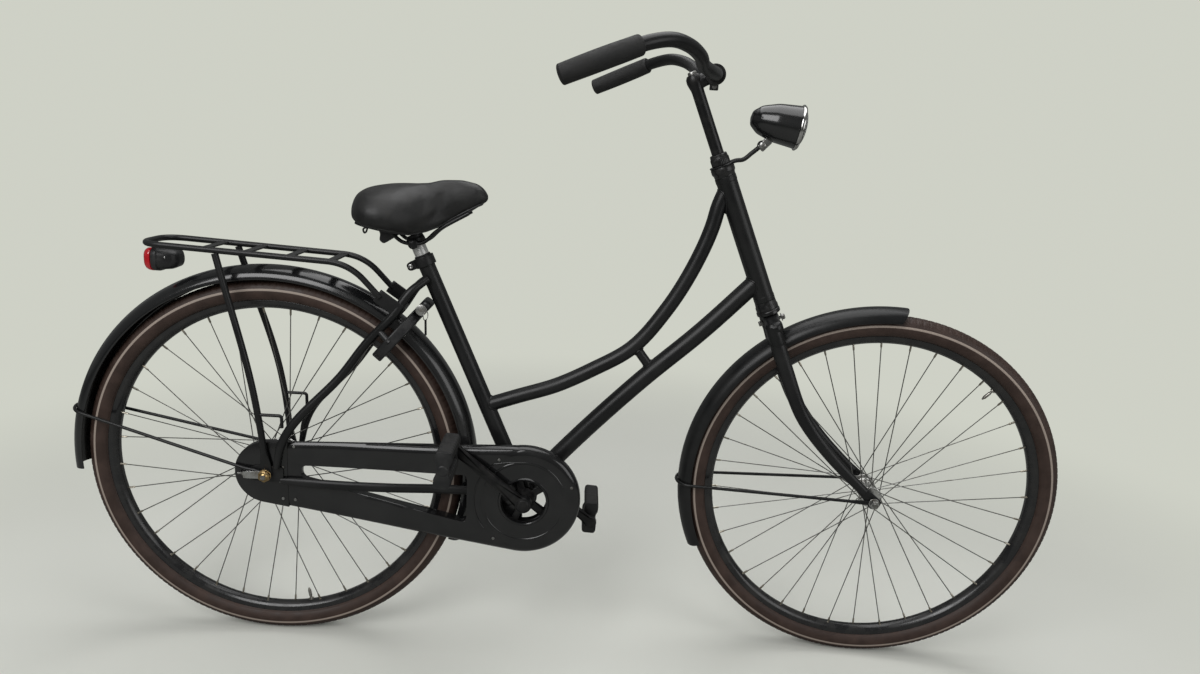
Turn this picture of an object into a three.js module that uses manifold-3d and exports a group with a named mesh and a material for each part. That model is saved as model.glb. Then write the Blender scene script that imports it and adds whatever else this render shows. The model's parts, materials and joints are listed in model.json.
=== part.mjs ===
// Step-through city bicycle with an enclosed chain, millimetres, +Z up, +X forwards, +Y to the rider's left.
// Every piece is placed from the rear wheel's centre, and the last lines stand the bicycle on its tyres.
import * as THREE from 'three';
import { mergeVertices } from 'three/addons/utils/BufferGeometryUtils.js';
import Module from 'manifold-3d';

const wasm = await Module();
wasm.setup();

// Clearance between neighbours that touch, and how far a cutting tool runs past what it cuts.
const CLEARANCE = 0.3;
const OVERRUN = 12;

// Wheels, and the room that the fenders leave over their tyres.
const WHEELBASE = 1148;
const RIM_RADIUS = 319;
const TYRE_STAND = 37;
const TYRE_RADIUS = RIM_RADIUS + TYRE_STAND;
const TYRE_WIDTH = 44;
const REAR_FENDER_ROOM = 27;
const FRONT_FENDER_ROOM = 15;
const REAR_FENDER_RADIUS = TYRE_RADIUS + REAR_FENDER_ROOM;
const FRONT_FENDER_RADIUS = TYRE_RADIUS + FRONT_FENDER_ROOM;
const RIM_DEPTH = 17;
const RIM_WIDTH = 27;
const RIM_WELL_DEPTH = 8;
const RIM_WELL_WIDTH = 20;
const VALVE_RADIUS = 2.5;
const VALVE_REACH = 26;
const REAR_VALVE_ANGLE = -79.6;
const FRONT_VALVE_ANGLE = 48.2;
const SPOKE_COUNT = 36;
const SPOKE_RADIUS = 1;
const SPOKE_LEAN_ANGLE = 57;
const SPOKE_STAGGER = 3;
const REAR_SPOKE_ANGLE = 4;
const FRONT_SPOKE_ANGLE = 3;
const HUB_WALL = 3;
const FLANGE_SPACING = 60;
const FRONT_FLANGE_RADIUS = 21;
const FRONT_SHELL_RADIUS = 12;
const FRONT_HUB_WIDTH = 94;
const REAR_FLANGE_RADIUS = 36;
const REAR_SHELL_RADIUS = 29;
const REAR_HUB_WIDTH = 86;

// Axles and the ends of the frame and the fork.
const REAR_AXLE_RADIUS = 4.8;
const FRONT_AXLE_RADIUS = 4.5;
const REAR_DROPOUT_SPACING = 120;
const FRONT_DROPOUT_SPACING = 100;
const DROPOUT_THICKNESS = 5;
const DROPOUT_LENGTH = 66;
const DROPOUT_HEIGHT = 30;
const STRUT_EYE_THICKNESS = 3;
const TENSIONER_THICKNESS = 2;
const TENSIONER_LENGTH = 34;
const TENSIONER_HEIGHT = 12;
const TENSIONER_SCREW_RADIUS = 2.5;
const NUT_RADIUS = 10;
const NUT_HEIGHT = 11;
const CONE_RADIUS = 8;

// Chain drive.
const CHAINLINE = 52;
const CHAIN_PITCH = 12.7;
const CHAIN_HEIGHT = 8;
const CHAIN_WIDTH = 7;
const CHAINRING_TEETH = 44;
const SPROCKET_TEETH = 20;
const PLATE_THICKNESS = 3;
const SPROCKET_BOSS_RADIUS = 15;

// Bottom bracket, cranks and pedals.
const BRACKET_ROOM = 95;
const BRACKET_X = REAR_FENDER_RADIUS + BRACKET_ROOM;
const BRACKET_DROP = 31;
const BRACKET_RADIUS = 21;
const BRACKET_WIDTH = 68;
const BRACKET_WALL = 4;
const SPINDLE_RADIUS = 8;
const SPINDLE_WIDTH = 168;
const CRANK_LENGTH = 170;
const CRANK_THICKNESS = 13;
const CRANK_WIDTH = 20;
const CRANK_BOSS_RADIUS = 14;
const CRANK_OFFSET = 79;
const CRANK_ANGLE = 141;
const PEDAL_AXLE_RADIUS = 6;
const PEDAL_LENGTH = 68;
const PEDAL_WIDTH = 95;
const PEDAL_THICKNESS = 30;
const PEDAL_GAP = 10;
const PEDAL_ANGLE = 86;

// Chain case.
const CASE_INNER_Y = 45;
const CASE_REAR_DEPTH = 14.7;
const CASE_FRONT_DEPTH = 23;
const CASE_WALL = 1.4;
const CASE_REAR_RADIUS = 60;
const CASE_FRONT_RADIUS = 107;
const CASE_EYE_RADIUS = 42;
const CASE_HUB_EYE_RADIUS = 33;
const CASE_BACK_ARMS = 3;
const CASE_BACK_ARM_ANGLE = 85;
const CASE_BACK_ARM_WIDTH = 12;
const CASE_RIB_HEIGHT = 3;

// Frame tubes.
const SEAT_TUBE_RADIUS = 15;
const SEAT_TUBE_RETURN = 111;
const SEAT_TUBE_STAND = 33;
const SEAT_TUBE_TOP_X = REAR_FENDER_RADIUS - SEAT_TUBE_RETURN;
const SEAT_TUBE_TOP_Z = REAR_FENDER_RADIUS + SEAT_TUBE_STAND;
const SEAT_TUBE_SETBACK = 8;
const SEATPOST_RADIUS = 13;
const DOWN_TUBE_RADIUS = 17;
const SWAN_TUBE_RADIUS = 14;
const BRIDGE_RADIUS = 9;
const HEAD_ANGLE = 66.7;
const FORK_RAKE = 76;
const HEAD_TUBE_RADIUS = 19;
const HEAD_TUBE_LENGTH = 241;
const STEERER_RADIUS = 12.7;
const STEERER_BORE = 11.6;
const SEAT_STAY_RADIUS = 8;
const SEAT_STAY_SPREAD = 45;
const CHAIN_STAY_HEIGHT = 18;
const CHAIN_STAY_WIDTH = 12;
const CHAIN_STAY_OUTER_Y = 66;
const CHAIN_STAY_INNER_Y = 38;

// Fork, headset, stem, handlebar and lamp.
const STEER_ANGLE = -5.57;
const CROWN_HEIGHT = 30;
const CROWN_ROOM = 11.62;
const FORK_LENGTH = Math.sqrt((FRONT_FENDER_RADIUS + CROWN_ROOM) ** 2 - FORK_RAKE ** 2) + CROWN_HEIGHT / 2;
const CROWN_DEPTH = 26;
const BLADE_SPREAD = 50;
const BLADE_TOP_RADIUS = 12;
const BLADE_TIP_RADIUS = 8;
const CUP_RADIUS = 22;
const UPPER_CUP_HEIGHT = 18;
const LOCK_NUT_HEIGHT = 20;
const LOCK_NUT_RADIUS = 17;
const STEM_RADIUS = 11;
const STEM_RISE = 130;
const STEM_REACH = 36.5;
const STEM_INSERTION = 110;
const CLAMP_RADIUS = 18;
const CLAMP_WIDTH = 38;
const BAR_RADIUS = 11;
const BAR_HALF_WIDTH = 297;
const BAR_SWEEP = 233;
const BAR_RISE = 35;
const GRIP_RADIUS = 15.5;
const GRIP_LENGTH = 125;
const GRIP_CAP = 4;

// Fenders and their stays.
const FENDER_WIDTH = 60;
const FENDER_DEPTH = 24;
const FENDER_THICKNESS = 1.6;
const STAY_RADIUS = 3;

// Carrier and tail lamp.
const CARRIER_REAR_X = -212;
const CARRIER_FRONT_RETURN = 230;
const CARRIER_FRONT_X = REAR_FENDER_RADIUS - CARRIER_FRONT_RETURN;
const CARRIER_REAR_ROOM = 33;
const CARRIER_FRONT_ROOM = 17;
const CARRIER_REAR_Z = REAR_FENDER_RADIUS + CARRIER_REAR_ROOM;
const CARRIER_FRONT_Z = REAR_FENDER_RADIUS + CARRIER_FRONT_ROOM;
const CARRIER_HALF_WIDTH = 50;
const CARRIER_TUBE_RADIUS = 5.5;
const CARRIER_BAR_WIDTH = 16;
const CARRIER_BAR_THICKNESS = 4;
const STRUT_RADIUS = 6;
const TAIL_LAMP_WIDTH = 60;
const TAIL_LAMP_HEIGHT = 46;
const TAIL_LAMP_BODY = 44;
const TAIL_LAMP_LENS = 16;

// Ring lock.
const LOCK_ANGLE = 49;
const LOCK_CENTRE_STAND = 27;
const LOCK_CENTRE_RADIUS = RIM_RADIUS + LOCK_CENTRE_STAND;
const LOCK_RADIUS = 52;
const LOCK_DEPTH = 20;
const LOCK_BAND = 20;
const SHACKLE_RADIUS = 4.5;
const SHACKLE_BORE = 5.2;
const LOCK_CASE_WIDTH = 46;
const LOCK_CASE_HEIGHT = 30;

// Saddle.
const SADDLE_LENGTH = 244;
const SADDLE_WIDTH = 212;
const SADDLE_HEIGHT = 84;
const SADDLE_SETBACK = 122;
const SADDLE_RAIL_RADIUS = 3.5;
const SADDLE_RAIL_SPREAD = 22;

// Headlamp, ahead of the steering axis and above the headset's top.
const LAMP_RADIUS = 37;
const LAMP_LENGTH = 84;
const LAMP_ANGLE = -8;
const LAMP_AHEAD = 144;
const LAMP_STAND = 19.8;
const LAMP_PIVOT_AHEAD = 77.3;
const LAMP_PIVOT_STAND = 11.5;
const LAMP_BOLT_RADIUS = 4;
const LAMP_WALL = 1.5;

// Detail of the round and bent solids, as counts.
const WHEEL_STEPS = 28;
const ROUND_SIDES = 10;
const FINE_SIDES = 16;
const OVAL_SIDES = 8;
const SMALL_SIDES = 6;
const SPOKE_SIDES = 3;
const BAR_SIDES = 8;
const BAR_STEPS = 20;
const GRIP_STEPS = 4;
const CROWN_STEPS = 6;
const LENS_STEPS = 3;
const EDGE_STEPS = 4;
const REAR_FENDER_STEPS = 22;
const FRONT_FENDER_STEPS = 14;
const HOOP_STEPS = 6;
const CASE_STEPS = 14;
const STAY_STEPS = 9;
const LOCK_STEPS = 16;
const GROOVE_STEPS = 20;
const SHACKLE_STEPS = 10;
const RAIL_STEPS = 24;
const SWAN_STEPS = 11;
const STAY_SAMPLES = 400;

const vec = (x, y, z) => new THREE.Vector3(x, y, z);
const radians = THREE.MathUtils.degToRad;
const bracket = vec(BRACKET_X, 0, -BRACKET_DROP);
const steerFoot = vec(
  WHEELBASE - FORK_RAKE * Math.sin(radians(HEAD_ANGLE)), 0, -FORK_RAKE * Math.cos(radians(HEAD_ANGLE)));
const steerAxis = vec(-Math.cos(radians(HEAD_ANGLE)), 0, Math.sin(radians(HEAD_ANGLE)));
const mirrored = (point) => vec(point.x, -point.y, point.z);

const black = (roughness) => new THREE.MeshStandardMaterial({ color: 0x0c0c0d, roughness, metalness: 0.2 });
const satinBlack = black(0.45);
const glossBlack = black(0.18);
const steel = new THREE.MeshStandardMaterial({ color: 0xb9bbbd, roughness: 0.35, metalness: 0.9 });
const chrome = new THREE.MeshStandardMaterial({ color: 0xd8dadc, roughness: 0.12, metalness: 1 });
const brass = new THREE.MeshStandardMaterial({ color: 0xa98a52, roughness: 0.4, metalness: 0.8 });
const rubber = new THREE.MeshStandardMaterial({ color: 0x151515, roughness: 0.8, metalness: 0 });
const tyreBrown = new THREE.MeshStandardMaterial({ color: 0x4a3430, roughness: 0.85, metalness: 0 });
const blackPlastic = new THREE.MeshStandardMaterial({ color: 0x121212, roughness: 0.5, metalness: 0 });
const redLens = new THREE.MeshStandardMaterial({ color: 0xb01022, roughness: 0.15, metalness: 0 });
const clearLens = new THREE.MeshStandardMaterial({ color: 0xe6eaec, roughness: 0.08, metalness: 0 });

// A closed mesh as a solid: shared corners are merged, flat slivers dropped and the faces turned outwards.
function toSolid(geometry) {
  const source = geometry.index ? geometry.toNonIndexed() : geometry;
  const bare = new THREE.BufferGeometry().setAttribute('position', source.getAttribute('position'));
  const merged = mergeVertices(bare, 1e-4);
  const corners = merged.index.array;
  const kept = [];
  for (let i = 0; i < corners.length; i += 3) {
    const [a, b, c] = corners.slice(i, i + 3);
    if (a !== b && b !== c && c !== a) kept.push(a, b, c);
  }
  const build = (triangles) => new wasm.Manifold(new wasm.Mesh({
    numProp: 3,
    vertProperties: merged.attributes.position.array,
    triVerts: new Uint32Array(triangles),
  }));
  const solid = build(kept);
  return solid.volume() < 0 ? build(kept.reverse()) : solid;
}

function toGeometry(solid) {
  const mesh = solid.getMesh();
  const geometry = new THREE.BufferGeometry();
  geometry.setAttribute('position', new THREE.BufferAttribute(mesh.vertProperties, mesh.numProp));
  geometry.setIndex(new THREE.BufferAttribute(mesh.triVerts, 1));
  geometry.computeVertexNormals();
  return geometry;
}

const join = (first, ...others) => others.reduce((whole, other) => whole.add(other), first);
const cut = (first, ...tools) => tools.reduce((whole, tool) => whole.subtract(tool), first);

function addPiece(group, name, solid, material) {
  const mesh = new THREE.Mesh(toGeometry(solid), material.clone());
  mesh.name = name;
  group.add(mesh);
}

// A straight round bar from one point to another, tapered where the second radius differs.
function rod(from, to, radius, endRadius = radius, sides = ROUND_SIDES) {
  const along = to.clone().sub(from);
  const turn = new THREE.Quaternion().setFromUnitVectors(vec(0, 1, 0), along.clone().normalize());
  const geometry = new THREE.CylinderGeometry(endRadius, radius, along.length(), sides);
  geometry.applyQuaternion(turn).translate(...from.clone().addScaledVector(along, 0.5).toArray());
  return toSolid(geometry);
}

// A round bar across the bicycle, centred on a point of its middle plane or running between two offsets.
const crossRod = (x, z, fromY, toY, radius, sides = ROUND_SIDES) =>
  rod(vec(x, fromY, z), vec(x, toY, z), radius, radius, sides);

// A box from its middle, its size and a turn about the crosswise axis.
function block(middle, sizeX, sizeY, sizeZ, turn = 0) {
  const geometry = new THREE.BoxGeometry(sizeX, sizeY, sizeZ);
  return toSolid(geometry.rotateY(turn).translate(middle.x, middle.y, middle.z));
}

// A profile of radius and crosswise offset, turned about the crosswise axis.
function turned(profile, steps = ROUND_SIDES, x = 0, z = 0) {
  const points = profile.map(([radius, offset]) => new THREE.Vector2(radius, offset));
  return toSolid(new THREE.LatheGeometry(points, steps).translate(x, 0, z));
}

// A ring or bushing about the crosswise axis.
const bushing = (bore, radius, fromY, toY, steps = ROUND_SIDES, x = 0, z = 0) =>
  turned([[bore, fromY], [radius, fromY], [radius, toY], [bore, toY], [bore, fromY]], steps, x, z);

function circle(radius, sides) {
  const corner = (_, i) => (2 * Math.PI * i) / sides;
  return Array.from({ length: sides }, corner).map((a) => new THREE.Vector2(
    radius * Math.cos(a), radius * Math.sin(a)));
}

// A round tube along a smooth curve through the given points.
function bentTube(points, radius, steps, sides = ROUND_SIDES, tension = 'centripetal') {
  const path = new THREE.CatmullRomCurve3(points, false, tension);
  const shape = new THREE.Shape(circle(radius, sides));
  return toSolid(new THREE.ExtrudeGeometry(shape, { steps, extrudePath: path, bevelEnabled: false }));
}

// A skin over one closed section placed at each station, with both ends capped.
function sweep(section, stations, place) {
  const outline = THREE.ShapeUtils.isClockWise(section) ? [...section].reverse() : section;
  const count = outline.length;
  const positions = stations.flatMap((station) => outline.flatMap((point) => place(point,
      station).toArray()));
  const index = [];
  for (let ring = 0; ring + 1 < stations.length; ring++) {
    for (let i = 0; i < count; i++) {
      const a = ring * count + i;
      const b = ring * count + ((i + 1) % count);
      index.push(b, a, a + count, b, a + count, b + count);
    }
  }
  const last = (stations.length - 1) * count;
  for (const [a, b, c] of THREE.ShapeUtils.triangulateShape(outline, [])) {
    index.push(a, b, c, last + c, last + b, last + a);
  }
  const geometry = new THREE.BufferGeometry();
  geometry.setAttribute('position', new THREE.Float32BufferAttribute(positions, 3));
  return toSolid(geometry.setIndex(index));
}

// A flat outline in the bicycle's middle plane, given depth crosswise between two offsets.
function plate(outline, fromY, toY, holes = []) {
  const shape = new THREE.Shape(outline);
  shape.holes = holes.map((hole) => new THREE.Path(hole));
  const geometry = new THREE.ExtrudeGeometry(shape, { depth: toY - fromY, bevelEnabled: false });
  return toSolid(geometry.rotateX(Math.PI / 2).translate(0, toY, 0));
}

// Points between two ends: each share pair is a place along the chord and a place square to it.
function alongChord(from, to, shares) {
  const chord = to.clone().sub(from);
  const square = vec(-chord.z, 0, chord.x);
  return shares.map(([along, aside]) => from.clone().addScaledVector(chord, along).addScaledVector(square,
      aside));
}

const steps = (count) => Array.from({ length: count + 1 }, (_, i) => i / count);
const between = (a, b, share) => a + (b - a) * share;

// A wheel's tyre, with the tube's valve through the rim.
function tyre(valveAngle) {
  const radius = TYRE_WIDTH / 2;
  const centre = TYRE_RADIUS - radius;
  const seat = RIM_RADIUS + CLEARANCE;
  const bead = seat - RIM_WELL_DEPTH;
  const beadHalf = RIM_WELL_WIDTH / 2 - CLEARANCE;
  const reach = Math.acos((seat - centre) / radius);
  const crown = steps(CROWN_STEPS).map((share) => {
    const a = between(-reach, reach, share);
    return [centre + radius * Math.cos(a), radius * Math.sin(a)];
  });
  const foot = [[seat, beadHalf], [bead, beadHalf], [bead, -beadHalf], [seat, -beadHalf]];
  const ring = turned([...crown, ...foot, crown[0]], WHEEL_STEPS);
  return join(ring, valve(valveAngle, VALVE_RADIUS, centre));
}

function valve(angle, radius, from) {
  const out = vec(Math.cos(radians(angle)), 0, Math.sin(radians(angle)));
  const end = RIM_RADIUS - RIM_DEPTH - VALVE_REACH;
  return rod(out.clone().multiplyScalar(from), out.clone().multiplyScalar(end), radius, radius, SMALL_SIDES);
}

function rim(valveAngle) {
  const half = RIM_WIDTH / 2;
  const well = RIM_WELL_WIDTH / 2;
  const floor = RIM_RADIUS - RIM_WELL_DEPTH;
  const inner = RIM_RADIUS - RIM_DEPTH;
  const side = [[RIM_RADIUS, well], [RIM_RADIUS, half], [floor, half], [inner, half / 2]];
  const mirroredSide = side.map(([radius, offset]) => [radius, -offset]).reverse();
  const profile = [[floor, well], ...side, ...mirroredSide, [floor, -well], [floor, well]];
  return cut(turned(profile, WHEEL_STEPS), valve(valveAngle, VALVE_RADIUS + CLEARANCE, TYRE_RADIUS));
}

// A hub shell with two flanges and its spokes, laced three-cross, as one body.
const hubEndShare = 0.7;

function lacedHub(bore, shellRadius, flangeRadius, width, phase) {
  const flange = FLANGE_SPACING / 2;
  const half = width / 2;
  const inside = flange - HUB_WALL;
  const endRadius = between(bore, shellRadius, hubEndShare);
  const right = [[endRadius, half], [endRadius, flange], [flangeRadius, flange], [flangeRadius, inside]];
  const left = right.map(([radius, offset]) => [radius, -offset]).reverse();
  const barrel = [[shellRadius, inside - HUB_WALL], [shellRadius, HUB_WALL - inside]];
  const ring = [[bore, half], ...right, ...barrel, ...left, [bore, -half], [bore, half]];
  const holes = flangeRadius - HUB_WALL;
  const reach = (RIM_RADIUS - RIM_DEPTH) * Math.cos(Math.PI / WHEEL_STEPS) - 2 * CLEARANCE;
  const spokes = Array.from({ length: SPOKE_COUNT }, (_, i) => {
    const side = i % 2 ? 1 : -1;
    const lean = Math.floor(i / 2) % 2 ? SPOKE_LEAN_ANGLE : -SPOKE_LEAN_ANGLE;
    const outer = phase + (360 * i) / SPOKE_COUNT;
    const at = (radius, angle, offset) => vec(
      radius * Math.cos(radians(angle)), side * offset, radius * Math.sin(radians(angle)));
    const face = lean > 0 ? flange : inside;
    const foot = at(holes, outer + lean, face);
    return bentTube([foot, at(reach, outer, SPOKE_STAGGER * (lean > 0 ? 2 : 1))], SPOKE_RADIUS, 1,
      SPOKE_SIDES);
  });
  return join(turned(ring, ROUND_SIDES), ...spokes);
}

function addWheel(group, name, valveAngle, hub) {
  addPiece(group, `${name}_tyre`, tyre(valveAngle), tyreBrown);
  addPiece(group, `${name}_rim`, rim(valveAngle), satinBlack);
  addPiece(group, `${name}_hub_with_spokes`, hub, steel);
}

// Rear end: the axle stack, from the dropout plate outwards.
const dropoutFace = REAR_DROPOUT_SPACING / 2;
const eyeFrom = dropoutFace + DROPOUT_THICKNESS + CLEARANCE;
const eyeTo = eyeFrom + STRUT_EYE_THICKNESS;
const stayEyeFrom = eyeTo + CLEARANCE;
const stayEyeTo = stayEyeFrom + STRUT_EYE_THICKNESS;
const tensionerFrom = stayEyeTo + CLEARANCE;
const nutFrom = tensionerFrom + TENSIONER_THICKNESS + CLEARANCE;
const axleBore = REAR_AXLE_RADIUS + CLEARANCE;
const domeShares = [[1, 0], [1, 0.45], [0.85, 0.75], [0.45, 1]];

// A domed nut on the axle, its dome pointing away from the middle plane on the given side.
function domedNut(bore, from, side, x = 0, z = 0) {
  const dome = domeShares.map(([wide, high]) => [NUT_RADIUS * wide, side * (from + NUT_HEIGHT * high)]);
  const first = [bore, side * from];
  return turned([first, ...dome, [bore, side * (from + NUT_HEIGHT)], first], ROUND_SIDES, x, z);
}

function addRearAxle(group) {
  const end = nutFrom + NUT_HEIGHT - HUB_WALL;
  const hubEnd = REAR_HUB_WIDTH / 2 + CLEARANCE;
  const leftCone = bushing(0, CONE_RADIUS, hubEnd, brakeArmFrom() - CLEARANCE);
  const leftSpacer = bushing(0, CONE_RADIUS, brakeArmTo() + CLEARANCE, dropoutFace - CLEARANCE);
  const rightCone = bushing(0, CONE_RADIUS, CLEARANCE - dropoutFace, -sprocketEnd() - CLEARANCE);
  const leftNut = domedNut(0, stayEyeTo + CLEARANCE, 1);
  const bar = crossRod(0, 0, -end, end, REAR_AXLE_RADIUS);
  addPiece(group, 'rear_axle', join(bar, leftCone, leftSpacer, rightCone, leftNut), steel);
  addPiece(group, 'rear_axle_nut', domedNut(axleBore, nutFrom, -1), brass);
}

const brakeArmFrom = () => REAR_HUB_WIDTH / 2 + DROPOUT_THICKNESS;
const brakeArmTo = () => brakeArmFrom() + STRUT_EYE_THICKNESS;
const sprocketEnd = () => CHAINLINE + DROPOUT_THICKNESS;

// The coaster brake's reaction arm, clipped to the left chain stay.
const brakeClipShare = 0.3;

function addBrakeArm(group) {
  const clip = chainStayPoint(brakeClipShare, 1);
  const reach = clip.x;
  const outline = [
    new THREE.Vector2(0, -CONE_RADIUS), new THREE.Vector2(reach, clip.z - CONE_RADIUS),
    new THREE.Vector2(reach, clip.z + CONE_RADIUS), new THREE.Vector2(0, 2 * CONE_RADIUS)];
  const arm = plate(outline, brakeArmFrom(), brakeArmTo());
  const eye = bushing(0, 2 * CONE_RADIUS, brakeArmFrom(), brakeArmTo());
  const lugX = reach - CONE_RADIUS;
  const lug = rod(vec(lugX, brakeArmFrom(), clip.z), vec(lugX, clip.y, clip.z), STRUT_RADIUS);
  const bore = crossRod(0, 0, 0, dropoutFace, axleBore);
  addPiece(group, 'brake_arm', cut(join(arm, eye, lug), bore, chainStay(1, CLEARANCE)), satinBlack);
}

// Chain tensioner on the right track end, with its adjusting screw behind.
function addTensioner(group) {
  const back = -DROPOUT_LENGTH / 2 - TENSIONER_SCREW_RADIUS;
  const front = back + TENSIONER_LENGTH + NUT_RADIUS;
  const middle = vec((back + front) / 2, -tensionerFrom - TENSIONER_THICKNESS / 2, 0);
  const cap = vec(back - CLEARANCE, -(dropoutFace + tensionerFrom + TENSIONER_THICKNESS) / 2, 0);
  const depth = tensionerFrom + TENSIONER_THICKNESS - dropoutFace;
  const strap = block(middle, front - back, TENSIONER_THICKNESS, TENSIONER_HEIGHT);
  const turnedIn = block(cap, 2 * TENSIONER_THICKNESS, depth, TENSIONER_HEIGHT);
  const screw = rod(cap, cap.clone().add(vec(-TENSIONER_HEIGHT, 0, 0)), TENSIONER_SCREW_RADIUS);
  const bore = crossRod(0, 0, -nutFrom - OVERRUN, 0, axleBore);
  addPiece(group, 'chain_tensioner', cut(join(strap, turnedIn, screw), bore), steel);
}

// Chain drive, all in the plane of the chainline.
const pitchRadius = (teeth) => (teeth * CHAIN_PITCH) / (2 * Math.PI);

// The outline around two discs of the given radii at the hub and at the bottom bracket, as a belt lies
// on them.
function beltOutline(rearRadius, frontRadius, sides = CASE_STEPS) {
  const dx = BRACKET_X;
  const dz = -BRACKET_DROP;
  const lean = Math.atan2(dz, dx);
  const reach = Math.acos((rearRadius - frontRadius) / Math.hypot(dx, dz));
  const front = steps(sides).map((share) => {
    const a = lean + between(-reach, reach, share);
    return new THREE.Vector2(dx + frontRadius * Math.cos(a), dz + frontRadius * Math.sin(a));
  });
  const rear = steps(sides / 2).map((share) => {
    const a = lean + between(reach, 2 * Math.PI - reach, share);
    return new THREE.Vector2(rearRadius * Math.cos(a), rearRadius * Math.sin(a));
  });
  return [...front, ...rear];
}

function addChain(group) {
  const rear = pitchRadius(SPROCKET_TEETH);
  const front = pitchRadius(CHAINRING_TEETH);
  const half = CHAIN_HEIGHT / 2;
  const from = -CHAINLINE - CHAIN_WIDTH / 2;
  const outer = plate(beltOutline(rear + half, front + half), from, from + CHAIN_WIDTH);
  const inner = plate(beltOutline(rear - half, front - half), from - OVERRUN, from + OVERRUN);
  addPiece(group, 'drive_chain', cut(outer, inner), steel);
}

function toothedDisc(teeth, bore, x, z) {
  const tip = (pitchRadius(teeth) - CHAIN_HEIGHT / 2) * Math.cos(Math.PI / FINE_SIDES) - CLEARANCE;
  const half = PLATE_THICKNESS / 2;
  return bushing(bore, tip, -CHAINLINE - half, half - CHAINLINE, FINE_SIDES, x, z);
}

function addSprocket(group) {
  const boss = bushing(axleBore, SPROCKET_BOSS_RADIUS, -sprocketEnd(), -REAR_HUB_WIDTH / 2 - CLEARANCE);
  addPiece(group, 'rear_sprocket', join(toothedDisc(SPROCKET_TEETH, axleBore, 0, 0), boss), steel);
}

// Cranks: the right one carries the chainring inside the case's round opening.
const crankFace = CRANK_OFFSET - CRANK_THICKNESS / 2;
const crankEnd = (side) => {
  const a = radians(CRANK_ANGLE) + (side > 0 ? Math.PI : 0);
  return bracket.clone().add(vec(CRANK_LENGTH * Math.cos(a), 0, CRANK_LENGTH * Math.sin(a)));
};

function crankArm(side) {
  const end = crankEnd(side).setY(side * CRANK_OFFSET);
  const root = bracket.clone().setY(side * CRANK_OFFSET);
  const middle = root.clone().lerp(end, 0.5);
  const angle = -Math.atan2(end.z - root.z, end.x - root.x);
  const bar = block(middle, CRANK_LENGTH, CRANK_THICKNESS, CRANK_WIDTH, angle);
  const half = CRANK_THICKNESS / 2;
  const eye = bushing(0, CRANK_WIDTH / 2, -half, half).translate(end.x, end.y, end.z);
  const boss = bushing(0, CRANK_BOSS_RADIUS, -half, half).translate(root.x, root.y, root.z);
  const spindle = crossRod(bracket.x, bracket.z, -SPINDLE_WIDTH, SPINDLE_WIDTH, SPINDLE_RADIUS + CLEARANCE);
  const pedalBore = crossRod(end.x, end.z, -SPINDLE_WIDTH, SPINDLE_WIDTH, PEDAL_AXLE_RADIUS + CLEARANCE);
  return [join(bar, eye, boss), spindle, pedalBore];
}

const SPIDER_ARMS = 5;
const SPIDER_ARM_WIDTH = 14;

function addCranks(group) {
  const [right, rightSpindle, rightPedal] = crankArm(-1);
  const ringRadius = pitchRadius(CHAINRING_TEETH);
  const bore = SPINDLE_RADIUS + CLEARANCE;
  const plateRing = toothedDisc(CHAINRING_TEETH, ringRadius - 2 * CRANK_WIDTH, bracket.x, bracket.z);
  const hub = bushing(bore, CRANK_BOSS_RADIUS, -crankFace, -CHAINLINE, ROUND_SIDES, bracket.x, bracket.z);
  const arms = Array.from({ length: SPIDER_ARMS }, (_, i) => {
    const a = radians(CRANK_ANGLE) + (Math.PI * (2 * i + 1)) / SPIDER_ARMS;
    const reach = ringRadius - CRANK_WIDTH;
    const middle = bracket.clone().add(vec(reach / 2 * Math.cos(a), -CHAINLINE, reach / 2 * Math.sin(a)));
    return block(middle, reach, PLATE_THICKNESS, SPIDER_ARM_WIDTH, -a);
  });
  addPiece(group, 'crank_right', cut(join(right, plateRing, hub, ...arms), rightSpindle, rightPedal),
      satinBlack);
  const [left, leftSpindle, leftPedal] = crankArm(1);
  addPiece(group, 'crank_left', cut(left, leftSpindle, leftPedal), satinBlack);
  const spindleHalf = SPINDLE_WIDTH / 2;
  addPiece(group, 'bottom_bracket_spindle',
    crossRod(bracket.x, bracket.z, -spindleHalf, spindleHalf, SPINDLE_RADIUS), steel);
}

// The cartridge that the spindle turns in, inside the frame's bottom bracket shell.
function addCartridge(group) {
  const half = BRACKET_WIDTH / 2;
  const radius = BRACKET_RADIUS - BRACKET_WALL - CLEARANCE;
  addPiece(group, 'bottom_bracket_cartridge',
    bushing(SPINDLE_RADIUS + CLEARANCE, radius, -half, half, FINE_SIDES, bracket.x, bracket.z), steel);
}

// Pedals: an axle through the crank's end, and a body of two rubber blocks between end plates.
const pedalFrom = CRANK_OFFSET + CRANK_THICKNESS / 2 + PEDAL_GAP;
const blockShares = [-0.34, 0.34];

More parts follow.
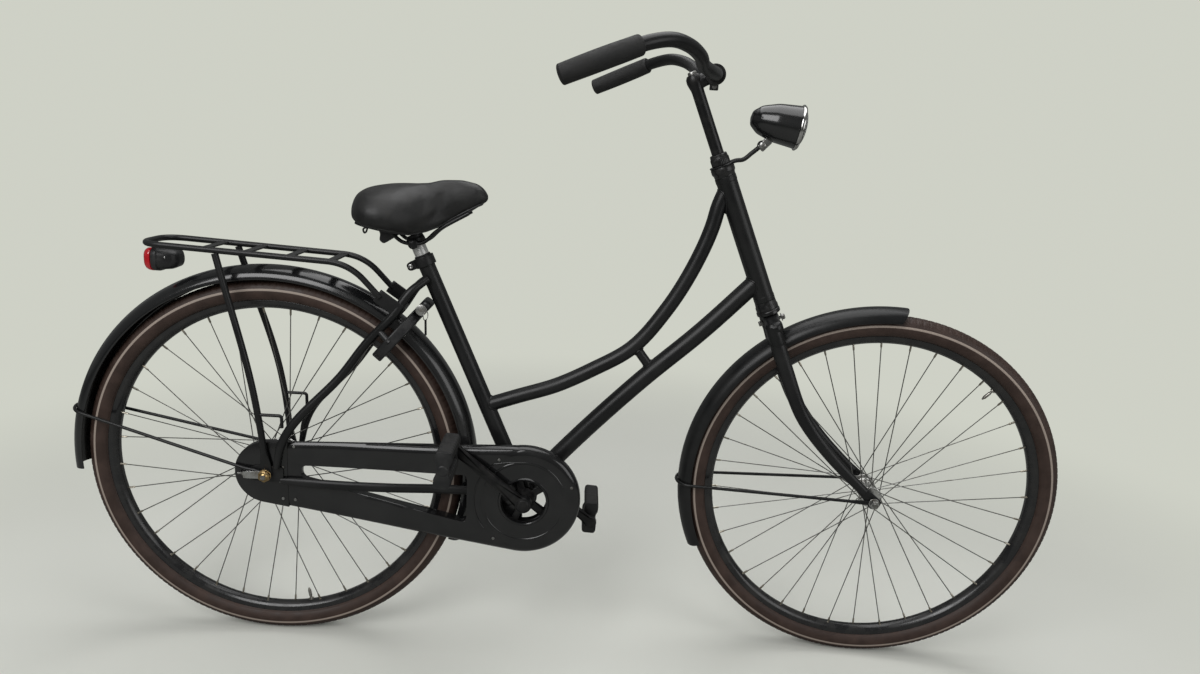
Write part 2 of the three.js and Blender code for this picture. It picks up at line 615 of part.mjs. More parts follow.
function addPedal(group, name, side) {
  const at = crankEnd(side);
  const turn = radians(PEDAL_ANGLE);
  const inner = side * pedalFrom;
  const outer = side * (pedalFrom + PEDAL_WIDTH);
  const collar = crossRod(at.x, at.z, side * (pedalFrom - PEDAL_GAP + CLEARANCE),
      side * (pedalFrom - CLEARANCE),
    PEDAL_AXLE_RADIUS + PLATE_THICKNESS);
  const axleEnd = side * (pedalFrom + PEDAL_WIDTH - CRANK_THICKNESS);
  const axle = crossRod(at.x, at.z, side * crankFace, axleEnd, PEDAL_AXLE_RADIUS);
  addPiece(group, `${name}_pedal_axle`, join(axle, collar), steel);
  const middle = at.clone().setY((inner + outer) / 2);
  const blocks = blockShares.map((share) => {
    const shift = share * PEDAL_LENGTH;
    const place = middle.clone().add(vec(shift * Math.cos(turn), 0, -shift * Math.sin(turn)));
    return block(place, PEDAL_LENGTH * (1 - 2 * blockShares[1]), PEDAL_WIDTH, PEDAL_THICKNESS, turn);
  });
  const ends = [inner, outer].map((y) => {
    const half = Math.sign(y) * (y === inner ? PLATE_THICKNESS : -PLATE_THICKNESS);
    return block(at.clone().setY(y + half), PEDAL_LENGTH, 2 * PLATE_THICKNESS, PEDAL_THICKNESS / 2, turn);
  });
  const core = crossRod(at.x, at.z, inner, outer, PEDAL_AXLE_RADIUS + 2 * PLATE_THICKNESS);
  const bore = crossRod(at.x, at.z, side * (pedalFrom - OVERRUN), axleEnd + side * CLEARANCE,
    PEDAL_AXLE_RADIUS + CLEARANCE, FINE_SIDES);
  addPiece(group, `${name}_pedal_body`, cut(join(core, ...blocks, ...ends), bore), rubber);
}

// Chain case: one hollow shell with a window between its runs, parted into an outer half, an inner half
// and a rear cap.
const CASE_CAP_X = 38;
const CASE_WINDOW_REAR = 62;
const CASE_WINDOW_TOP = 17;
const CASE_WINDOW_REAR_DROP = 8;
const CASE_WINDOW_FRONT_DROP = 79;
const CASE_RIB_RADIUS = 88;
const CASE_RIB_WIDTH = 5;
const CASE_BEVEL = 9;
const CASE_SLEEVE = 17;

// The case's full body, or its cavity when drawn in by a wall.
function caseBody(inset) {
  const outline = beltOutline(CASE_REAR_RADIUS - inset, CASE_FRONT_RADIUS - inset);
  const rearFace = -CASE_INNER_Y - CASE_REAR_DEPTH;
  const frontFace = -CASE_INNER_Y - CASE_FRONT_DEPTH;
  const body = plate(outline, rearFace + inset, -CASE_INNER_Y - inset);
  const radius = CASE_FRONT_RADIUS - inset;
  const bulge = [[0, frontFace + inset], [radius - CASE_BEVEL, frontFace + inset],
    [radius, rearFace + inset], [radius, rearFace + CASE_REAR_DEPTH / 2], [0,
      rearFace + CASE_REAR_DEPTH / 2]];
  return join(body, turned(bulge, FINE_SIDES, bracket.x, bracket.z));
}

function caseWindow(grow) {
  const left = CASE_WINDOW_REAR - grow;
  const right = BRACKET_X - CASE_FRONT_RADIUS + grow;
  const corners = [
    new THREE.Vector2(left, -CASE_WINDOW_REAR_DROP - grow), new THREE.Vector2(right,
      -CASE_WINDOW_FRONT_DROP - grow),
    new THREE.Vector2(right, CASE_WINDOW_TOP + grow), new THREE.Vector2(left, CASE_WINDOW_TOP + grow)];
  return plate(corners, -CASE_INNER_Y - CASE_FRONT_DEPTH - OVERRUN, OVERRUN - CASE_INNER_Y);
}

function addChainCase(group) {
  const frontFace = -CASE_INNER_Y - CASE_FRONT_DEPTH;
  const cavity = cut(caseBody(CASE_WALL), caseWindow(CASE_WALL));
  const rib = bushing(CASE_RIB_RADIUS - CASE_RIB_WIDTH, CASE_RIB_RADIUS, frontFace - CASE_RIB_HEIGHT,
    frontFace + CASE_WALL, FINE_SIDES, bracket.x, bracket.z);
  const sleeve = bushing(0, BRACKET_RADIUS + 2 * CASE_WALL, -CASE_INNER_Y - CASE_WALL,
      CASE_SLEEVE - CASE_INNER_Y,
    FINE_SIDES, bracket.x, bracket.z);
  const axleHole = crossRod(0, 0, -CASE_INNER_Y - CASE_FRONT_DEPTH, -CHAINLINE, CONE_RADIUS + 2 * CLEARANCE);
  const hubEye = crossRod(0, 0, -CHAINLINE, OVERRUN - CASE_INNER_Y, CASE_HUB_EYE_RADIUS, FINE_SIDES);
  const crankEye = crossRod(bracket.x, bracket.z, frontFace - OVERRUN, -CHAINLINE, CASE_EYE_RADIUS,
    FINE_SIDES);
  const backRod = (radius) => crossRod(bracket.x, bracket.z, -CHAINLINE, 0, radius, FINE_SIDES);
  const bracketEye = backRod(BRACKET_RADIUS + CLEARANCE);
  const backArms = Array.from({ length: CASE_BACK_ARMS }, (_, i) => {
    const a = radians(CASE_BACK_ARM_ANGLE) + (2 * Math.PI * i) / CASE_BACK_ARMS;
    const reach = CASE_EYE_RADIUS + OVERRUN;
    const half = reach / 2;
    const middle = bracket.clone().add(vec(half * Math.cos(a), -CHAINLINE / 2, half * Math.sin(a)));
    return block(middle, reach, CHAINLINE + 2 * OVERRUN, CASE_BACK_ARM_WIDTH, -a);
  });
  const backWindows = cut(backRod(CASE_EYE_RADIUS), backRod(BRACKET_RADIUS + 2 * CASE_WALL), ...backArms);
  const shell = cut(join(cut(caseBody(0), cavity, caseWindow(0)), rib, sleeve),
    axleHole, hubEye, crankEye, bracketEye, backWindows, chainStay(-1, CLEARANCE));
  const far = BRACKET_X + CASE_FRONT_RADIUS + OVERRUN;
  const half = CLEARANCE / 2;
  const slab = (fromX, toX, fromY, toY) => block(
    vec((fromX + toX) / 2, (fromY + toY) / 2, 0), toX - fromX, toY - fromY, far);
  const outerFrom = frontFace - OVERRUN;
  addPiece(group, 'chaincase_outer',
    shell.intersect(slab(CASE_CAP_X + half, far, outerFrom, -CHAINLINE - half)), glossBlack);
  addPiece(group, 'chaincase_inner', shell.intersect(slab(CASE_CAP_X + half, far, half - CHAINLINE, 0)),
      glossBlack);
  addPiece(group, 'chaincase_rear_cap', shell.intersect(slab(-far, CASE_CAP_X - half, outerFrom, 0)),
      glossBlack);
}

// Frame tubes. Each joins its neighbour through a cut shaped to it.
const DOWN_TUBE_STEP = 40.4;
const SWAN_TUBE_STEP = 17.6;
const HEAD_TUBE_WALL = 3;
const LOWER_CUP_HEIGHT = 26;
const CUP_INSERT = 10;
const swanJointShare = 0.631;
const swanShares = [[0.058, 0.026], [0.108, 0.057], [0.235, 0.114], [0.382, 0.156],
  [0.544, 0.173], [0.678, 0.141], [0.792, 0.103], [0.909, 0.045]];
const downShares = [[0.232, 0.001], [0.474, -0.011], [0.813, -0.01]];
const bridgeTopShares = [[0.53, 0.172]];
const bridgeFootShares = [[0.434, -0.003]];

const columnPoint = (height) => steerAxis.clone().multiplyScalar(height);
const headPoint = (height) => steerFoot.clone().add(columnPoint(height));
const headBase = FORK_LENGTH + CROWN_HEIGHT / 2 + LOWER_CUP_HEIGHT + 2 * CLEARANCE;
const headTop = headBase + HEAD_TUBE_LENGTH;
const downTubeTop = () => headPoint(headBase + DOWN_TUBE_STEP);
const seatTop = vec(SEAT_TUBE_TOP_X, 0, SEAT_TUBE_TOP_Z);
const seatFoot = bracket.clone().add(vec(-SEAT_TUBE_SETBACK, 0, 0));
const seatDirection = seatTop.clone().sub(seatFoot).normalize();
const seatTubePoint = (share) => seatTop.clone().lerp(seatFoot, share);
const beyond = (point, direction, distance) => point.clone().addScaledVector(direction, distance);

// A profile of radius and distance, turned about a line from a point along a direction.
function spun(profile, from, direction, sides = FINE_SIDES) {
  const points = profile.map(([radius, distance]) => new THREE.Vector2(radius, distance));
  const turn = new THREE.Quaternion().setFromUnitVectors(vec(0, 1, 0), direction);
  return toSolid(new THREE.LatheGeometry(points, sides).applyQuaternion(turn).translate(from.x, from.y,
      from.z));
}

const pipe = (bore, radius, from, to, start, direction) => spun(
  [[bore, from], [radius, from], [radius, to], [bore, to], [bore, from]], start, direction);

const headTubeTool = () => rod(headPoint(headBase - OVERRUN), headPoint(headTop + OVERRUN),
  HEAD_TUBE_RADIUS + CLEARANCE, HEAD_TUBE_RADIUS + CLEARANCE, FINE_SIDES);
const bracketTool = () => crossRod(bracket.x, bracket.z, -BRACKET_WIDTH, BRACKET_WIDTH,
  BRACKET_RADIUS + CLEARANCE, FINE_SIDES);
const seatTubeTool = () => rod(beyond(seatTop, seatDirection, OVERRUN), seatFoot,
  SEAT_TUBE_RADIUS + CLEARANCE, SEAT_TUBE_RADIUS + CLEARANCE, FINE_SIDES);

function downTube(grow = 0) {
  const top = downTubeTop();
  const points = [top, ...alongChord(top, bracket, downShares), bracket];
  return bentTube(points, DOWN_TUBE_RADIUS + grow, points.length - 1);
}

function addMainTubes(group) {
  addPiece(group, 'head_tube',
    pipe(HEAD_TUBE_RADIUS - HEAD_TUBE_WALL, HEAD_TUBE_RADIUS, headBase, headTop, steerFoot, steerAxis),
      satinBlack);
  addPiece(group, 'down_tube', cut(downTube(), headTubeTool(), bracketTool(), seatTubeTool()), satinBlack);
  const top = headPoint(headTop - SWAN_TUBE_STEP);
  const foot = seatTubePoint(swanJointShare);
  const swan = bentTube([top, ...alongChord(top, foot, swanShares), foot], SWAN_TUBE_RADIUS, SWAN_STEPS);
  const [bridgeTop] = alongChord(top, foot, bridgeTopShares);
  const [bridgeFoot] = alongChord(downTubeTop(), bracket, bridgeFootShares);
  const bridge = rod(bridgeTop, bridgeFoot, BRIDGE_RADIUS);
  addPiece(group, 'swan_tube', cut(join(swan, bridge), headTubeTool(), seatTubeTool(), downTube(CLEARANCE)),
    satinBlack);
  const length = seatTop.distanceTo(seatFoot);
  const seatTube = pipe(SEATPOST_RADIUS + CLEARANCE, SEAT_TUBE_RADIUS, -length, 0, seatTop, seatDirection);
  addPiece(group, 'seat_tube', cut(seatTube, bracketTool()), satinBlack);
  const half = BRACKET_WIDTH / 2;
  addPiece(group, 'bottom_bracket_shell', bushing(BRACKET_RADIUS - BRACKET_WALL, BRACKET_RADIUS, -half, half,
    FINE_SIDES, bracket.x, bracket.z), satinBlack);
}

// Headset cups pressed into the head tube: a flange outside it and a skirt inside.
function addHeadsetCups(group) {
  const bore = STEERER_RADIUS + CLEARANCE;
  const skirt = HEAD_TUBE_RADIUS - HEAD_TUBE_WALL - CLEARANCE;
  const cup = (height, direction) => [[bore, 0], [CUP_RADIUS, 0], [HEAD_TUBE_RADIUS, height * direction],
    [skirt, height * direction], [skirt, (height + CUP_INSERT) * direction],
    [bore, (height + CUP_INSERT) * direction], [bore, 0]];
  addPiece(group, 'lower_headset_cup',
    spun(cup(LOWER_CUP_HEIGHT, 1), headPoint(headBase - LOWER_CUP_HEIGHT - CLEARANCE), steerAxis),
      satinBlack);
  addPiece(group, 'upper_headset_cup',
    spun(cup(UPPER_CUP_HEIGHT, -1), headPoint(headTop + UPPER_CUP_HEIGHT + CLEARANCE), steerAxis),
      satinBlack);
}

// Chain stays: flattened tubes that run outside the case, in through its window and past the fender.
const CHAIN_STAY_START = 26;
const CHAIN_STAY_REAR_DROP = 12;
const STAY_BRIDGE_RADIUS = 8;
const chainStayShares = [[0, 0], [0.22, 0], [0.45, 0.33], [0.66, 0.87], [0.75, 1], [0.84, 1], [0.97, 1.5]];

function chainStayPoint(share, side) {
  const points = chainStayShares.map(([along, inward]) => vec(
    between(CHAIN_STAY_START, BRACKET_X, along),
    side * between(CHAIN_STAY_OUTER_Y, CHAIN_STAY_INNER_Y, inward),
    -between(CHAIN_STAY_REAR_DROP, BRACKET_DROP, along)));
  return new THREE.CatmullRomCurve3(points, false, 'centripetal').getPoint(share);
}

const chainStay = (side, grow = 0) => sweep(circle(1, OVAL_SIDES), steps(STAY_STEPS), (point, share) => {
  const middle = chainStayPoint(share, side);
  const wide = (CHAIN_STAY_WIDTH / 2 + grow) * point.x;
  const high = (CHAIN_STAY_HEIGHT / 2 + grow) * point.y;
  return middle.add(vec(0, wide, high));
});

function dropout(side, grow = 0) {
  const middle = vec(0, side * (dropoutFace + DROPOUT_THICKNESS / 2), 0);
  return block(middle, DROPOUT_LENGTH + 2 * grow, DROPOUT_THICKNESS + 2 * grow, DROPOUT_HEIGHT + 2 * grow);
}

function addChainStays(group) {
  const reach = REAR_FENDER_RADIUS + CLEARANCE + STAY_BRIDGE_RADIUS;
  const fall = CHAIN_STAY_REAR_DROP + (BRACKET_DROP - CHAIN_STAY_REAR_DROP) * (reach / BRACKET_X);
  const x = Math.sqrt(reach * reach - fall * fall);
  const bridge = crossRod(x, -fall, -CHAIN_STAY_INNER_Y, CHAIN_STAY_INNER_Y, STAY_BRIDGE_RADIUS);
  const slot = block(vec(-DROPOUT_LENGTH / 2, 0, 0), DROPOUT_LENGTH, 2 * CHAIN_STAY_OUTER_Y, 2 * axleBore);
  const round = crossRod(0, 0, -CHAIN_STAY_OUTER_Y, CHAIN_STAY_OUTER_Y, axleBore);
  const ends = [-1, 1].map((side) => cut(dropout(side), slot, round));
  const stays = join(chainStay(-1), chainStay(1), bridge, ...ends);
  addPiece(group, 'chain_stays', cut(stays, bracketTool()), satinBlack);
}

// Seat stays: from the seat tube's sides, past the fender, out to the dropout plates.
const SEAT_STAY_STEP_X = 14;
const SEAT_STAY_STEP_Z = 41;
const SEAT_STAY_FOOT_X = 20;
const SEAT_STAY_FOOT_Z = 14;
const seatStayShares = [[0.077, -0.019], [0.196, -0.015], [0.344, -0.029], [0.502, -0.027], [0.92, -0.037]];
const seatStaySpreadShares = [0.4, 0.8, 1, 1, 1.12, 1.53, 1.55];

function seatStayPoints(side) {
  const top = vec(SEAT_TUBE_TOP_X + SEAT_STAY_STEP_X, 0, SEAT_TUBE_TOP_Z - SEAT_STAY_STEP_Z);
  const foot = vec(SEAT_STAY_FOOT_X, 0, SEAT_STAY_FOOT_Z);
  const places = [top, ...alongChord(top, foot, seatStayShares), foot];
  return places.map((place, i) => place.setY(side * SEAT_STAY_SPREAD * seatStaySpreadShares[i]));
}

const seatStay = (side, grow = 0) => bentTube(seatStayPoints(side), SEAT_STAY_RADIUS + grow, STAY_STEPS,
    OVAL_SIDES);

// The point of a seat stay at a distance from the rear hub.
function seatStayAt(side, reach) {
  const path = new THREE.CatmullRomCurve3(seatStayPoints(side), false, 'centripetal');
  const distance = (point) => Math.abs(Math.hypot(point.x, point.z) - reach);
  return path.getSpacedPoints(STAY_SAMPLES).reduce((best,
      point) => (distance(point) < distance(best) ? point : best));
}

function addSeatStays(group) {
  const at = seatStayAt(1, REAR_FENDER_RADIUS + CLEARANCE + STAY_BRIDGE_RADIUS);
  const bridge = crossRod(at.x, at.z, -at.y, at.y, STAY_BRIDGE_RADIUS);
  const stays = join(seatStay(-1), seatStay(1), bridge);
  addPiece(group, 'seat_stays', cut(stays, seatTubeTool(), dropout(-1, CLEARANCE), dropout(1, CLEARANCE)),
    satinBlack);
}

// Fenders: a rounded blade bent round the wheel, and a wire stay that hoops over it.
const REAR_FENDER_ANGLES = [-22, 183.8];
const FRONT_FENDER_ANGLES = [86.5, 203.2];
const REAR_STAY_ANGLE = 165.8;
const FRONT_STAY_ANGLE = 181.2;

// A point of a fender's section: turned 0 on its ridge and a quarter turn at its edges.
function fenderSection(inset, turn) {
  const half = FENDER_WIDTH / 2 - inset;
  const depth = FENDER_DEPTH - inset;
  return new THREE.Vector2(half * Math.sin(turn), -inset - depth * (1 - Math.cos(turn)));
}

const polar = (radius, angle, y = 0) => vec(
  radius * Math.cos(radians(angle)), y, radius * Math.sin(radians(angle)));

function fender(radius, [from, to], count) {
  const turns = steps(EDGE_STEPS).map((share) => between(-Math.PI / 2, Math.PI / 2, share));
  const outside = turns.map((turn) => fenderSection(0, turn));
  const inside = turns.map((turn) => fenderSection(FENDER_THICKNESS, turn)).reverse();
  return sweep([...outside, ...inside], steps(count), (point, share) =>
    polar(radius + point.y, between(from, to, share), point.x));
}

// A stay from eyes on the axle to a hoop that lies on the fender at an angle; its feet are flattened.
const flattenedShare = 0.4;

function fenderStay(radius, angle, eyeY, bore) {
  const lift = CLEARANCE + STAY_RADIUS;
  const hoop = steps(HOOP_STEPS).map((share) => {
    const turn = between(-Math.PI / 2, Math.PI / 2, share);
    const on = fenderSection(0, turn);
    return polar(radius + on.y + lift * Math.cos(turn), angle, on.x + lift * Math.sin(turn));
  });
  const first = hoop[0];
  const last = hoop[hoop.length - 1];
  const middleY = eyeY + STRUT_EYE_THICKNESS / 2;
  const eyes = [-1, 1].map((side) => bushing(0, NUT_RADIUS, middleY * side - STRUT_EYE_THICKNESS / 2,
    middleY * side + STRUT_EYE_THICKNESS / 2));
  const legStart = polar(NUT_RADIUS - STRUT_EYE_THICKNESS, angle, middleY);
  const legRadius = STAY_RADIUS * flattenedShare;
  const legs = [rod(mirrored(legStart), first, legRadius, STAY_RADIUS, SMALL_SIDES),
    rod(legStart, last, legRadius, STAY_RADIUS, SMALL_SIDES)];
  const wire = join(bentTube(hoop, STAY_RADIUS, HOOP_STEPS, SMALL_SIDES), ...legs, ...eyes);
  return cut(wire, crossRod(0, 0, -radius, radius, bore));
}

function addRearFender(group) {
  addPiece(group, 'rear_fender', fender(REAR_FENDER_RADIUS, REAR_FENDER_ANGLES, REAR_FENDER_STEPS),
      glossBlack);
  addPiece(group, 'rear_fender_stay',
    fenderStay(REAR_FENDER_RADIUS, REAR_STAY_ANGLE, stayEyeFrom, axleBore), satinBlack);
}

// Carrier: a hoop of tube with cross strips, on two struts and two brackets at the seat stays.
const CARRIER_FOOT_RETURN = 176;
const CARRIER_FOOT_DROP = 41;
const CARRIER_FOOT_X = REAR_FENDER_RADIUS - CARRIER_FOOT_RETURN;
const CARRIER_FOOT_Z = REAR_FENDER_RADIUS - CARRIER_FOOT_DROP;
const CARRIER_BRACKET_WIDTH = 5;
const CARRIER_BRACKET_HEIGHT = 26;
const HOOK_RADIUS = 3;
const STRUT_FLAT = 28;
const STRUT_TOP_X = -81;
const STRUT_WAIST_X = -14;
const STRUT_WAIST_Z = 141;
const HOOK_Z = 116;
const HOOK_REACH = 44;
const HOOK_DROP = 23;
const carrierBarShares = [0.296, 0.494, 0.7, 0.905];

const carrierZ = (x) => between(CARRIER_REAR_Z, CARRIER_FRONT_Z,
  (x - CARRIER_REAR_X) / (CARRIER_FRONT_X - CARRIER_REAR_X));
const railPoint = (x, side) => vec(x, side * CARRIER_HALF_WIDTH, carrierZ(x));
const carrierBarX = (share) => between(CARRIER_REAR_X, CARRIER_FRONT_X, share);

function carrierRails(grow = 0) {
  const corner = CARRIER_HALF_WIDTH / 2;
  const side = (sign) => [railPoint(CARRIER_REAR_X + corner, sign), railPoint(0, sign),
    railPoint(CARRIER_FRONT_X - corner, sign), railPoint(CARRIER_FRONT_X, sign),
    vec(CARRIER_FOOT_X, sign * CARRIER_HALF_WIDTH, CARRIER_FOOT_Z)];
  const rear = [vec(CARRIER_REAR_X, -corner, CARRIER_REAR_Z), vec(CARRIER_REAR_X, corner, CARRIER_REAR_Z)];
  return bentTube([...side(-1).reverse(), ...rear, ...side(1)], CARRIER_TUBE_RADIUS + grow, RAIL_STEPS,
      SMALL_SIDES);
}

function addCarrier(group) {
  const bars = carrierBarShares.map((share) => {
    const x = carrierBarX(share);
    return block(vec(x, 0, carrierZ(x)), CARRIER_BAR_WIDTH, 2 * CARRIER_HALF_WIDTH, CARRIER_BAR_THICKNESS);
  });
  const feet = [-1, 1].map((side) => {
    const reach = Math.hypot(CARRIER_FOOT_X, CARRIER_FOOT_Z);
    const stay = seatStayAt(side, reach);
    const middle = vec((CARRIER_FOOT_X + stay.x) / 2, stay.y + side * CARRIER_BRACKET_WIDTH,
      (CARRIER_FOOT_Z + stay.z) / 2);
    const lean = Math.atan2(CARRIER_FOOT_Z - stay.z, stay.x - CARRIER_FOOT_X);
    const length = Math.hypot(stay.x - CARRIER_FOOT_X, stay.z - CARRIER_FOOT_Z) + CARRIER_BRACKET_HEIGHT / 2;
    return block(middle, length, CARRIER_BRACKET_WIDTH, CARRIER_BRACKET_HEIGHT, lean);
  });
  addPiece(group, 'carrier_rack',
    cut(join(carrierRails(), ...bars, ...feet), seatStay(-1, CLEARANCE), seatStay(1, CLEARANCE)),
      satinBlack);
}

function carrierStrut(side) {
  const eyeMiddle = side * (eyeFrom + STRUT_EYE_THICKNESS / 2);
  const half = STRUT_EYE_THICKNESS / 2;
  const eye = bushing(0, NUT_RADIUS, eyeMiddle - half, eyeMiddle + half);
  const flat = block(vec(0, eyeMiddle, STRUT_FLAT / 2), 2 * NUT_RADIUS, STRUT_EYE_THICKNESS, STRUT_FLAT);
  const knee = vec(0, eyeMiddle, STRUT_FLAT - STRUT_EYE_THICKNESS);
  const waist = vec(STRUT_WAIST_X, side * eyeTo, STRUT_WAIST_Z);
  const tube = bentTube([knee, waist, railPoint(STRUT_TOP_X, side)], STRUT_RADIUS, HOOP_STEPS, SMALL_SIDES);
  const root = vec(between(0, STRUT_WAIST_X, HOOK_Z / STRUT_WAIST_Z), waist.y, HOOK_Z);
  const tip = root.clone().add(vec(HOOK_REACH, 0, 0));
  const hook = [rod(root, tip, HOOK_RADIUS, HOOK_RADIUS, SMALL_SIDES),
    rod(tip, tip.clone().add(vec(0, 0, -HOOK_DROP)), HOOK_RADIUS, HOOK_RADIUS, SMALL_SIDES)];
  const bore = crossRod(0, 0, -CHAINLINE - eyeTo, CHAINLINE + eyeTo, axleBore);
  return cut(join(eye, flat, tube, ...hook), bore, carrierRails(CLEARANCE));
}

function addStruts(group) {
  addPiece(group, 'carrier_strut_right', carrierStrut(-1), satinBlack);
  addPiece(group, 'carrier_strut_left', carrierStrut(1), satinBlack);
}

// Tail lamp under the carrier's rear end: a body with a tab up to the hoop, and a red lens behind it.
const lensCrownShare = 0.75;

function addTailLamp(group) {
  const top = CARRIER_REAR_Z - CARRIER_TUBE_RADIUS - CLEARANCE - STAY_RADIUS;
  const middleZ = top - TAIL_LAMP_HEIGHT / 2;
  const faceX = CARRIER_REAR_X + CARRIER_TUBE_RADIUS;
  const body = block(vec(faceX + TAIL_LAMP_BODY / 2, 0, middleZ), TAIL_LAMP_BODY, TAIL_LAMP_WIDTH,
      TAIL_LAMP_HEIGHT);
  const tab = block(vec(faceX, 0, top), CARRIER_BAR_WIDTH, TAIL_LAMP_WIDTH / 2, 4 * STAY_RADIUS);
  addPiece(group, 'tail_lamp_body', cut(join(body, tab), carrierRails(CLEARANCE)), blackPlastic);
  const lensX = faceX - CLEARANCE - TAIL_LAMP_LENS / 2;
  const dome = sweep(circle(1, FINE_SIDES), steps(LENS_STEPS), (point, share) => {
    const swell = Math.sqrt(1 - lensCrownShare * share * share);
    return vec(faceX - CLEARANCE - TAIL_LAMP_LENS * share, point.x * swell * TAIL_LAMP_WIDTH / 2,
      middleZ + point.y * swell * TAIL_LAMP_HEIGHT / 2);
  });
  addPiece(group, 'tail_lamp_lens', cut(dome, tabTool(lensX, top)), redLens);
}

const tabTool = (x, z) => block(vec(x, 0, z), TAIL_LAMP_LENS + CARRIER_BAR_WIDTH,
  TAIL_LAMP_WIDTH / 2 + 2 * CLEARANCE, 4 * STAY_RADIUS + 2 * CLEARANCE);

// Ring lock in a plane through the rear hub, with the case of its cylinder outside the ring.
const LOCK_OPEN_ANGLE = 140;
const LOCK_LUG_ANGLE = 90;
const GROOVE_OVERRUN_ANGLE = 10;
const SHACKLE_FROM_ANGLE = 8;
const SHACKLE_TO_ANGLE = 137;
const KEY_RADIUS = 2.5;
const KEY_HEAD_RADIUS = 10;
const KEY_HEAD_THICKNESS = 2.5;
const KEY_DEPTH = 14;
const KEY_STEM = 12;
const lockOut = polar(1, LOCK_ANGLE);
const lockAcross = vec(0, -1, 0);
const lockNormal = polar(1, LOCK_ANGLE - 90);
const lockCentre = lockOut.clone().multiplyScalar(LOCK_CENTRE_RADIUS);

// A place about the ring's centre: its turn from the outermost point, its distance, and a step off the
// plane.
const lockPoint = (turn, radius, step = 0) => lockCentre.clone()
  .addScaledVector(lockOut, radius * Math.cos(radians(turn)))
  .addScaledVector(lockAcross, radius * Math.sin(radians(turn)))
  .addScaledVector(lockNormal, step);

const lockArc = (section, from, to, count) => sweep(section, steps(count), (point, share) =>
  lockPoint(between(from, to, share), LOCK_RADIUS + point.x, point.y));

function lockCase(turn, radius, width, height, depth) {
  const geometry = new THREE.BoxGeometry(height, width, depth);
  const basis = new THREE.Matrix4().makeBasis(lockOut, vec(0, 1, 0), lockOut.clone().cross(vec(0, 1, 0)));
  const middle = lockPoint(turn, radius);
  return toSolid(geometry.applyMatrix4(basis).translate(middle.x, middle.y, middle.z));
}

function addRingLock(group) {
  const half = LOCK_BAND / 2;
  const deep = LOCK_DEPTH / 2;
  const band = [[-half, -deep], [half, -deep], [half, deep], [-half, deep]].map(([x,
      y]) => new THREE.Vector2(x, y));
  const ring = lockArc(band, -LOCK_OPEN_ANGLE, LOCK_OPEN_ANGLE, LOCK_STEPS);
  const caseRadius = LOCK_RADIUS + half + LOCK_CASE_HEIGHT / 2 - CLEARANCE;
  const housing = lockCase(0, caseRadius, LOCK_CASE_WIDTH, LOCK_CASE_HEIGHT, LOCK_DEPTH);
  const lugs = [-1, 1].map((side) => {
    const stay = seatStayAt(side, LOCK_CENTRE_RADIUS);
    const foot = lockPoint(-LOCK_LUG_ANGLE * side, LOCK_RADIUS);
    return rod(foot, stay, STRUT_RADIUS, STRUT_RADIUS, SMALL_SIDES);
  });
  const past = LOCK_OPEN_ANGLE + GROOVE_OVERRUN_ANGLE;
  const groove = lockArc(circle(SHACKLE_BORE, SMALL_SIDES), -past, past, GROOVE_STEPS);
  const keyHole = rod(keyPoint(-KEY_DEPTH - CLEARANCE), keyPoint(KEY_STEM), KEY_RADIUS + CLEARANCE,
    KEY_RADIUS + CLEARANCE, SMALL_SIDES);
  addPiece(group, 'ring_lock_body', cut(join(ring, housing, ...lugs), groove, keyHole,
    seatStay(-1, CLEARANCE), seatStay(1, CLEARANCE)), satinBlack);
  const key = rod(keyPoint(-KEY_DEPTH), keyPoint(KEY_STEM), KEY_RADIUS, KEY_RADIUS, SMALL_SIDES);
  const head = rod(keyPoint(KEY_STEM - KEY_HEAD_THICKNESS), keyPoint(KEY_STEM), KEY_HEAD_RADIUS);
  addPiece(group, 'lock_key', join(key, head), steel);
}

// A point on the key's line, out of the lock case's right face.
const keyPoint = (distance) => lockPoint(0, LOCK_RADIUS + LOCK_BAND / 2 + LOCK_CASE_HEIGHT / 2)
  .add(vec(0, -LOCK_CASE_WIDTH / 2 - distance, 0));

function addShackle(group) {
  const section = circle(SHACKLE_RADIUS, SMALL_SIDES);
  const shackle = lockArc(section, SHACKLE_FROM_ANGLE, SHACKLE_TO_ANGLE, SHACKLE_STEPS);
  addPiece(group, 'lock_shackle', shackle, steel);
}

// Seat clamp: a split collar round the seat tube's top, with its bolt ears behind.
const COLLAR_HEIGHT = 18;
const COLLAR_WALL = 3.5;
const EAR_LENGTH = 18;
const EAR_WIDTH = 15;
const POST_LENGTH = 153;
const POST_INSERTION = 115;

function addSeatClamp(group) {
  const outer = SEAT_TUBE_RADIUS + CLEARANCE + COLLAR_WALL;
  const start = beyond(seatTop, seatDirection, -COLLAR_HEIGHT - COLLAR_WALL);
  const ring = pipe(0, outer, 0, COLLAR_HEIGHT, start, seatDirection);
  const back = vec(-seatDirection.z, 0, seatDirection.x);
  const middle = beyond(start, seatDirection, COLLAR_HEIGHT / 2)
    .addScaledVector(back, outer + EAR_LENGTH / 2 - COLLAR_WALL);
  const lean = Math.atan2(-back.z, back.x);
  const ears = block(middle, EAR_LENGTH, EAR_WIDTH, COLLAR_HEIGHT, lean);
  addPiece(group, 'seat_clamp', cut(join(ring, ears), seatTubeTool()), satinBlack);
}

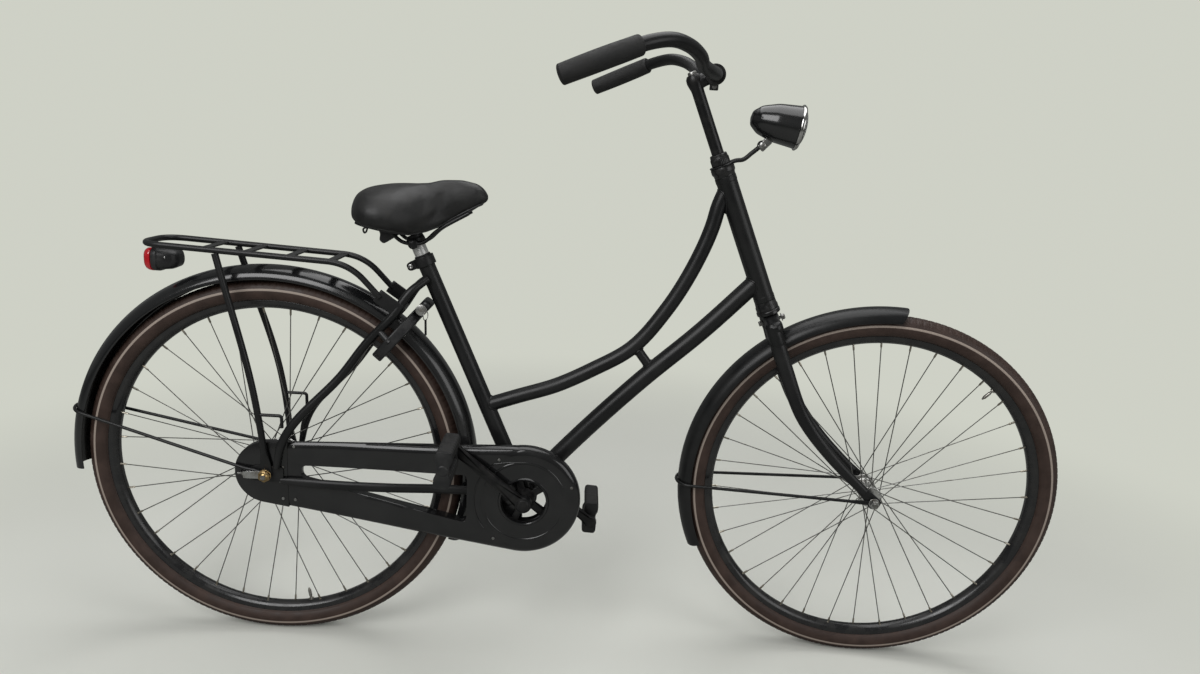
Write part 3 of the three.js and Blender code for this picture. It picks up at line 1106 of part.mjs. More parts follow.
// Saddle: post, frame of clamp and rails, and the padded top.
const RAIL_DIP = 16;
const CLAMP_HALF = 27;
const CLAMP_BLOCK = 16;
const CLAMP_DRUM_RADIUS = 9.3;
const saddlePlanShares = [[0, 0.3], [0.03, 0.56], [0.08, 0.8], [0.16, 0.95], [0.25, 1], [0.36, 0.95],
  [0.46, 0.78], [0.56, 0.53], [0.66, 0.36], [0.76, 0.28], [0.86, 0.24], [0.94, 0.2], [0.985, 0.13],
  [1, 0.06]];
const saddleCrownShares = [[0, 0.37], [0.04, 0.63], [0.12, 0.79], [0.25, 0.89], [0.45, 1], [0.65, 0.93],
  [0.8, 0.73], [0.92, 0.49], [0.98, 0.29], [1, 0.13]];
const saddleBaseShares = [[0, 0.27], [0.12, 0.19], [0.25, 0.11], [0.45, 0], [0.55, 0.08], [0.65, 0.24],
  [0.8, 0.6], [0.92, 0.86], [1, 1]];
const saddleSectionShares = [[0, 1], [0.3, 0.985], [0.58, 0.92], [0.8, 0.79], [0.94, 0.58], [1, 0.36],
  [0.98, 0.2], [0.9, 0.07], [0.74, 0]];
const railShares = [[0.1, 0], [0.22, 0], [0.38, 1], [0.56, 1], [0.72, 0], [0.86, 0]];
const railEndShares = [0.1, 0.86];
const clampShare = 0.45;
const SADDLE_BASE_STAND = 41;
const SADDLE_BASE_RISE = 62;

// A table of place and value read at a place between its rows.
function readShares(rows, place) {
  const next = Math.max(1, rows.findIndex(([at]) => at >= place));
  const [[fromAt, fromValue], [toAt, toValue]] = [rows[next - 1], rows[next]];
  return between(fromValue, toValue, (place - fromAt) / (toAt - fromAt));
}

const saddleX = (share) => SEAT_TUBE_TOP_X - SADDLE_SETBACK + SADDLE_LENGTH * share;
const saddleBase = (share) => SEAT_TUBE_TOP_Z + SADDLE_BASE_STAND
  + SADDLE_BASE_RISE * readShares(saddleBaseShares, share);

function saddleCushion() {
  const right = saddleSectionShares.map(([wide, high]) => new THREE.Vector2(wide, high));
  const left = saddleSectionShares.slice(1).map(([wide, high]) => new THREE.Vector2(-wide, high)).reverse();
  const places = saddlePlanShares.map(([place]) => place);
  return sweep([...right, ...left], places, (point, share) => {
    const half = readShares(saddlePlanShares, share) * SADDLE_WIDTH / 2;
    const height = readShares(saddleCrownShares, share) * SADDLE_HEIGHT;
    return vec(saddleX(share), point.x * half, saddleBase(share) + point.y * height);
  });
}

function saddleRail(side) {
  const under = (share, dip) => vec(saddleX(share), side * SADDLE_RAIL_SPREAD,
    saddleBase(share) - CLEARANCE - SADDLE_RAIL_RADIUS - dip);
  const points = railShares.map(([share, low]) => under(share, low * RAIL_DIP));
  return bentTube(points, SADDLE_RAIL_RADIUS, STAY_STEPS, SMALL_SIDES);
}

function addSaddle(group) {
  const postEnd = POST_LENGTH - POST_INSERTION;
  const post = pipe(0, SEATPOST_RADIUS, -POST_INSERTION, postEnd, seatTop, seatDirection);
  addPiece(group, 'seatpost', post, chrome);
  const clampBore = pipe(0, SEATPOST_RADIUS + CLEARANCE, 0, postEnd + CLEARANCE, seatTop, seatDirection);
  const railX = saddleX(clampShare);
  const railZ = saddleBase(clampShare) - CLEARANCE - SADDLE_RAIL_RADIUS - RAIL_DIP;
  const bodyTop = beyond(seatTop, seatDirection, postEnd + COLLAR_WALL);
  const bodyFoot = beyond(seatTop, seatDirection, postEnd - CLAMP_BLOCK);
  const body = rod(bodyFoot, bodyTop, SEATPOST_RADIUS + COLLAR_WALL);
  const cross = crossRod(railX, railZ, -CLAMP_HALF, CLAMP_HALF, CLAMP_DRUM_RADIUS);
  const ends = railEndShares.map((share) => crossRod(saddleX(share),
      saddleBase(share) - CLEARANCE - SADDLE_RAIL_RADIUS,
    -SADDLE_RAIL_SPREAD, SADDLE_RAIL_SPREAD, SADDLE_RAIL_RADIUS, SMALL_SIDES));
  const frame = join(saddleRail(-1), saddleRail(1), body, cross, ...ends);
  addPiece(group, 'saddle_frame', cut(frame, clampBore, saddleCushion().translate(0, 0, -CLEARANCE)),
      satinBlack);
  addPiece(group, 'saddle_cushion', saddleCushion(), rubber);
}

// Steering assembly, placed from the foot of the steering axis: its own group is turned about that axis.
const CROWN_WIDTH = 2 * BLADE_SPREAD + 2 * BLADE_TOP_RADIUS;
const BLADE_PLATE = 4;
const BLADE_PLATE_WIDTH = 17;
const BLADE_EYE_RADIUS = 11;
const FRONT_NUT_HEIGHT = 8;
const LUG_OVERLAP = 10;
const STEERER_MARGIN = 3;
const bladeShares = [[-0.04, 1], [-0.06, 0.776], [-0.01, 0.529], [0.33, 0.299], [0.62, 0.165], [0.86,
    0.065]];
const rakeDirection = vec(steerAxis.z, 0, -steerAxis.x);
const frontHub = vec(WHEELBASE, 0, 0).sub(steerFoot);
const axisPlace = (ahead, height, y = 0) =>
  columnPoint(height).addScaledVector(rakeDirection, ahead).add(vec(0, y, 0));
const nutBase = headTop + UPPER_CUP_HEIGHT + 2 * CLEARANCE;
const WASHER_THICKNESS = 3;
const steererTop = nutBase + WASHER_THICKNESS + LOCK_NUT_HEIGHT;
const frontEyeFrom = FRONT_DROPOUT_SPACING / 2 + BLADE_PLATE + CLEARANCE;
const frontNutFrom = frontEyeFrom + STRUT_EYE_THICKNESS + CLEARANCE;
const frontBore = FRONT_AXLE_RADIUS + CLEARANCE;
const inSteering = (solid) => solid.translate(frontHub.x, 0, frontHub.z);

function forkBlade(side) {
  const path = new THREE.CatmullRomCurve3(
    bladeShares.map(([ahead, up]) => axisPlace(ahead * FORK_RAKE, up * FORK_LENGTH, side * BLADE_SPREAD)),
    false, 'centripetal');
  return sweep(circle(1, OVAL_SIDES), steps(bladeShares.length), (point, share) => {
    const radius = between(BLADE_TOP_RADIUS, BLADE_TIP_RADIUS, share);
    const along = path.getTangent(share);
    const ahead = vec(along.z, 0, -along.x);
    return path.getPoint(share).addScaledVector(ahead, radius * point.x).add(vec(0, radius * point.y, 0));
  });
}

function addFork(group) {
  const turn = radians(HEAD_ANGLE - 90);
  const crown = block(axisPlace(0, FORK_LENGTH), CROWN_DEPTH, CROWN_WIDTH, CROWN_HEIGHT, turn);
  const steerer = pipe(0, STEERER_RADIUS, FORK_LENGTH, steererTop - STEERER_MARGIN, vec(0, 0, 0), steerAxis);
  const bore = rod(columnPoint(steererTop - STEM_INSERTION - STEERER_MARGIN),
      columnPoint(steererTop + OVERRUN),
    STEERER_BORE, STEERER_BORE, FINE_SIDES);
  const [tipAhead, tipUp] = bladeShares[bladeShares.length - 1];
  const half = BLADE_PLATE / 2;
  const ends = [-1, 1].flatMap((side) => {
    const y = side * (FRONT_DROPOUT_SPACING / 2 + half);
    const tip = axisPlace(tipAhead * FORK_RAKE, tipUp * FORK_LENGTH, y);
    const hub = frontHub.clone().setY(y);
    const lean = Math.atan2(tip.z - hub.z, hub.x - tip.x);
    const tongue = block(tip.clone().lerp(hub, 0.5), tip.distanceTo(hub) + BLADE_PLATE_WIDTH / 2,
      BLADE_PLATE,
      BLADE_PLATE_WIDTH, lean);
    const round = bushing(0, BLADE_EYE_RADIUS, y - half, y + half);
    return [tongue, inSteering(round)];
  });
  const axleHole = inSteering(crossRod(0, 0, -CROWN_WIDTH, CROWN_WIDTH, frontBore));
  addPiece(group, 'fork', cut(join(crown, steerer, forkBlade(-1), forkBlade(1), ...ends), bore, axleHole),
    satinBlack);
}

function addFrontAxle(group) {
  const end = frontNutFrom + FRONT_NUT_HEIGHT + BLADE_PLATE;
  const hubEnd = FRONT_HUB_WIDTH / 2 + CLEARANCE;
  const nut = (side) => bushing(0, NUT_RADIUS,
    side < 0 ? -frontNutFrom - FRONT_NUT_HEIGHT : frontNutFrom,
    side < 0 ? -frontNutFrom : frontNutFrom + FRONT_NUT_HEIGHT, SMALL_SIDES);
  const cones = [-1, 1].map((side) => {
    const span = [side * hubEnd, side * (FRONT_DROPOUT_SPACING / 2 - CLEARANCE)].sort((a, b) => a - b);
    return bushing(0, CONE_RADIUS, ...span);
  });
  const bar = crossRod(0, 0, -end, end, FRONT_AXLE_RADIUS);
  addPiece(group, 'front_axle', inSteering(join(bar, nut(1), ...cones)), steel);
  addPiece(group, 'front_axle_nut', inSteering(cut(nut(-1), crossRod(0, 0, -2 * end, 0, frontBore))), steel);
}

// The front fender carries a block that meets the underside of the fork's crown.
function addFrontFender(group) {
  const blade = inSteering(fender(FRONT_FENDER_RADIUS, FRONT_FENDER_ANGLES, FRONT_FENDER_STEPS));
  const under = axisPlace(0, FORK_LENGTH - CROWN_HEIGHT / 2 - CLEARANCE);
  const down = frontHub.clone().sub(under).normalize();
  const gap = under.distanceTo(frontHub) - FRONT_FENDER_RADIUS + FENDER_THICKNESS;
  const turn = radians(HEAD_ANGLE - 90);
  const lug = block(beyond(under, down, gap / 2), CROWN_DEPTH / 2, CROWN_DEPTH, gap + LUG_OVERLAP, turn);
  const crownTool = block(axisPlace(0, FORK_LENGTH), 2 * CROWN_DEPTH, CROWN_WIDTH,
    CROWN_HEIGHT + 2 * CLEARANCE, turn);
  const insideTool = inSteering(turned([[0, -FENDER_WIDTH], [FRONT_FENDER_RADIUS - FENDER_THICKNESS,
      -FENDER_WIDTH],
    [FRONT_FENDER_RADIUS - FENDER_THICKNESS, FENDER_WIDTH], [0, FENDER_WIDTH]], WHEEL_STEPS));
  addPiece(group, 'front_fender', join(blade, cut(lug, crownTool, insideTool)), glossBlack);
  addPiece(group, 'front_fender_stay',
    inSteering(fenderStay(FRONT_FENDER_RADIUS, FRONT_STAY_ANGLE, frontEyeFrom, frontBore)), satinBlack);
}

// Stem and handlebar, in their own group that slides along the steering axis.
const barShares = [[0, 0, 0], [0, 0.135, 0], [-0.052, 0.286, 0.057], [-0.112, 0.421, 0.229], [-0.146,
    0.556, 0.543],
  [-0.223, 0.673, 0.857], [-0.335, 0.778, 1], [-0.476, 0.862, 0.8], [-0.639, 0.923, 0.343], [-0.815, 0.97,
      -0.171],
  [-1, 1, -0.714]];
const stemTop = steererTop + STEM_RISE;
const clampPlace = () => axisPlace(STEM_REACH, stemTop);

function barCurve() {
  const side = (sign) => barShares.map(([back, out, up]) => clampPlace().add(
    vec(back * BAR_SWEEP, sign * out * BAR_HALF_WIDTH, up * BAR_RISE)));
  return new THREE.CatmullRomCurve3([...side(-1).reverse(), ...side(1).slice(1)], false, 'centripetal');
}

// A stretch of the bar's own curve, as a tube of any radius.
function barTube(from, to, radius, count, sides = BAR_SIDES) {
  const curve = barCurve();
  const points = steps(count).map((share) => curve.getPointAt(between(from, to, share)));
  return bentTube(points, radius, count, sides);
}

const gripShare = () => GRIP_LENGTH / barCurve().getLength();

// A grip over the bar's end: its cap reaches past the bar and ends flat.
function grip(side) {
  const share = gripShare();
  const curve = barCurve();
  const end = side < 0 ? 0 : 1;
  const away = curve.getTangentAt(end).multiplyScalar(side);
  const points = steps(GRIP_STEPS).map((place) => curve.getPointAt(Math.abs(end - share * place)));
  const tip = curve.getPointAt(end);
  const body = bentTube([beyond(tip, away, GRIP_CAP), ...points], GRIP_RADIUS, GRIP_STEPS + 2, BAR_SIDES);
  const bore = barTube(0, 1, BAR_RADIUS + CLEARANCE, BAR_STEPS);
  const socket = rod(beyond(tip, away, -CLEARANCE), beyond(tip, away, CLEARANCE), BAR_RADIUS + CLEARANCE);
  return cut(body, bore, socket);
}

function addHandlebar(group) {
  const quill = rod(columnPoint(steererTop - STEM_INSERTION), columnPoint(stemTop), STEM_RADIUS);
  const knuckle = toSolid(new THREE.SphereGeometry(STEM_RADIUS, ROUND_SIDES, ROUND_SIDES / 2)
    .translate(...columnPoint(stemTop).toArray()));
  const arm = rod(columnPoint(stemTop), clampPlace(), STEM_RADIUS);
  const at = clampPlace();
  const clamp = crossRod(at.x, at.z, -CLAMP_WIDTH / 2, CLAMP_WIDTH / 2, CLAMP_RADIUS);
  const bore = barTube(0, 1, BAR_RADIUS + CLEARANCE, BAR_STEPS);
  addPiece(group, 'stem', cut(join(quill, knuckle, arm, clamp), bore), satinBlack);
  addPiece(group, 'handlebar', barTube(0, 1, BAR_RADIUS, BAR_STEPS), satinBlack);
  addPiece(group, 'grip_right', grip(-1), rubber);
  addPiece(group, 'grip_left', grip(1), rubber);
}

// Lock nut, lamp bracket and headlamp.
const BRACKET_ARM_RADIUS = 4;
const LAMP_EYE_RADIUS = 8;
const LAMP_EYE_WIDTH = 8;
const LAMP_RIM_WIDTH = 7;
const LAMP_LENS_DEPTH = 12;
const lampPivot = axisPlace(LAMP_PIVOT_AHEAD, nutBase + LAMP_PIVOT_STAND);
const lampShares = [[0, 0], [0.34, 0.03], [0.66, 0.2], [0.9, 0.54], [1, 1]];
const lampBackShare = 0.04;
const bracketArmShares = [[0.3, -0.1], [0.65, -0.06]];

function addHeadsetTop(group) {
  const base = nutBase + WASHER_THICKNESS;
  const nut = pipe(STEERER_RADIUS + CLEARANCE, LOCK_NUT_RADIUS, base, steererTop - CLEARANCE, vec(0, 0,
      0), steerAxis);
  addPiece(group, 'headset_lock_nut', nut, satinBlack);
  const washer = pipe(0, CUP_RADIUS, nutBase, base - CLEARANCE, vec(0, 0, 0), steerAxis);
  const root = axisPlace(CUP_RADIUS - BRACKET_ARM_RADIUS, nutBase + WASHER_THICKNESS / 2);
  const arm = bentTube([root, ...alongChord(root, lampPivot, bracketArmShares), lampPivot],
      BRACKET_ARM_RADIUS,
    HOOP_STEPS, SMALL_SIDES);
  const tool = pipe(0, STEERER_RADIUS + CLEARANCE, nutBase - OVERRUN, steererTop, vec(0, 0, 0), steerAxis);
  const nutTool = pipe(0, LOCK_NUT_RADIUS + CLEARANCE, base - CLEARANCE, steererTop, vec(0, 0, 0),
      steerAxis);
  const cupTool = pipe(0, CUP_RADIUS + OVERRUN, nutBase - OVERRUN, nutBase, vec(0, 0, 0), steerAxis);
  const half = LAMP_EYE_WIDTH / 2;
  const eye = crossRod(lampPivot.x, lampPivot.z, -half, half, LAMP_EYE_RADIUS);
  const hole = crossRod(lampPivot.x, lampPivot.z, -LAMP_RADIUS, LAMP_RADIUS, LAMP_BOLT_RADIUS + CLEARANCE);
  addPiece(group, 'lamp_bracket', cut(join(washer, arm, eye), tool, nutTool, cupTool, hole), satinBlack);
}

// Headlamp: a bowl that tapers to the back, a chrome rim in front of it, and a lens in the rim.
function addHeadlamp(group) {
  const front = axisPlace(LAMP_AHEAD, nutBase + LAMP_STAND);
  const direction = vec(Math.cos(radians(LAMP_ANGLE)), 0, Math.sin(radians(LAMP_ANGLE)));
  const outside = lampShares.map(([wide, back]) => [LAMP_RADIUS * wide, LAMP_LENGTH * (back - 1)]);
  const inside = lampShares.map(([wide, back]) => [
    Math.max(0, LAMP_RADIUS * wide - LAMP_WALL), LAMP_LENGTH * (between(lampBackShare, 1,
      back) - 1)]).reverse();
  const bowl = spun([...outside, ...inside], front, direction);
  const half = LAMP_EYE_WIDTH / 2;
  const forkWidth = half + CLEARANCE;
  const cheeks = [-1, 1].map((side) => {
    const y = side * (forkWidth + LAMP_WALL);
    const foot = lampPivot.clone().setY(y);
    const head = beyond(front, direction, -LAMP_LENGTH / 2).setY(y);
    const middle = foot.clone().lerp(head, 0.5);
    const lean = Math.atan2(foot.z - head.z, head.x - foot.x);
    const cheek = block(middle, foot.distanceTo(head), 2 * LAMP_WALL, 2 * LAMP_EYE_RADIUS - LAMP_WALL, lean);
    const round = crossRod(lampPivot.x, lampPivot.z, y - LAMP_WALL, y + LAMP_WALL, LAMP_EYE_RADIUS);
    return join(cheek, round);
  });
  const cavity = spun([[0, (lampBackShare - 1) * LAMP_LENGTH], ...outside.slice(1).map(([radius, at]) => [
    radius - LAMP_WALL / 2, at + LAMP_WALL / 2]), [0, 0]], front, direction);
  const bolt = crossRod(lampPivot.x, lampPivot.z, -forkWidth - 2 * LAMP_WALL, forkWidth + 2 * LAMP_WALL,
    LAMP_BOLT_RADIUS);
  addPiece(group, 'lamp_shell', join(bowl, bolt, ...cheeks.map((cheek) => cut(cheek, cavity))), glossBlack);
  const rimOuter = LAMP_RADIUS + LAMP_WALL;
  const lensRadius = LAMP_RADIUS - 2 * LAMP_WALL;
  addPiece(group, 'lamp_rim', spun([[lensRadius, CLEARANCE], [rimOuter, CLEARANCE],
    [rimOuter, LAMP_RIM_WIDTH], [lensRadius, LAMP_RIM_WIDTH + LAMP_WALL], [lensRadius, CLEARANCE]],
  front, direction), chrome);
  const lens = steps(LENS_STEPS).map((share) => [(lensRadius - CLEARANCE) * Math.cos(share * Math.PI / 2),
    LAMP_RIM_WIDTH / 2 + LAMP_LENS_DEPTH * Math.sin(share * Math.PI / 2)]);
  addPiece(group, 'lamp_lens', spun([[0, CLEARANCE], [lensRadius - CLEARANCE, CLEARANCE], ...lens], front,
      direction),
    clearLens);
}

function frontWheel() {
  const group = new THREE.Group();
  addWheel(group, 'front', FRONT_VALVE_ANGLE,
    lacedHub(frontBore, FRONT_SHELL_RADIUS, FRONT_FLANGE_RADIUS, FRONT_HUB_WIDTH, FRONT_SPOKE_ANGLE));
  group.position.copy(frontHub);
  return group;
}

function steeringAssembly() {
  const group = new THREE.Group();
  addFork(group);
  addFrontAxle(group);
  addFrontFender(group);
  addHeadsetTop(group);
  addHandlebar(group);
  addHeadlamp(group);
  group.add(frontWheel());
  group.position.copy(steerFoot);
  group.quaternion.setFromAxisAngle(steerAxis, radians(STEER_ANGLE));
  return group;
}

function rearWheel() {
  const group = new THREE.Group();
  addWheel(group, 'rear', REAR_VALVE_ANGLE,
    lacedHub(axleBore, REAR_SHELL_RADIUS, REAR_FLANGE_RADIUS, REAR_HUB_WIDTH, REAR_SPOKE_ANGLE));
  addSprocket(group);
  return group;
}

function frameAssembly() {
  const group = new THREE.Group();
  addMainTubes(group);
  addHeadsetCups(group);
  addChainStays(group);
  addSeatStays(group);
  addRearAxle(group);
  addBrakeArm(group);
  addTensioner(group);
  addChain(group);
  addChainCase(group);
  addCartridge(group);
  addRearFender(group);
  addCarrier(group);
  addStruts(group);
  addTailLamp(group);
  addRingLock(group);
  addShackle(group);
  addSeatClamp(group);
  addSaddle(group);
  return group;
}

function pedalDrive() {
  const group = new THREE.Group();
  addCranks(group);
  addPedal(group, 'right', -1);
  addPedal(group, 'left', 1);
  return group;
}

const bicycle = new THREE.Group();
bicycle.add(frameAssembly(), rearWheel(), pedalDrive(), steeringAssembly());
const part = new THREE.Group();
part.add(bicycle);
part.updateMatrixWorld(true);
const bounds = new THREE.Box3().setFromObject(part, true);
const middle = bounds.getCenter(vec(0, 0, 0));
bicycle.position.set(-middle.x, -middle.y, -bounds.min.z);

export default part;
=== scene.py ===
"""Step-through city bicycle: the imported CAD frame, dressed with its visible pieces and materials."""
import json
import math

import bmesh
import bpy
import numpy as np
from mathutils import Matrix, Vector


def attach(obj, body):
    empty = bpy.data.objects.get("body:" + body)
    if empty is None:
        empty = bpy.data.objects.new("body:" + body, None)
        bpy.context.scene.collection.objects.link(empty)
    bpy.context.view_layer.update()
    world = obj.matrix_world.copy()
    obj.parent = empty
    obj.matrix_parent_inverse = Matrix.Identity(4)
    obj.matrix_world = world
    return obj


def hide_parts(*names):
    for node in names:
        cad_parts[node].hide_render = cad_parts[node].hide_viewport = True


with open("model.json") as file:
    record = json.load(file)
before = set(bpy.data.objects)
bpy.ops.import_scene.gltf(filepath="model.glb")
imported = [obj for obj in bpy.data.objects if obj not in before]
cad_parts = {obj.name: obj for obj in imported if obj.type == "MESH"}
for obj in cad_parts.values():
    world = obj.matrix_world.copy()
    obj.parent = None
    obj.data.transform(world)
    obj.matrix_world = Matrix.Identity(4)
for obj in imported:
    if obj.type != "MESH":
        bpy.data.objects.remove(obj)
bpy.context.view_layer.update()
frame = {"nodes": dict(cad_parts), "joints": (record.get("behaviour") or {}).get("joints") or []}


# Camera: it stands by the bicycle's right side at chest height and looks slightly down, with the
# horizon tilted by a few degrees.
CAMERA_PLACE = (0.0011, -1.4975, 0.9910)
CAMERA_LENS = 24.326
CAMERA_YAW, CAMERA_PITCH, CAMERA_ROLL = (math.radians(a) for a in (-1.7086, 13.5212, 3.4583))

camera_data = bpy.data.cameras.new("camera")
camera_data.sensor_width = 36
camera_data.lens = CAMERA_LENS
camera = bpy.data.objects.new("camera", camera_data)
bpy.context.scene.collection.objects.link(camera)
looking = (Matrix.Rotation(CAMERA_YAW, 4, "Z") @ Matrix.Rotation(math.pi / 2 - CAMERA_PITCH, 4, "X")
           @ Matrix.Rotation(CAMERA_ROLL, 4, "Z"))
camera.matrix_world = Matrix.Translation(CAMERA_PLACE) @ looking
bpy.context.scene.camera = camera


# Light: a broad window-like panel high at the front left, a soft top panel and a weak fill from the right,
# inside an even pale room.
ROOM_SEEN, ROOM_LIGHT, ROOM_STRENGTH = (0.62, 0.635, 0.565, 1), (0.80, 0.82, 0.80, 1), 0.2
LIGHTS = {
    "key_panel": ((-1.6, -2.6, 2.6), (0, 0, 0.5), 2.2, 66),
    "top_panel": ((0.2, 0.3, 3.0), (0, 0, 0.5), 2.6, 44),
    "fill_panel": ((2.6, -1.8, 1.4), (0.2, 0, 0.5), 1.8, 16),
}


def put(tree, kind, values=None, **settings):
    """A node with its settings and its unlinked inputs' values."""
    node = tree.nodes.new(kind)
    for key, value in settings.items():
        setattr(node, key, value)
    for socket, value in (values or {}).items():
        node.inputs[socket].default_value = value
    return node


def join(tree, *links):
    """Links sockets, each link given as (node, output, node, input)."""
    for source, given, target, taken in links:
        tree.links.new(source.outputs[given], target.inputs[taken])


for name, (place, target, size, power) in LIGHTS.items():
    panel = bpy.data.lights.new(name, "AREA")
    panel.size, panel.energy = size, power
    lamp = bpy.data.objects.new(name, panel)
    bpy.context.scene.collection.objects.link(lamp)
    lamp.location = place
    lamp.rotation_euler = (Vector(target) - Vector(place)).to_track_quat("-Z", "Y").to_euler()

room = bpy.data.worlds.new("room")
bpy.context.scene.world = room
room.use_nodes = True
room.node_tree.nodes.clear()
rays, mixed, output = (put(room.node_tree, kind) for kind in (
    "ShaderNodeLightPath", "ShaderNodeMixShader", "ShaderNodeOutputWorld"))
seen = put(room.node_tree, "ShaderNodeBackground", {"Color": ROOM_SEEN})
light = put(room.node_tree, "ShaderNodeBackground", {"Color": ROOM_LIGHT, "Strength": ROOM_STRENGTH})
join(room.node_tree, (rays, "Is Camera Ray", mixed, "Fac"), (light, "Background", mixed, 1),
     (seen, "Background", mixed, 2), (mixed, "Shader", output, "Surface"))
bpy.context.scene.view_settings.view_transform = "Standard"


# Floor: pale stone-coloured screed, smooth enough to take a soft shadow, with a faint cloudy tone. Only to
# the camera does it look that pale, and it fades into the room's own tone a few steps away.
FLOOR_REACH, FADE_START, FADE_END = 14, 0.95, 2.3
SCREED_DARK, SCREED_PALE, SCREED_LIT = (0.76, 0.77, 0.71, 1), (0.84, 0.85, 0.79, 1), (0.30, 0.305, 0.29, 1)

floor_mesh = bpy.data.meshes.new("floor")
corner = np.array([(-1, -1, 0), (1, -1, 0), (1, 1, 0), (-1, 1, 0)]) * FLOOR_REACH
floor_mesh.from_pydata(corner.tolist(), [], [(0, 1, 2, 3)])
floor = bpy.data.objects.new("floor", floor_mesh)
bpy.context.scene.collection.objects.link(floor)
screed = bpy.data.materials.new("screed")
screed.use_nodes = True
tree = screed.node_tree
matt = tree.nodes["Principled BSDF"]
matt.inputs["Roughness"].default_value = 0.75
place, seen = put(tree, "ShaderNodeTexCoord"), put(tree, "ShaderNodeLightPath")
cloud = put(tree, "ShaderNodeTexNoise", {"Scale": 1.7})
tone = put(tree, "ShaderNodeMix", {6: SCREED_DARK, 7: SCREED_PALE}, data_type="RGBA")
shown = put(tree, "ShaderNodeMix", {6: SCREED_LIT}, data_type="RGBA")
distance = put(tree, "ShaderNodeVectorMath", operation="LENGTH")
fade = put(tree, "ShaderNodeMapRange", {"From Min": FADE_START, "From Max": FADE_END},
           interpolation_type="SMOOTHSTEP")
only_seen = put(tree, "ShaderNodeMath", operation="MULTIPLY")
haze, joined = put(tree, "ShaderNodeEmission", {"Color": ROOM_SEEN}), put(tree, "ShaderNodeMixShader")
join(tree, (place, "Object", cloud, "Vector"), (cloud, "Fac", tone, 0), (seen, "Is Camera Ray", shown, 0),
     (tone, 2, shown, 7), (shown, 2, matt, "Base Color"), (place, "Object", distance, 0),
     (distance, "Value", fade, "Value"), (fade, "Result", only_seen, 0), (seen, "Is Camera Ray", only_seen, 1),
     (only_seen, "Value", joined, "Fac"), (matt, "BSDF", joined, 1), (haze, "Emission", joined, 2),
     (joined, "Shader", tree.nodes["Material Output"], "Surface"))
floor_mesh.materials.append(screed)


# Tyres: brown rubber on a black casing, 44 mm wide, with a fine cross-cut tread between two ribs and a
# pale reflecting band moulded into each side wall. They sit in the rims' wells.
TYRE_RADIUS, TYRE_WIDTH, RIM_EDGE = 356, 44, 319
STRIPE_RADIUS, STRIPE_WIDTH = 338, 4.2
REST_TURN = math.radians(-5.57)
joints = {joint["name"]: joint for joint in frame["joints"]}


def joint_line(name):
    """(place in metres, unit direction) of a joint's axis at rest."""
    direction = np.array(joints[name]["axis"], float)
    return np.array(joints[name]["pos_m"], float), direction / np.linalg.norm(direction)


def turn_about(direction, angle):
    """Rotation matrix R = I + sin(a) K + (1 - cos(a)) K K, with K the cross product by the direction."""
    x, y, z = direction
    cross = np.array([[0, -z, y], [z, 0, -x], [-y, x, 0]])
    return np.eye(3) + math.sin(angle) * cross + (1 - math.cos(angle)) * cross @ cross


rear_hub = joint_line("rear_wheel_spin")[0]
steer_foot, steer_up = joint_line("steering_turn")
steer_turn = turn_about(steer_up, REST_TURN)


def on_frame(points):
    """Millimetres from the rear hub, as metres from the scene's origin."""
    return np.asarray(points, float) / 1000 + rear_hub


def on_steering(points):
    """Millimetres from the steering axis's foot with the wheel ahead, as metres with its rest turn."""
    return np.asarray(points, float) / 1000 @ steer_turn.T + steer_foot


def shell(points, closed_path, lips):
    """Corners, faces and per-corner UV of a closed skin over one grid. Corner (i, j) joins (i + 1, j) and
    (i, j + 1), columns close round the section, and an open path without lips is capped from its end
    rings' middles."""
    rows, columns = points.shape[:2]
    i, j = np.meshgrid(np.arange(rows if closed_path else rows - 1), np.arange(columns), indexing="ij")
    step_i = np.stack([i, i, i + 1, i + 1], -1).reshape(-1, 4)
    step_j = np.stack([j, j + 1, j + 1, j], -1).reshape(-1, 4)
    quads = (step_i % rows) * columns + step_j % columns
    along = np.r_[0, np.cumsum(np.linalg.norm(np.roll(points, -1, 0) - points, axis=2).mean(1))]
    around = np.r_[0, np.cumsum(np.linalg.norm(np.roll(points, -1, 1) - points, axis=2).mean(0))]
    uv = np.stack([along[step_i], around[step_j]], -1).reshape(-1, 2)
    places, caps = points.reshape(-1, 3), np.zeros((0, 3), int)
    if not closed_path and not lips:
        ring, last = np.arange(columns), (rows - 1) * columns
        following = (ring + 1) % columns
        first_cap = np.stack([np.full(columns, len(places)), following, ring], -1)
        last_cap = np.stack([np.full(columns, len(places) + 1), last + ring, last + following], -1)
        caps = np.concatenate([first_cap, last_cap])
        places = np.concatenate([places, points[[0, -1]].mean(1)])
        uv = np.concatenate([uv, np.zeros((caps.size, 2))])
    middle = places.mean(0)
    q, t = places[quads] - middle, places[caps] - middle
    volume = (np.sum(q[:, 0] * np.cross(q[:, 1], q[:, 2])) + np.sum(q[:, 0] * np.cross(q[:, 2], q[:, 3]))
              + np.sum(t[:, 0] * np.cross(t[:, 1], t[:, 2])))
    if volume < 0:
        quads, caps = quads[:, ::-1], caps[:, ::-1]
        first = uv[:quads.size].reshape(-1, 4, 2)[:, ::-1].reshape(-1, 2)
        uv = np.concatenate([first, uv[quads.size:]])
    return places, quads.tolist() + caps.tolist(), uv


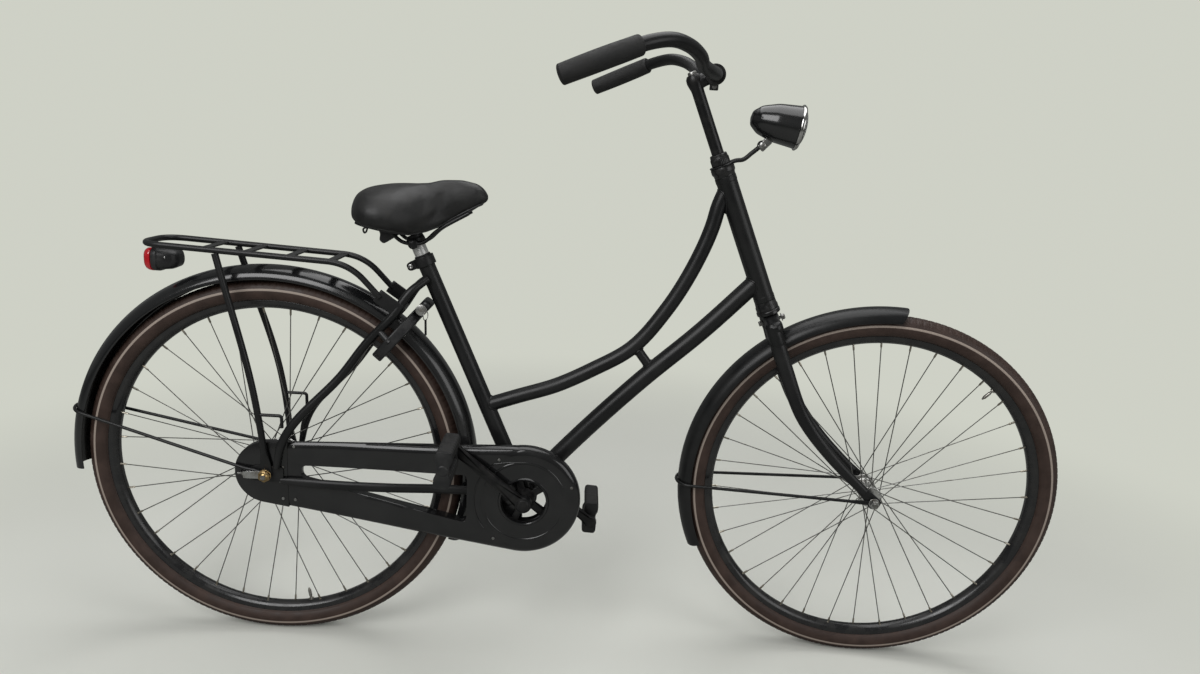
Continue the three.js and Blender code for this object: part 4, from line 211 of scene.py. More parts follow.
def skin(name, grids, closed_path=False, flat_above=35, lips=False):
    """Object with a closed skin over each grid. Its UV is metres along the rows and round the columns.
    Lips say that the end rings are already folded shut, and only need merging."""
    grids = grids if isinstance(grids, list) else [grids]
    places, faces, uvs, count = [], [], [], 0
    for grid in grids:
        corners, loops, uv = shell(grid, closed_path, lips)
        faces += [[corner + count for corner in loop] for loop in loops]
        places.append(corners)
        uvs.append(uv)
        count += len(corners)
    mesh = bpy.data.meshes.new(name)
    mesh.from_pydata(np.concatenate(places).tolist(), [], faces)
    mesh.uv_layers.new(name="place").data.foreach_set("uv", np.concatenate(uvs).ravel())
    if lips:
        work = bmesh.new()
        work.from_mesh(mesh)
        bmesh.ops.remove_doubles(work, verts=work.verts, dist=1e-6)
        work.to_mesh(mesh)
        work.free()
    mesh.shade_smooth()
    mesh.set_sharp_from_angle(angle=math.radians(flat_above))
    made = bpy.data.objects.new(name, mesh)
    bpy.context.scene.collection.objects.link(made)
    return made


def dress(made, body, material, replaced=()):
    """Gives an object its material and its CAD body, and hides the CAD nodes that it stands for."""
    made.data.materials.append(material)
    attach(made, body)
    if replaced:
        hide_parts(*replaced)
    return made


def piece(name, grids, body, material, slot, replaced=(), place=on_frame, **closing):
    """A dressed skin over one grid or a list of them. The place function turns each grid's points into
    metres in the scene, and is np.asarray where they are that already."""
    grids = grids if isinstance(grids, list) else [grids]
    return dress(skin(name, [place(grid) for grid in grids], **closing), body, material, replaced)


def spun(profile, steps, centre=(0, 0, 0), axis=(0, 1, 0)):
    """Grid of a profile of (radius, offset) about a line: centre + offset axis
    + radius (cos(a) u + sin(a) w), profile points as rows and angles a as columns."""
    profile = np.asarray(profile, float)
    axis = np.asarray(axis, float) / np.linalg.norm(axis)
    helper = np.array([1.0, 0, 0]) if abs(axis[0]) < 0.9 else np.array([0, 0, 1.0])
    w = np.cross(axis, helper)
    w /= np.linalg.norm(w)
    u = np.cross(w, axis)
    angle = np.linspace(0, 2 * math.pi, steps, endpoint=False)
    ring = np.cos(angle)[:, None] * u + np.sin(angle)[:, None] * w
    return (np.asarray(centre, float) + profile[:, 1, None, None] * axis
            + profile[:, 0, None, None] * ring[None])


def aged_group():
    """Shared ageing of a surface: clean and worn tones in soft patches, roughness that follows them, and
    a fine grain as height."""
    tree = bpy.data.node_groups.new("aged_surface", "ShaderNodeTree")
    for way, kind, names in (("INPUT", "Color", ("Clean", "Worn")),
                             ("INPUT", "Float", ("Patches", "Grain", "Smooth", "Rough")),
                             ("OUTPUT", "Color", ("Color",)), ("OUTPUT", "Float", ("Roughness", "Height"))):
        for name in names:
            tree.interface.new_socket(name, in_out=way, socket_type="NodeSocket" + kind)
    given, made = put(tree, "NodeGroupInput"), put(tree, "NodeGroupOutput")
    place = put(tree, "ShaderNodeTexCoord")
    patch = put(tree, "ShaderNodeTexNoise", {"Detail": 5.0, "Roughness": 0.62})
    grain = put(tree, "ShaderNodeTexNoise", {"Detail": 2.0, "Roughness": 0.5})
    speck = put(tree, "ShaderNodeTexNoise", {"Scale": 420.0, "Detail": 3.0})
    spread = put(tree, "ShaderNodeMapRange", {"From Min": 0.42, "From Max": 0.68})
    dotted = put(tree, "ShaderNodeMapRange", {"From Min": 0.60, "From Max": 0.72, "To Max": 0.55})
    both = put(tree, "ShaderNodeMath", operation="MAXIMUM")
    colour = put(tree, "ShaderNodeMix", data_type="RGBA")
    sheen = put(tree, "ShaderNodeMapRange")
    join(tree, (place, "Object", patch, "Vector"), (place, "Object", grain, "Vector"),
         (place, "Object", speck, "Vector"), (given, "Patches", patch, "Scale"),
         (given, "Grain", grain, "Scale"), (patch, "Fac", spread, "Value"), (speck, "Fac", dotted, "Value"),
         (spread, "Result", both, 0), (dotted, "Result", both, 1), (both, "Value", colour, 0),
         (given, "Clean", colour, 6), (given, "Worn", colour, 7), (both, "Value", sheen, "Value"),
         (given, "Smooth", sheen, "To Min"), (given, "Rough", sheen, "To Max"), (colour, 2, made, "Color"),
         (sheen, "Result", made, "Roughness"), (grain, "Fac", made, "Height"))
    return tree


aged_surface = aged_group()


def aged_material(name, clean, worn, patches, grain, smooth, rough, bump=0.1, depth=0.0004, **shader):
    """Material on the shared ageing group; shader gives the Principled node's own constants."""
    material = bpy.data.materials.new(name)
    material.use_nodes = True
    tree = material.node_tree
    principled = tree.nodes["Principled BSDF"]
    for socket, value in shader.items():
        principled.inputs[socket.replace("_", " ")].default_value = value
    aged = put(tree, "ShaderNodeGroup", {"Clean": (*clean, 1), "Worn": (*worn, 1), "Patches": patches,
                                         "Grain": grain, "Smooth": smooth, "Rough": rough},
               node_tree=aged_surface)
    relief = put(tree, "ShaderNodeBump", {"Strength": bump, "Distance": depth})
    join(tree, (aged, "Color", principled, "Base Color"), (aged, "Roughness", principled, "Roughness"),
         (aged, "Height", relief, "Height"), (relief, "Normal", principled, "Normal"))
    return material


def wheel_frame(name):
    """Centre of a wheel and its axis towards the left, from its joint."""
    centre, axis = joint_line(name)
    return centre, axis * (1 if axis[1] > 0 else -1)


WHEELS = {"rear": wheel_frame("rear_wheel_spin"), "front": wheel_frame("front_wheel_spin")}
TREAD_STEPS, TREAD_PITCH, TREAD_DEPTH = 1080, 6, 0.9


def tyre_profile():
    """Section (radius, offset) and the angles a of its crown, a circle of half the width with four grooves
    and two ridges on it: r = R + w cos(a), y = w sin(a). The bead narrows into the rim."""
    half = TYRE_WIDTH / 2
    centre = TYRE_RADIUS - half
    reach = math.acos((RIM_EDGE + 0.4 - centre) / half)
    a = np.linspace(-reach, reach, 45)
    groove = np.exp(-((np.abs(a) - 0.24) / 0.05) ** 2) + np.exp(-((np.abs(a) - 0.66) / 0.05) ** 2)
    ridge = np.exp(-((np.abs(a) - 1.38) / 0.06) ** 2)
    reach_out = half - 0.55 * groove + 0.35 * ridge
    crown = np.stack([centre + reach_out * np.cos(a), reach_out * np.sin(a)], 1)
    bead = np.array([(RIM_EDGE - 2, 9.4), (RIM_EDGE - 7, 9.2), (RIM_EDGE - 7, -9.2), (RIM_EDGE - 2, -9.4)])
    return np.concatenate([crown, bead]), a


def tyre_grid(centre, axis):
    """The section turned about the axle, its crown lowered by a groove across it every few steps."""
    profile, a = tyre_profile()
    grid = spun(profile / 1000, TREAD_STEPS, centre, axis)
    step = np.arange(TREAD_STEPS)
    cut = (step % TREAD_PITCH == 0).astype(float)
    shoulder = np.clip((0.62 - np.abs(np.abs(a) - 0.45)) / 0.2, 0, 1)
    depth = np.zeros((len(profile), TREAD_STEPS))
    depth[:len(a)] = shoulder[:, None] * cut[None] * TREAD_DEPTH / 1000
    middle = centre + (TYRE_RADIUS - TYRE_WIDTH / 2) / 1000 * unit(grid.mean(0) - centre)
    return grid - depth[..., None] * unit(grid - middle[None])


def unit(vectors):
    """Each vector divided by its length."""
    return vectors / np.linalg.norm(vectors, axis=-1, keepdims=True)


def tyre_material():
    """Brown rubber; the pale band lies where the section's running length v is that far from the crown."""
    material = aged_material("tyre_rubber", (0.036, 0.019, 0.0135), (0.062, 0.036, 0.027), 26, 2600, 0.5, 0.72,
                             bump=0.25, depth=0.0004)
    tree = material.node_tree
    principled = tree.nodes["Principled BSDF"]
    aged = principled.inputs["Base Color"].links[0].from_node
    profile, crown_angles = tyre_profile()
    around = np.r_[0, np.cumsum(np.linalg.norm(np.diff(profile, axis=0), axis=1))] / 1000
    crown = len(crown_angles) // 2
    middle = around[crown]
    band = around[int(np.argmin(np.abs(profile[:crown, 0] - STRIPE_RADIUS)))]
    split = put(tree, "ShaderNodeSeparateXYZ")
    off = put(tree, "ShaderNodeMath", {1: middle}, operation="SUBTRACT")
    side = put(tree, "ShaderNodeMath", operation="ABSOLUTE")
    away = put(tree, "ShaderNodeMath", {1: middle - band}, operation="SUBTRACT")
    near = put(tree, "ShaderNodeMath", operation="ABSOLUTE")
    edge = put(tree, "ShaderNodeMapRange", {"From Min": STRIPE_WIDTH / 2600, "From Max": STRIPE_WIDTH / 1700,
                                            "To Min": 1.0, "To Max": 0.0})
    paler = put(tree, "ShaderNodeMix", {7: (0.40, 0.33, 0.28, 1)}, data_type="RGBA")
    wheel_place = put(tree, "ShaderNodeUVMap", uv_map="place")
    join(tree, (wheel_place, "UV", split, "Vector"), (split, "X", off, 0), (off, 0, side, 0), (side, 0, away, 0),
         (away, 0, near, 0), (near, 0, edge, "Value"), (edge, "Result", paler, 0), (aged, "Color", paler, 6),
         (paler, 2, principled, "Base Color"))
    return material


tyre_rubber = tyre_material()
for end, (centre, axis) in WHEELS.items():
    piece(f"{end}_tyre_tread", tyre_grid(centre, axis), f"{end}_wheel", tyre_rubber, "tyre_brown",
          [f"{end}_tyre"], place=np.asarray, closed_path=True, flat_above=70)


# Rims: a hooked box section of black-painted steel with a raised bead at each edge, drilled for 36
# spokes and the tube's valve, which stands through on a knurled nut and carries a cap.
RIM_DEPTH, RIM_WIDTH, VALVE_REACH = 17, 27, 26
VALVES = {"rear": -79.6, "front": 48.2}


def turned(corners, back, ahead, radius, most, count):
    """Curve (1 - t)^2 a + 2 t (1 - t) p + t^2 b in place of each corner p, between the points a and b of
    its two sides that lie the radius away from it, or the largest share of the side."""
    back_length, ahead_length = (np.linalg.norm(v, axis=1, keepdims=True) for v in (back, ahead))
    reach = np.minimum(radius, most * np.minimum(back_length, ahead_length))
    a, b = corners + back / back_length * reach, corners + ahead / ahead_length * reach
    t = np.linspace(0, 1, count)[None, :, None]
    curve = (1 - t) ** 2 * a[:, None] + 2 * t * (1 - t) * corners[:, None] + t ** 2 * b[:, None]
    return curve.reshape(-1, corners.shape[1])


def rounded(corners, radius, steps=3):
    """Closed outline with a curve in place of each corner."""
    corners = np.asarray(corners, float)
    back, ahead = np.roll(corners, 1, 0) - corners, np.roll(corners, -1, 0) - corners
    return turned(corners, back, ahead, radius, 0.48, steps + 1)


def rim_profile():
    """Closed section (radius, offset) of a box rim: well, beads, walls and a crowned spoke bed."""
    edge, half, well = RIM_EDGE, RIM_WIDTH / 2, 10
    side = [(edge - 7, well), (edge - 1.5, well), (edge - 0.2, well + 0.6), (edge, half - 0.8),
            (edge - 1.6, half + 0.1), (edge - 3.2, half - 0.5), (edge - 9, half - 0.9), (edge - 13, half - 4),
            (edge - RIM_DEPTH, 4)]
    across = [(radius, -offset) for radius, offset in reversed(side)]
    return rounded(side + across, 1.2, 2)


def wheel_ways(end):
    """Directions ahead and up of a wheel's own plane."""
    return (steer_turn if end == "front" else np.eye(3))[:, [0, 2]].T


rim_paint = aged_material("rim_black_paint", (0.008, 0.008, 0.009), (0.020, 0.019, 0.018), 30, 3000, 0.2, 0.45,
                          bump=0.05, Coat_Weight=0.4, Coat_Roughness=0.15)
valve_metal = aged_material("valve_nickel", (0.42, 0.41, 0.38), (0.22, 0.20, 0.17), 90, 4000, 0.25, 0.5,
                            Metallic=1)
for end, (centre, axis) in WHEELS.items():
    piece(f"{end}_rim_hoop", spun(rim_profile() / 1000, 240, centre, axis), f"{end}_wheel", rim_paint,
          "rim_black", [f"{end}_rim"], place=np.asarray, closed_path=True)
    ahead, up = wheel_ways(end)
    out = math.cos(math.radians(VALVES[end])) * ahead + math.sin(math.radians(VALVES[end])) * up
    foot = RIM_EDGE - RIM_DEPTH
    stem = [(0.01, foot + 6), (2.6, foot + 6), (2.6, foot), (5, foot - 0.2), (5, foot - 2.4), (2.6, foot - 2.6),
            (2.3, foot - 3.4), (2.6, foot - 4.2), (2.3, foot - 5), (2.6, foot - 6), (2.3, foot - 7),
            (3.1, foot - 8), (3.1, foot - 20), (2.4, foot - 22), (1.2, foot - VALVE_REACH + 0.5),
            (0.01, foot - VALVE_REACH)]
    piece(f"{end}_valve", spun(np.array(stem) / 1000, 20, centre, out), f"{end}_wheel", valve_metal,
          "bare_steel", place=np.asarray)


# Spokes: 36 zinc-coated wires a wheel, laced three-cross, each hooked through its flange with a button
# head and screwed into a brass nipple that stands out of the rim.
SPOKES, SPOKE_RADIUS, SPOKE_LEAN, FLANGE_SPACING = 36, 1.0, 57, 60
PHASES = {"rear": 4, "front": 3}
FLANGES = {"rear": 36, "front": 21}


def curve(points, shares):
    """Smooth path through points: cubic Hermite spans on chord length with dp/ds by differences,
    read at shares of its length."""
    points = np.asarray(points, float)
    knots = np.r_[0, np.cumsum(np.linalg.norm(np.diff(points, axis=0), axis=1))]
    slopes = np.gradient(points, knots, axis=0)
    s = np.asarray(shares, float) * knots[-1]
    k = np.clip(np.searchsorted(knots, s, side="right") - 1, 0, len(knots) - 2)
    span = (knots[k + 1] - knots[k])[:, None]
    t = (s - knots[k])[:, None] / span
    return ((2 * t ** 3 - 3 * t ** 2 + 1) * points[k] + (t ** 3 - 2 * t ** 2 + t) * span * slopes[k]
            + (3 * t ** 2 - 2 * t ** 3) * points[k + 1] + (t ** 3 - t ** 2) * span * slopes[k + 1])


def around(path, u, w, wide, high, sides):
    """Ring of points about each place of a path: p + wide cos(a) u + high sin(a) w."""
    a = np.linspace(0, 2 * math.pi, sides, endpoint=False)[None, :, None]
    return path[:, None] + wide * np.cos(a) * u[:, None] + high * np.sin(a) * w[:, None]


def tube(path, radius, sides=16, across=(0, 1, 0), flat=1):
    """Grid round a path: p + r (cos(a) f u + sin(a) w), with w square to the path and to a crosswise
    direction, u square to both, and f the share of flattening along u."""
    tangent = unit(np.gradient(path, axis=0))
    w = unit(np.cross(tangent, np.asarray(across, float)))
    u = np.cross(w, tangent)
    wide, high = (np.broadcast_to(r, len(path))[:, None, None] for r in (np.multiply(radius, flat), radius))
    return around(path, u, w, wide, high, sides)


def wheel_place(end, radius, angle, offset):
    """Point of a wheel: centre + r (cos(a) ahead + sin(a) up) + offset along its axle, in metres."""
    centre, axis = WHEELS[end]
    ahead, up = wheel_ways(end)
    return centre + (radius * (math.cos(angle) * ahead + math.sin(angle) * up) + offset * axis) / 1000


def spoke(end, number):
    """Grids of one spoke with its head and elbow, and of its nipple."""
    side = 1 if number % 2 else -1
    lean = SPOKE_LEAN if number // 2 % 2 else -SPOKE_LEAN
    outer = math.radians(PHASES[end] + number * 360 / SPOKES)
    foot = outer + math.radians(lean)
    hole = FLANGES[end] - 3
    face, back = (FLANGE_SPACING / 2 - 3.4, FLANGE_SPACING / 2 + 0.6)[::1 if lean < 0 else -1]
    bed = RIM_EDGE - RIM_DEPTH
    points = [wheel_place(end, hole, foot, side * back), wheel_place(end, hole, foot, side * face),
              wheel_place(end, bed + 2, outer, side * 3)]
    way = unit(points[2] - points[1])
    elbow = points[1] + way * 0.004
    path = curve([points[0], points[1], elbow, elbow + way * 0.02, points[2]],
                 [0, 0.006, 0.013, 0.02, 0.03, 0.05, 0.3, 0.6, 1])
    across = np.cross(WHEELS[end][1], way)
    wire = tube(path, SPOKE_RADIUS / 1000, 6, across)
    head = spun(np.array([(0.01, -0.7), (1.6, -0.4), (1.9, 0.3), (1.2, 0.9), (0.01, 1)]) / 1000, 8, points[0],
                WHEELS[end][1] * side * (1 if back > face else -1))
    nipple = spun(np.array([(0.01, 3), (2.6, 3), (2.7, 0.4), (1.9, 0), (1.9, -9), (1.3, -11), (0.01, -11.2)])
                  / 1000, 8, points[2] - way * 0.002, way)
    return wire, head, nipple


spoke_zinc = aged_material("spoke_zinc", (0.30, 0.30, 0.29), (0.16, 0.15, 0.13), 60, 5000, 0.28, 0.5, Metallic=1)
nipple_brass = aged_material("nipple_brass", (0.50, 0.47, 0.40), (0.26, 0.22, 0.16), 200, 5000, 0.25, 0.45,
                             Metallic=1)
for end in WHEELS:
    parts = [spoke(end, number) for number in range(SPOKES)]
    piece(f"{end}_spokes", [grid for wire, head, _ in parts for grid in (wire, head)], f"{end}_wheel",
          spoke_zinc, "bare_steel", place=np.asarray)
    piece(f"{end}_nipples", [nipple for *_, nipple in parts], f"{end}_wheel", nipple_brass, "bare_steel",
          place=np.asarray)


# Hubs: pressed-steel shells with two drilled flanges for the spokes, plated bright, that turn on the axles'
# cones. The rear one is the fatter barrel of a coaster brake.
FRONT_SHELL = [(6.4, -47), (8.2, -46.6), (8.6, -31), (20, -30.6), (21.3, -29.8), (21.3, -27.6), (20, -26.8),
               (14.5, -25.8), (12.4, -23), (11.9, -12), (11.6, 0), (11.9, 12), (12.4, 23), (14.5, 25.8),
               (20, 26.8), (21.3, 27.6), (21.3, 29.8), (20, 30.6), (8.6, 31), (8.2, 46.6), (6.4, 47)]
REAR_SHELL = [(6.4, -43), (22, -42.6), (22.4, -31), (35, -30.6), (36.3, -29.8), (36.3, -27.6), (35, -26.8),
              (31, -25.4), (29.3, -22), (29, -8), (28.6, 0), (29, 8), (29.3, 22), (31, 25.4), (35, 26.8),
              (36.3, 27.6), (36.3, 29.8), (35, 30.6), (22.4, 31), (22, 42.6), (6.4, 43)]

hub_steel = aged_material("hub_plated_steel", (0.72, 0.72, 0.70), (0.6, 0.59, 0.56), 55, 3500, 0.2, 0.36,
                          Metallic=1)
for end, profile in (("front", FRONT_SHELL), ("rear", REAR_SHELL)):
    centre, axis = WHEELS[end]
    piece(f"{end}_hub_barrel", spun(rounded(profile, 0.8, 2) / 1000, 72, centre, axis), f"{end}_wheel",
          hub_steel, "bare_steel", [f"{end}_hub_with_spokes"], place=np.asarray, closed_path=True)


# Main tubes: round steel, mitred and welded, under satin black powder coat. The swan tube curves down
# from the head tube to the seat tube, and a short bridge ties it to the down tube.
BRACKET = np.array([478, 0, -31.0])
SEAT_TOP, SEAT_FOOT = np.array([272, 0, 416.0]), np.array([470, 0, -31.0])
HEAD_RADIUS, HEAD_BASE, HEAD_TOP = 19, 431.6, 672.6
DOWN_RADIUS, DOWN_JOINT, SWAN_RADIUS, SWAN_JOINT = 17, 472, 14, 655
SWAN_SHARES = [(0.058, 0.026), (0.108, 0.057), (0.235, 0.114), (0.382, 0.156), (0.544, 0.173), (0.678, 0.141),
               (0.792, 0.103), (0.909, 0.045)]
DOWN_SHARES = [(0.232, 0.001), (0.474, -0.011), (0.813, -0.01)]
SEAT_RADIUS, BRIDGE_RADIUS, SHELL_RADIUS, SHELL_WIDTH, WELD_BEAD = 15, 9, 21, 68, 1.9
steer_foot_mm = (steer_foot - rear_hub) * 1000
seat_up = unit(SEAT_TOP - SEAT_FOOT)


def head_point(height):
    """Point of the steering axis above its foot, in millimetres from the rear hub."""
    return steer_foot_mm + steer_up * height


def along_chord(start, end, shares):
    """Points at shares along the chord from start to end and square to it."""
    chord = end - start
    square = np.array([-chord[2], 0, chord[0]])
    return [start + chord * along + square * aside for along, aside in shares]


def weld(start, way, radius, line, line_way, line_radius):
    """Grid of a bead round a mitre: each generator o(a) + t d of the branch meets the other tube where
    |o + t d - q| square to its axis is its radius, the first root t of that quadratic."""
    way, line_way = unit(np.asarray(way, float)), unit(np.asarray(line_way, float))
    w = unit(np.cross(way, (0, 1, 0)))
    u = np.cross(w, way)
    a = np.linspace(0, 2 * math.pi, 48, endpoint=False)[:, None]
    origin = start + radius * (np.cos(a) * u + np.sin(a) * w)
    m = origin - line
    m = m - (m @ line_way)[:, None] * line_way
    e = way - way @ line_way * line_way
    half_b, c = m @ e, np.sum(m * m, 1) - line_radius ** 2
    t = (-half_b - np.sqrt(np.maximum(half_b ** 2 - e @ e * c, 0))) / (e @ e)
    ring = origin + t[:, None] * way
    tangent = unit(np.roll(ring, -1, 0) - np.roll(ring, 1, 0))
    outward = unit(ring - (start + t.mean() * way) + 1e-9)
    outward = unit(outward - np.sum(outward * tangent, 1)[:, None] * tangent)
    other = np.cross(tangent, outward)
    ripple = WELD_BEAD * (1 + 0.10 * np.cos(9 * a))[:, :, None]
    return around(ring, outward, other, ripple, ripple, 8)


satin_black = aged_material("satin_black_coat", (0.0085, 0.0088, 0.0092), (0.017, 0.017, 0.017), 9, 1500, 0.30,
                            0.44, bump=0.16, depth=0.0003, Coat_Weight=0.12, Coat_Roughness=0.3,
                            Specular_IOR_Level=0.3)
shares = np.linspace(0, 1, 90)
down_top, swan_top = head_point(DOWN_JOINT), head_point(SWAN_JOINT)
swan_foot = SEAT_TOP + 0.631 * (SEAT_FOOT - SEAT_TOP)
down_path = curve([down_top, *along_chord(down_top, BRACKET, DOWN_SHARES), BRACKET], shares)
swan_path = curve([swan_top, *along_chord(swan_top, swan_foot, SWAN_SHARES), swan_foot], shares)
bridge_top, = along_chord(swan_top, swan_foot, [(0.53, 0.172)])
bridge_foot, = along_chord(down_top, BRACKET, [(0.434, -0.003)])

head_pipe = [(16, HEAD_BASE), (HEAD_RADIUS + 0.6, HEAD_BASE), (HEAD_RADIUS + 0.6, HEAD_BASE + 9),
             (HEAD_RADIUS, HEAD_BASE + 11), (HEAD_RADIUS, HEAD_TOP - 11), (HEAD_RADIUS + 0.6, HEAD_TOP - 9),
             (HEAD_RADIUS + 0.6, HEAD_TOP), (16, HEAD_TOP)]
piece("head_pipe", spun(rounded(head_pipe, 0.7), 64, steer_foot_mm, steer_up), "frame", satin_black,
      "satin_black_paint", ["head_tube"], closed_path=True)
piece("down_pipe", tube(down_path, DOWN_RADIUS, 40), "frame", satin_black, "satin_black_paint", ["down_tube"])
swan = [tube(swan_path, SWAN_RADIUS, 40), tube(curve([bridge_top, bridge_foot], shares[::8]), BRIDGE_RADIUS, 28)]
piece("swan_pipe", swan, "frame", satin_black, "satin_black_paint", ["swan_tube"])
seat_pipe = [(13.4, -485), (SEAT_RADIUS, -485), (SEAT_RADIUS, -1), (14.2, 0), (13.4, 0)]
piece("seat_pipe", spun(rounded(seat_pipe, 0.5), 48, SEAT_TOP, seat_up), "frame", satin_black,
      "satin_black_paint", ["seat_tube"], closed_path=True)
half = SHELL_WIDTH / 2
bracket_ring = [(17, -half), (SHELL_RADIUS, -half), (SHELL_RADIUS, half), (17, half)]
piece("bottom_bracket_housing", spun(rounded(bracket_ring, 1.2), 64, BRACKET), "frame", satin_black,
      "satin_black_paint", ["bottom_bracket_shell"], closed_path=True)

joints_welded = [
    (down_path[12], down_path[0] - down_path[12], DOWN_RADIUS, steer_foot_mm, steer_up, HEAD_RADIUS),
    (swan_path[10], swan_path[0] - swan_path[10], SWAN_RADIUS, steer_foot_mm, steer_up, HEAD_RADIUS),
    (swan_path[-9], swan_path[-1] - swan_path[-9], SWAN_RADIUS, SEAT_TOP, seat_up, SEAT_RADIUS),
    (bridge_foot + 0.8 * (bridge_top - bridge_foot), bridge_foot - bridge_top, BRIDGE_RADIUS, down_path[39],
     down_path[40] - down_path[38], DOWN_RADIUS),
    (bridge_top + 0.8 * (bridge_foot - bridge_top), bridge_top - bridge_foot, BRIDGE_RADIUS, swan_path[48],
     swan_path[49] - swan_path[47], SWAN_RADIUS),
    (SEAT_TOP - seat_up * 300, -seat_up, SEAT_RADIUS, BRACKET, (0, 1, 0), SHELL_RADIUS),
    (down_path[-20], down_path[-1] - down_path[-20], DOWN_RADIUS, BRACKET, (0, 1, 0), SHELL_RADIUS),
]
piece("frame_welds", [weld(*joint) for joint in joints_welded], "frame", satin_black, "satin_black_paint",
      closed_path=True)


# Chain stays and dropouts: tubes flattened to an oval that run from the bottom bracket past the fender to
# slotted 5 mm plates, tied by a bridge ahead of the wheel.
STAY_SHARES = [(0, 0), (0.22, 0), (0.45, 0.33), (0.66, 0.87), (0.75, 1), (0.84, 1), (0.97, 1.5)]
STAY_START, STAY_FALL, STAY_OUT, STAY_IN, BRIDGE_REACH = 26, (-12, -31), 66, 38, 391.3
DROPOUT_FACE, DROPOUT_THICK = 60, 5


def chain_stay(side):
    """Path of one chain stay, from its dropout to the bottom bracket."""
    points = [(STAY_START + (BRACKET[0] - STAY_START) * along, side * (STAY_OUT + (STAY_IN - STAY_OUT) * inward),
               STAY_FALL[0] + (STAY_FALL[1] - STAY_FALL[0]) * along) for along, inward in STAY_SHARES]
    return curve(points, np.linspace(0, 0.985, 60))


def slab(outline, start, end, edge=0.5):
    """Grid of a flat outline in x and z given thickness along y, with its rims drawn in by the edge:
    p(a) - inset n(a), n the outline's outward normal."""
    outline = np.asarray(outline, float)
    ahead = unit(np.roll(outline, -1, 0) - np.roll(outline, 1, 0))
    normal = np.stack([ahead[:, 1], -ahead[:, 0]], 1)
    x, z = outline.T
    if np.sum(x * np.roll(z, -1) - z * np.roll(x, -1)) < 0:
        normal = -normal
    rows = [(start, edge), (start + 0.3 * edge, 0.3 * edge), (start + edge, 0), (end - edge, 0),
            (end - 0.3 * edge, 0.3 * edge), (end, edge)]
    return np.stack([np.stack([x - inset * normal[:, 0], np.full(len(x), y), z - inset * normal[:, 1]], 1)
                     for y, inset in rows])


dropout_outline = [(30, -14), (30, 12), (18, 15), (-24, 14), (-33, 9), (-33, 5.2), (-3, 5.2), (2.5, 4.6),
                   (5, 2), (5, -2), (2.5, -4.6), (-3, -5.2), (-33, -5.2), (-33, -9), (-24, -14), (10, -15)]
dropouts = [slab(rounded(dropout_outline, 3), side * DROPOUT_FACE, side * (DROPOUT_FACE + DROPOUT_THICK),
                 0.5 * side) for side in (-1, 1)]
flattened = np.interp(np.linspace(0, 1, 60), [0, 0.04, 0.12, 0.4, 1], [0.55, 0.8, 1, 1, 1])
stay_tubes = [tube(chain_stay(side), 9 * flattened, 28, (0, 1, 0), 12 / 18) for side in (-1, 1)]
fall = STAY_FALL[0] + (STAY_FALL[1] - STAY_FALL[0]) * BRIDGE_REACH / BRACKET[0]
bridge_x = math.sqrt(BRIDGE_REACH ** 2 - fall ** 2)
stay_bridge = tube(curve([(bridge_x, -STAY_IN, fall), (bridge_x, STAY_IN, fall)], shares[::11]), 8, 24, (0, 0, 1))
stay_grids = [*stay_tubes, *dropouts, stay_bridge]
piece("chain_stay_pair", stay_grids, "frame", satin_black, "satin_black_paint", ["chain_stays"])


# Seat stays: thin tubes that leave the seat tube's sides, bow round the fender and the ring lock, and
# reach the dropouts, with a bridge above the fender.
SEAT_STAY_ENDS = (np.array([286, 0, 375.0]), np.array([20, 0, 14.0]))
SEAT_STAY_SHARES = [(0.077, -0.019), (0.196, -0.015), (0.344, -0.029), (0.502, -0.027), (0.92, -0.037)]
SPREAD_SHARES = [0.4, 0.8, 1, 1, 1.12, 1.53, 1.55]


def seat_stay(side, count=80):
    """Path of one seat stay from the seat tube down to the dropout."""
    top, foot = SEAT_STAY_ENDS
    places = np.array([top, *along_chord(top, foot, SEAT_STAY_SHARES), foot])
    places[:, 1] = side * 45 * np.array(SPREAD_SHARES)
    return curve(places, np.linspace(0, 1, count))


def stay_at(side, distance):
    """The point of a seat stay at a distance from the rear hub."""
    path = seat_stay(side, 400)
    return path[np.argmin(np.abs(np.hypot(path[:, 0], path[:, 2]) - distance))]


thinned = np.interp(np.linspace(0, 1, 80), [0, 0.06, 0.9, 1], [0.9, 1, 1, 0.7])
bridge_end = stay_at(1, BRIDGE_REACH)
bridge_path = curve([bridge_end * (1, -1, 1), bridge_end], np.linspace(0, 1, 9))
stay_grids = [*(tube(seat_stay(side), 8 * thinned, 24) for side in (-1, 1)), tube(bridge_path, 8, 24, (0, 0, 1))]
piece("seat_stay_pair", stay_grids, "frame", satin_black, "satin_black_paint", ["seat_stays"])


# Rear axle: cones and spacers on a threaded axle, a brass-coloured domed nut outside the right dropout
# and a plated one on the left.
NUT_FACE, NUT_HIGH, AXLE_RADIUS = 73.9, 11, 4.8


def domed_nut(face, side, radius=10):
    """Grid of a nut about the rear axle: R s / (1 + h (c - 1)), with s each row's share of the radius, c the
    hexagon's reach at each angle, and h one on the flats and nought on the washer and the dome."""
    a = np.linspace(0, 2 * math.pi, 48, endpoint=False)
    corner = np.cos(math.pi / 6) / np.cos((a % (math.pi / 3)) - math.pi / 6)
    rows = [(0.0, 0.86, 0), (0.0, 1.16, 0), (0.05, 1.2, 0), (0.1, 1, 1), (0.5, 1, 1), (0.56, 0.92, 0.4),
            (0.6, 0.86, 0), (0.78, 0.74, 0), (0.9, 0.55, 0), (0.97, 0.34, 0), (1, 0.1, 0)]
    reach = [radius * share / (1 + hexagon * (corner - 1)) for _, share, hexagon in rows]
    return np.stack([np.stack([r * np.cos(a), np.full(len(a), side * (face + NUT_HIGH * up)), r * np.sin(a)], 1)
                     for r, (up, _, _) in zip(reach, rows)])


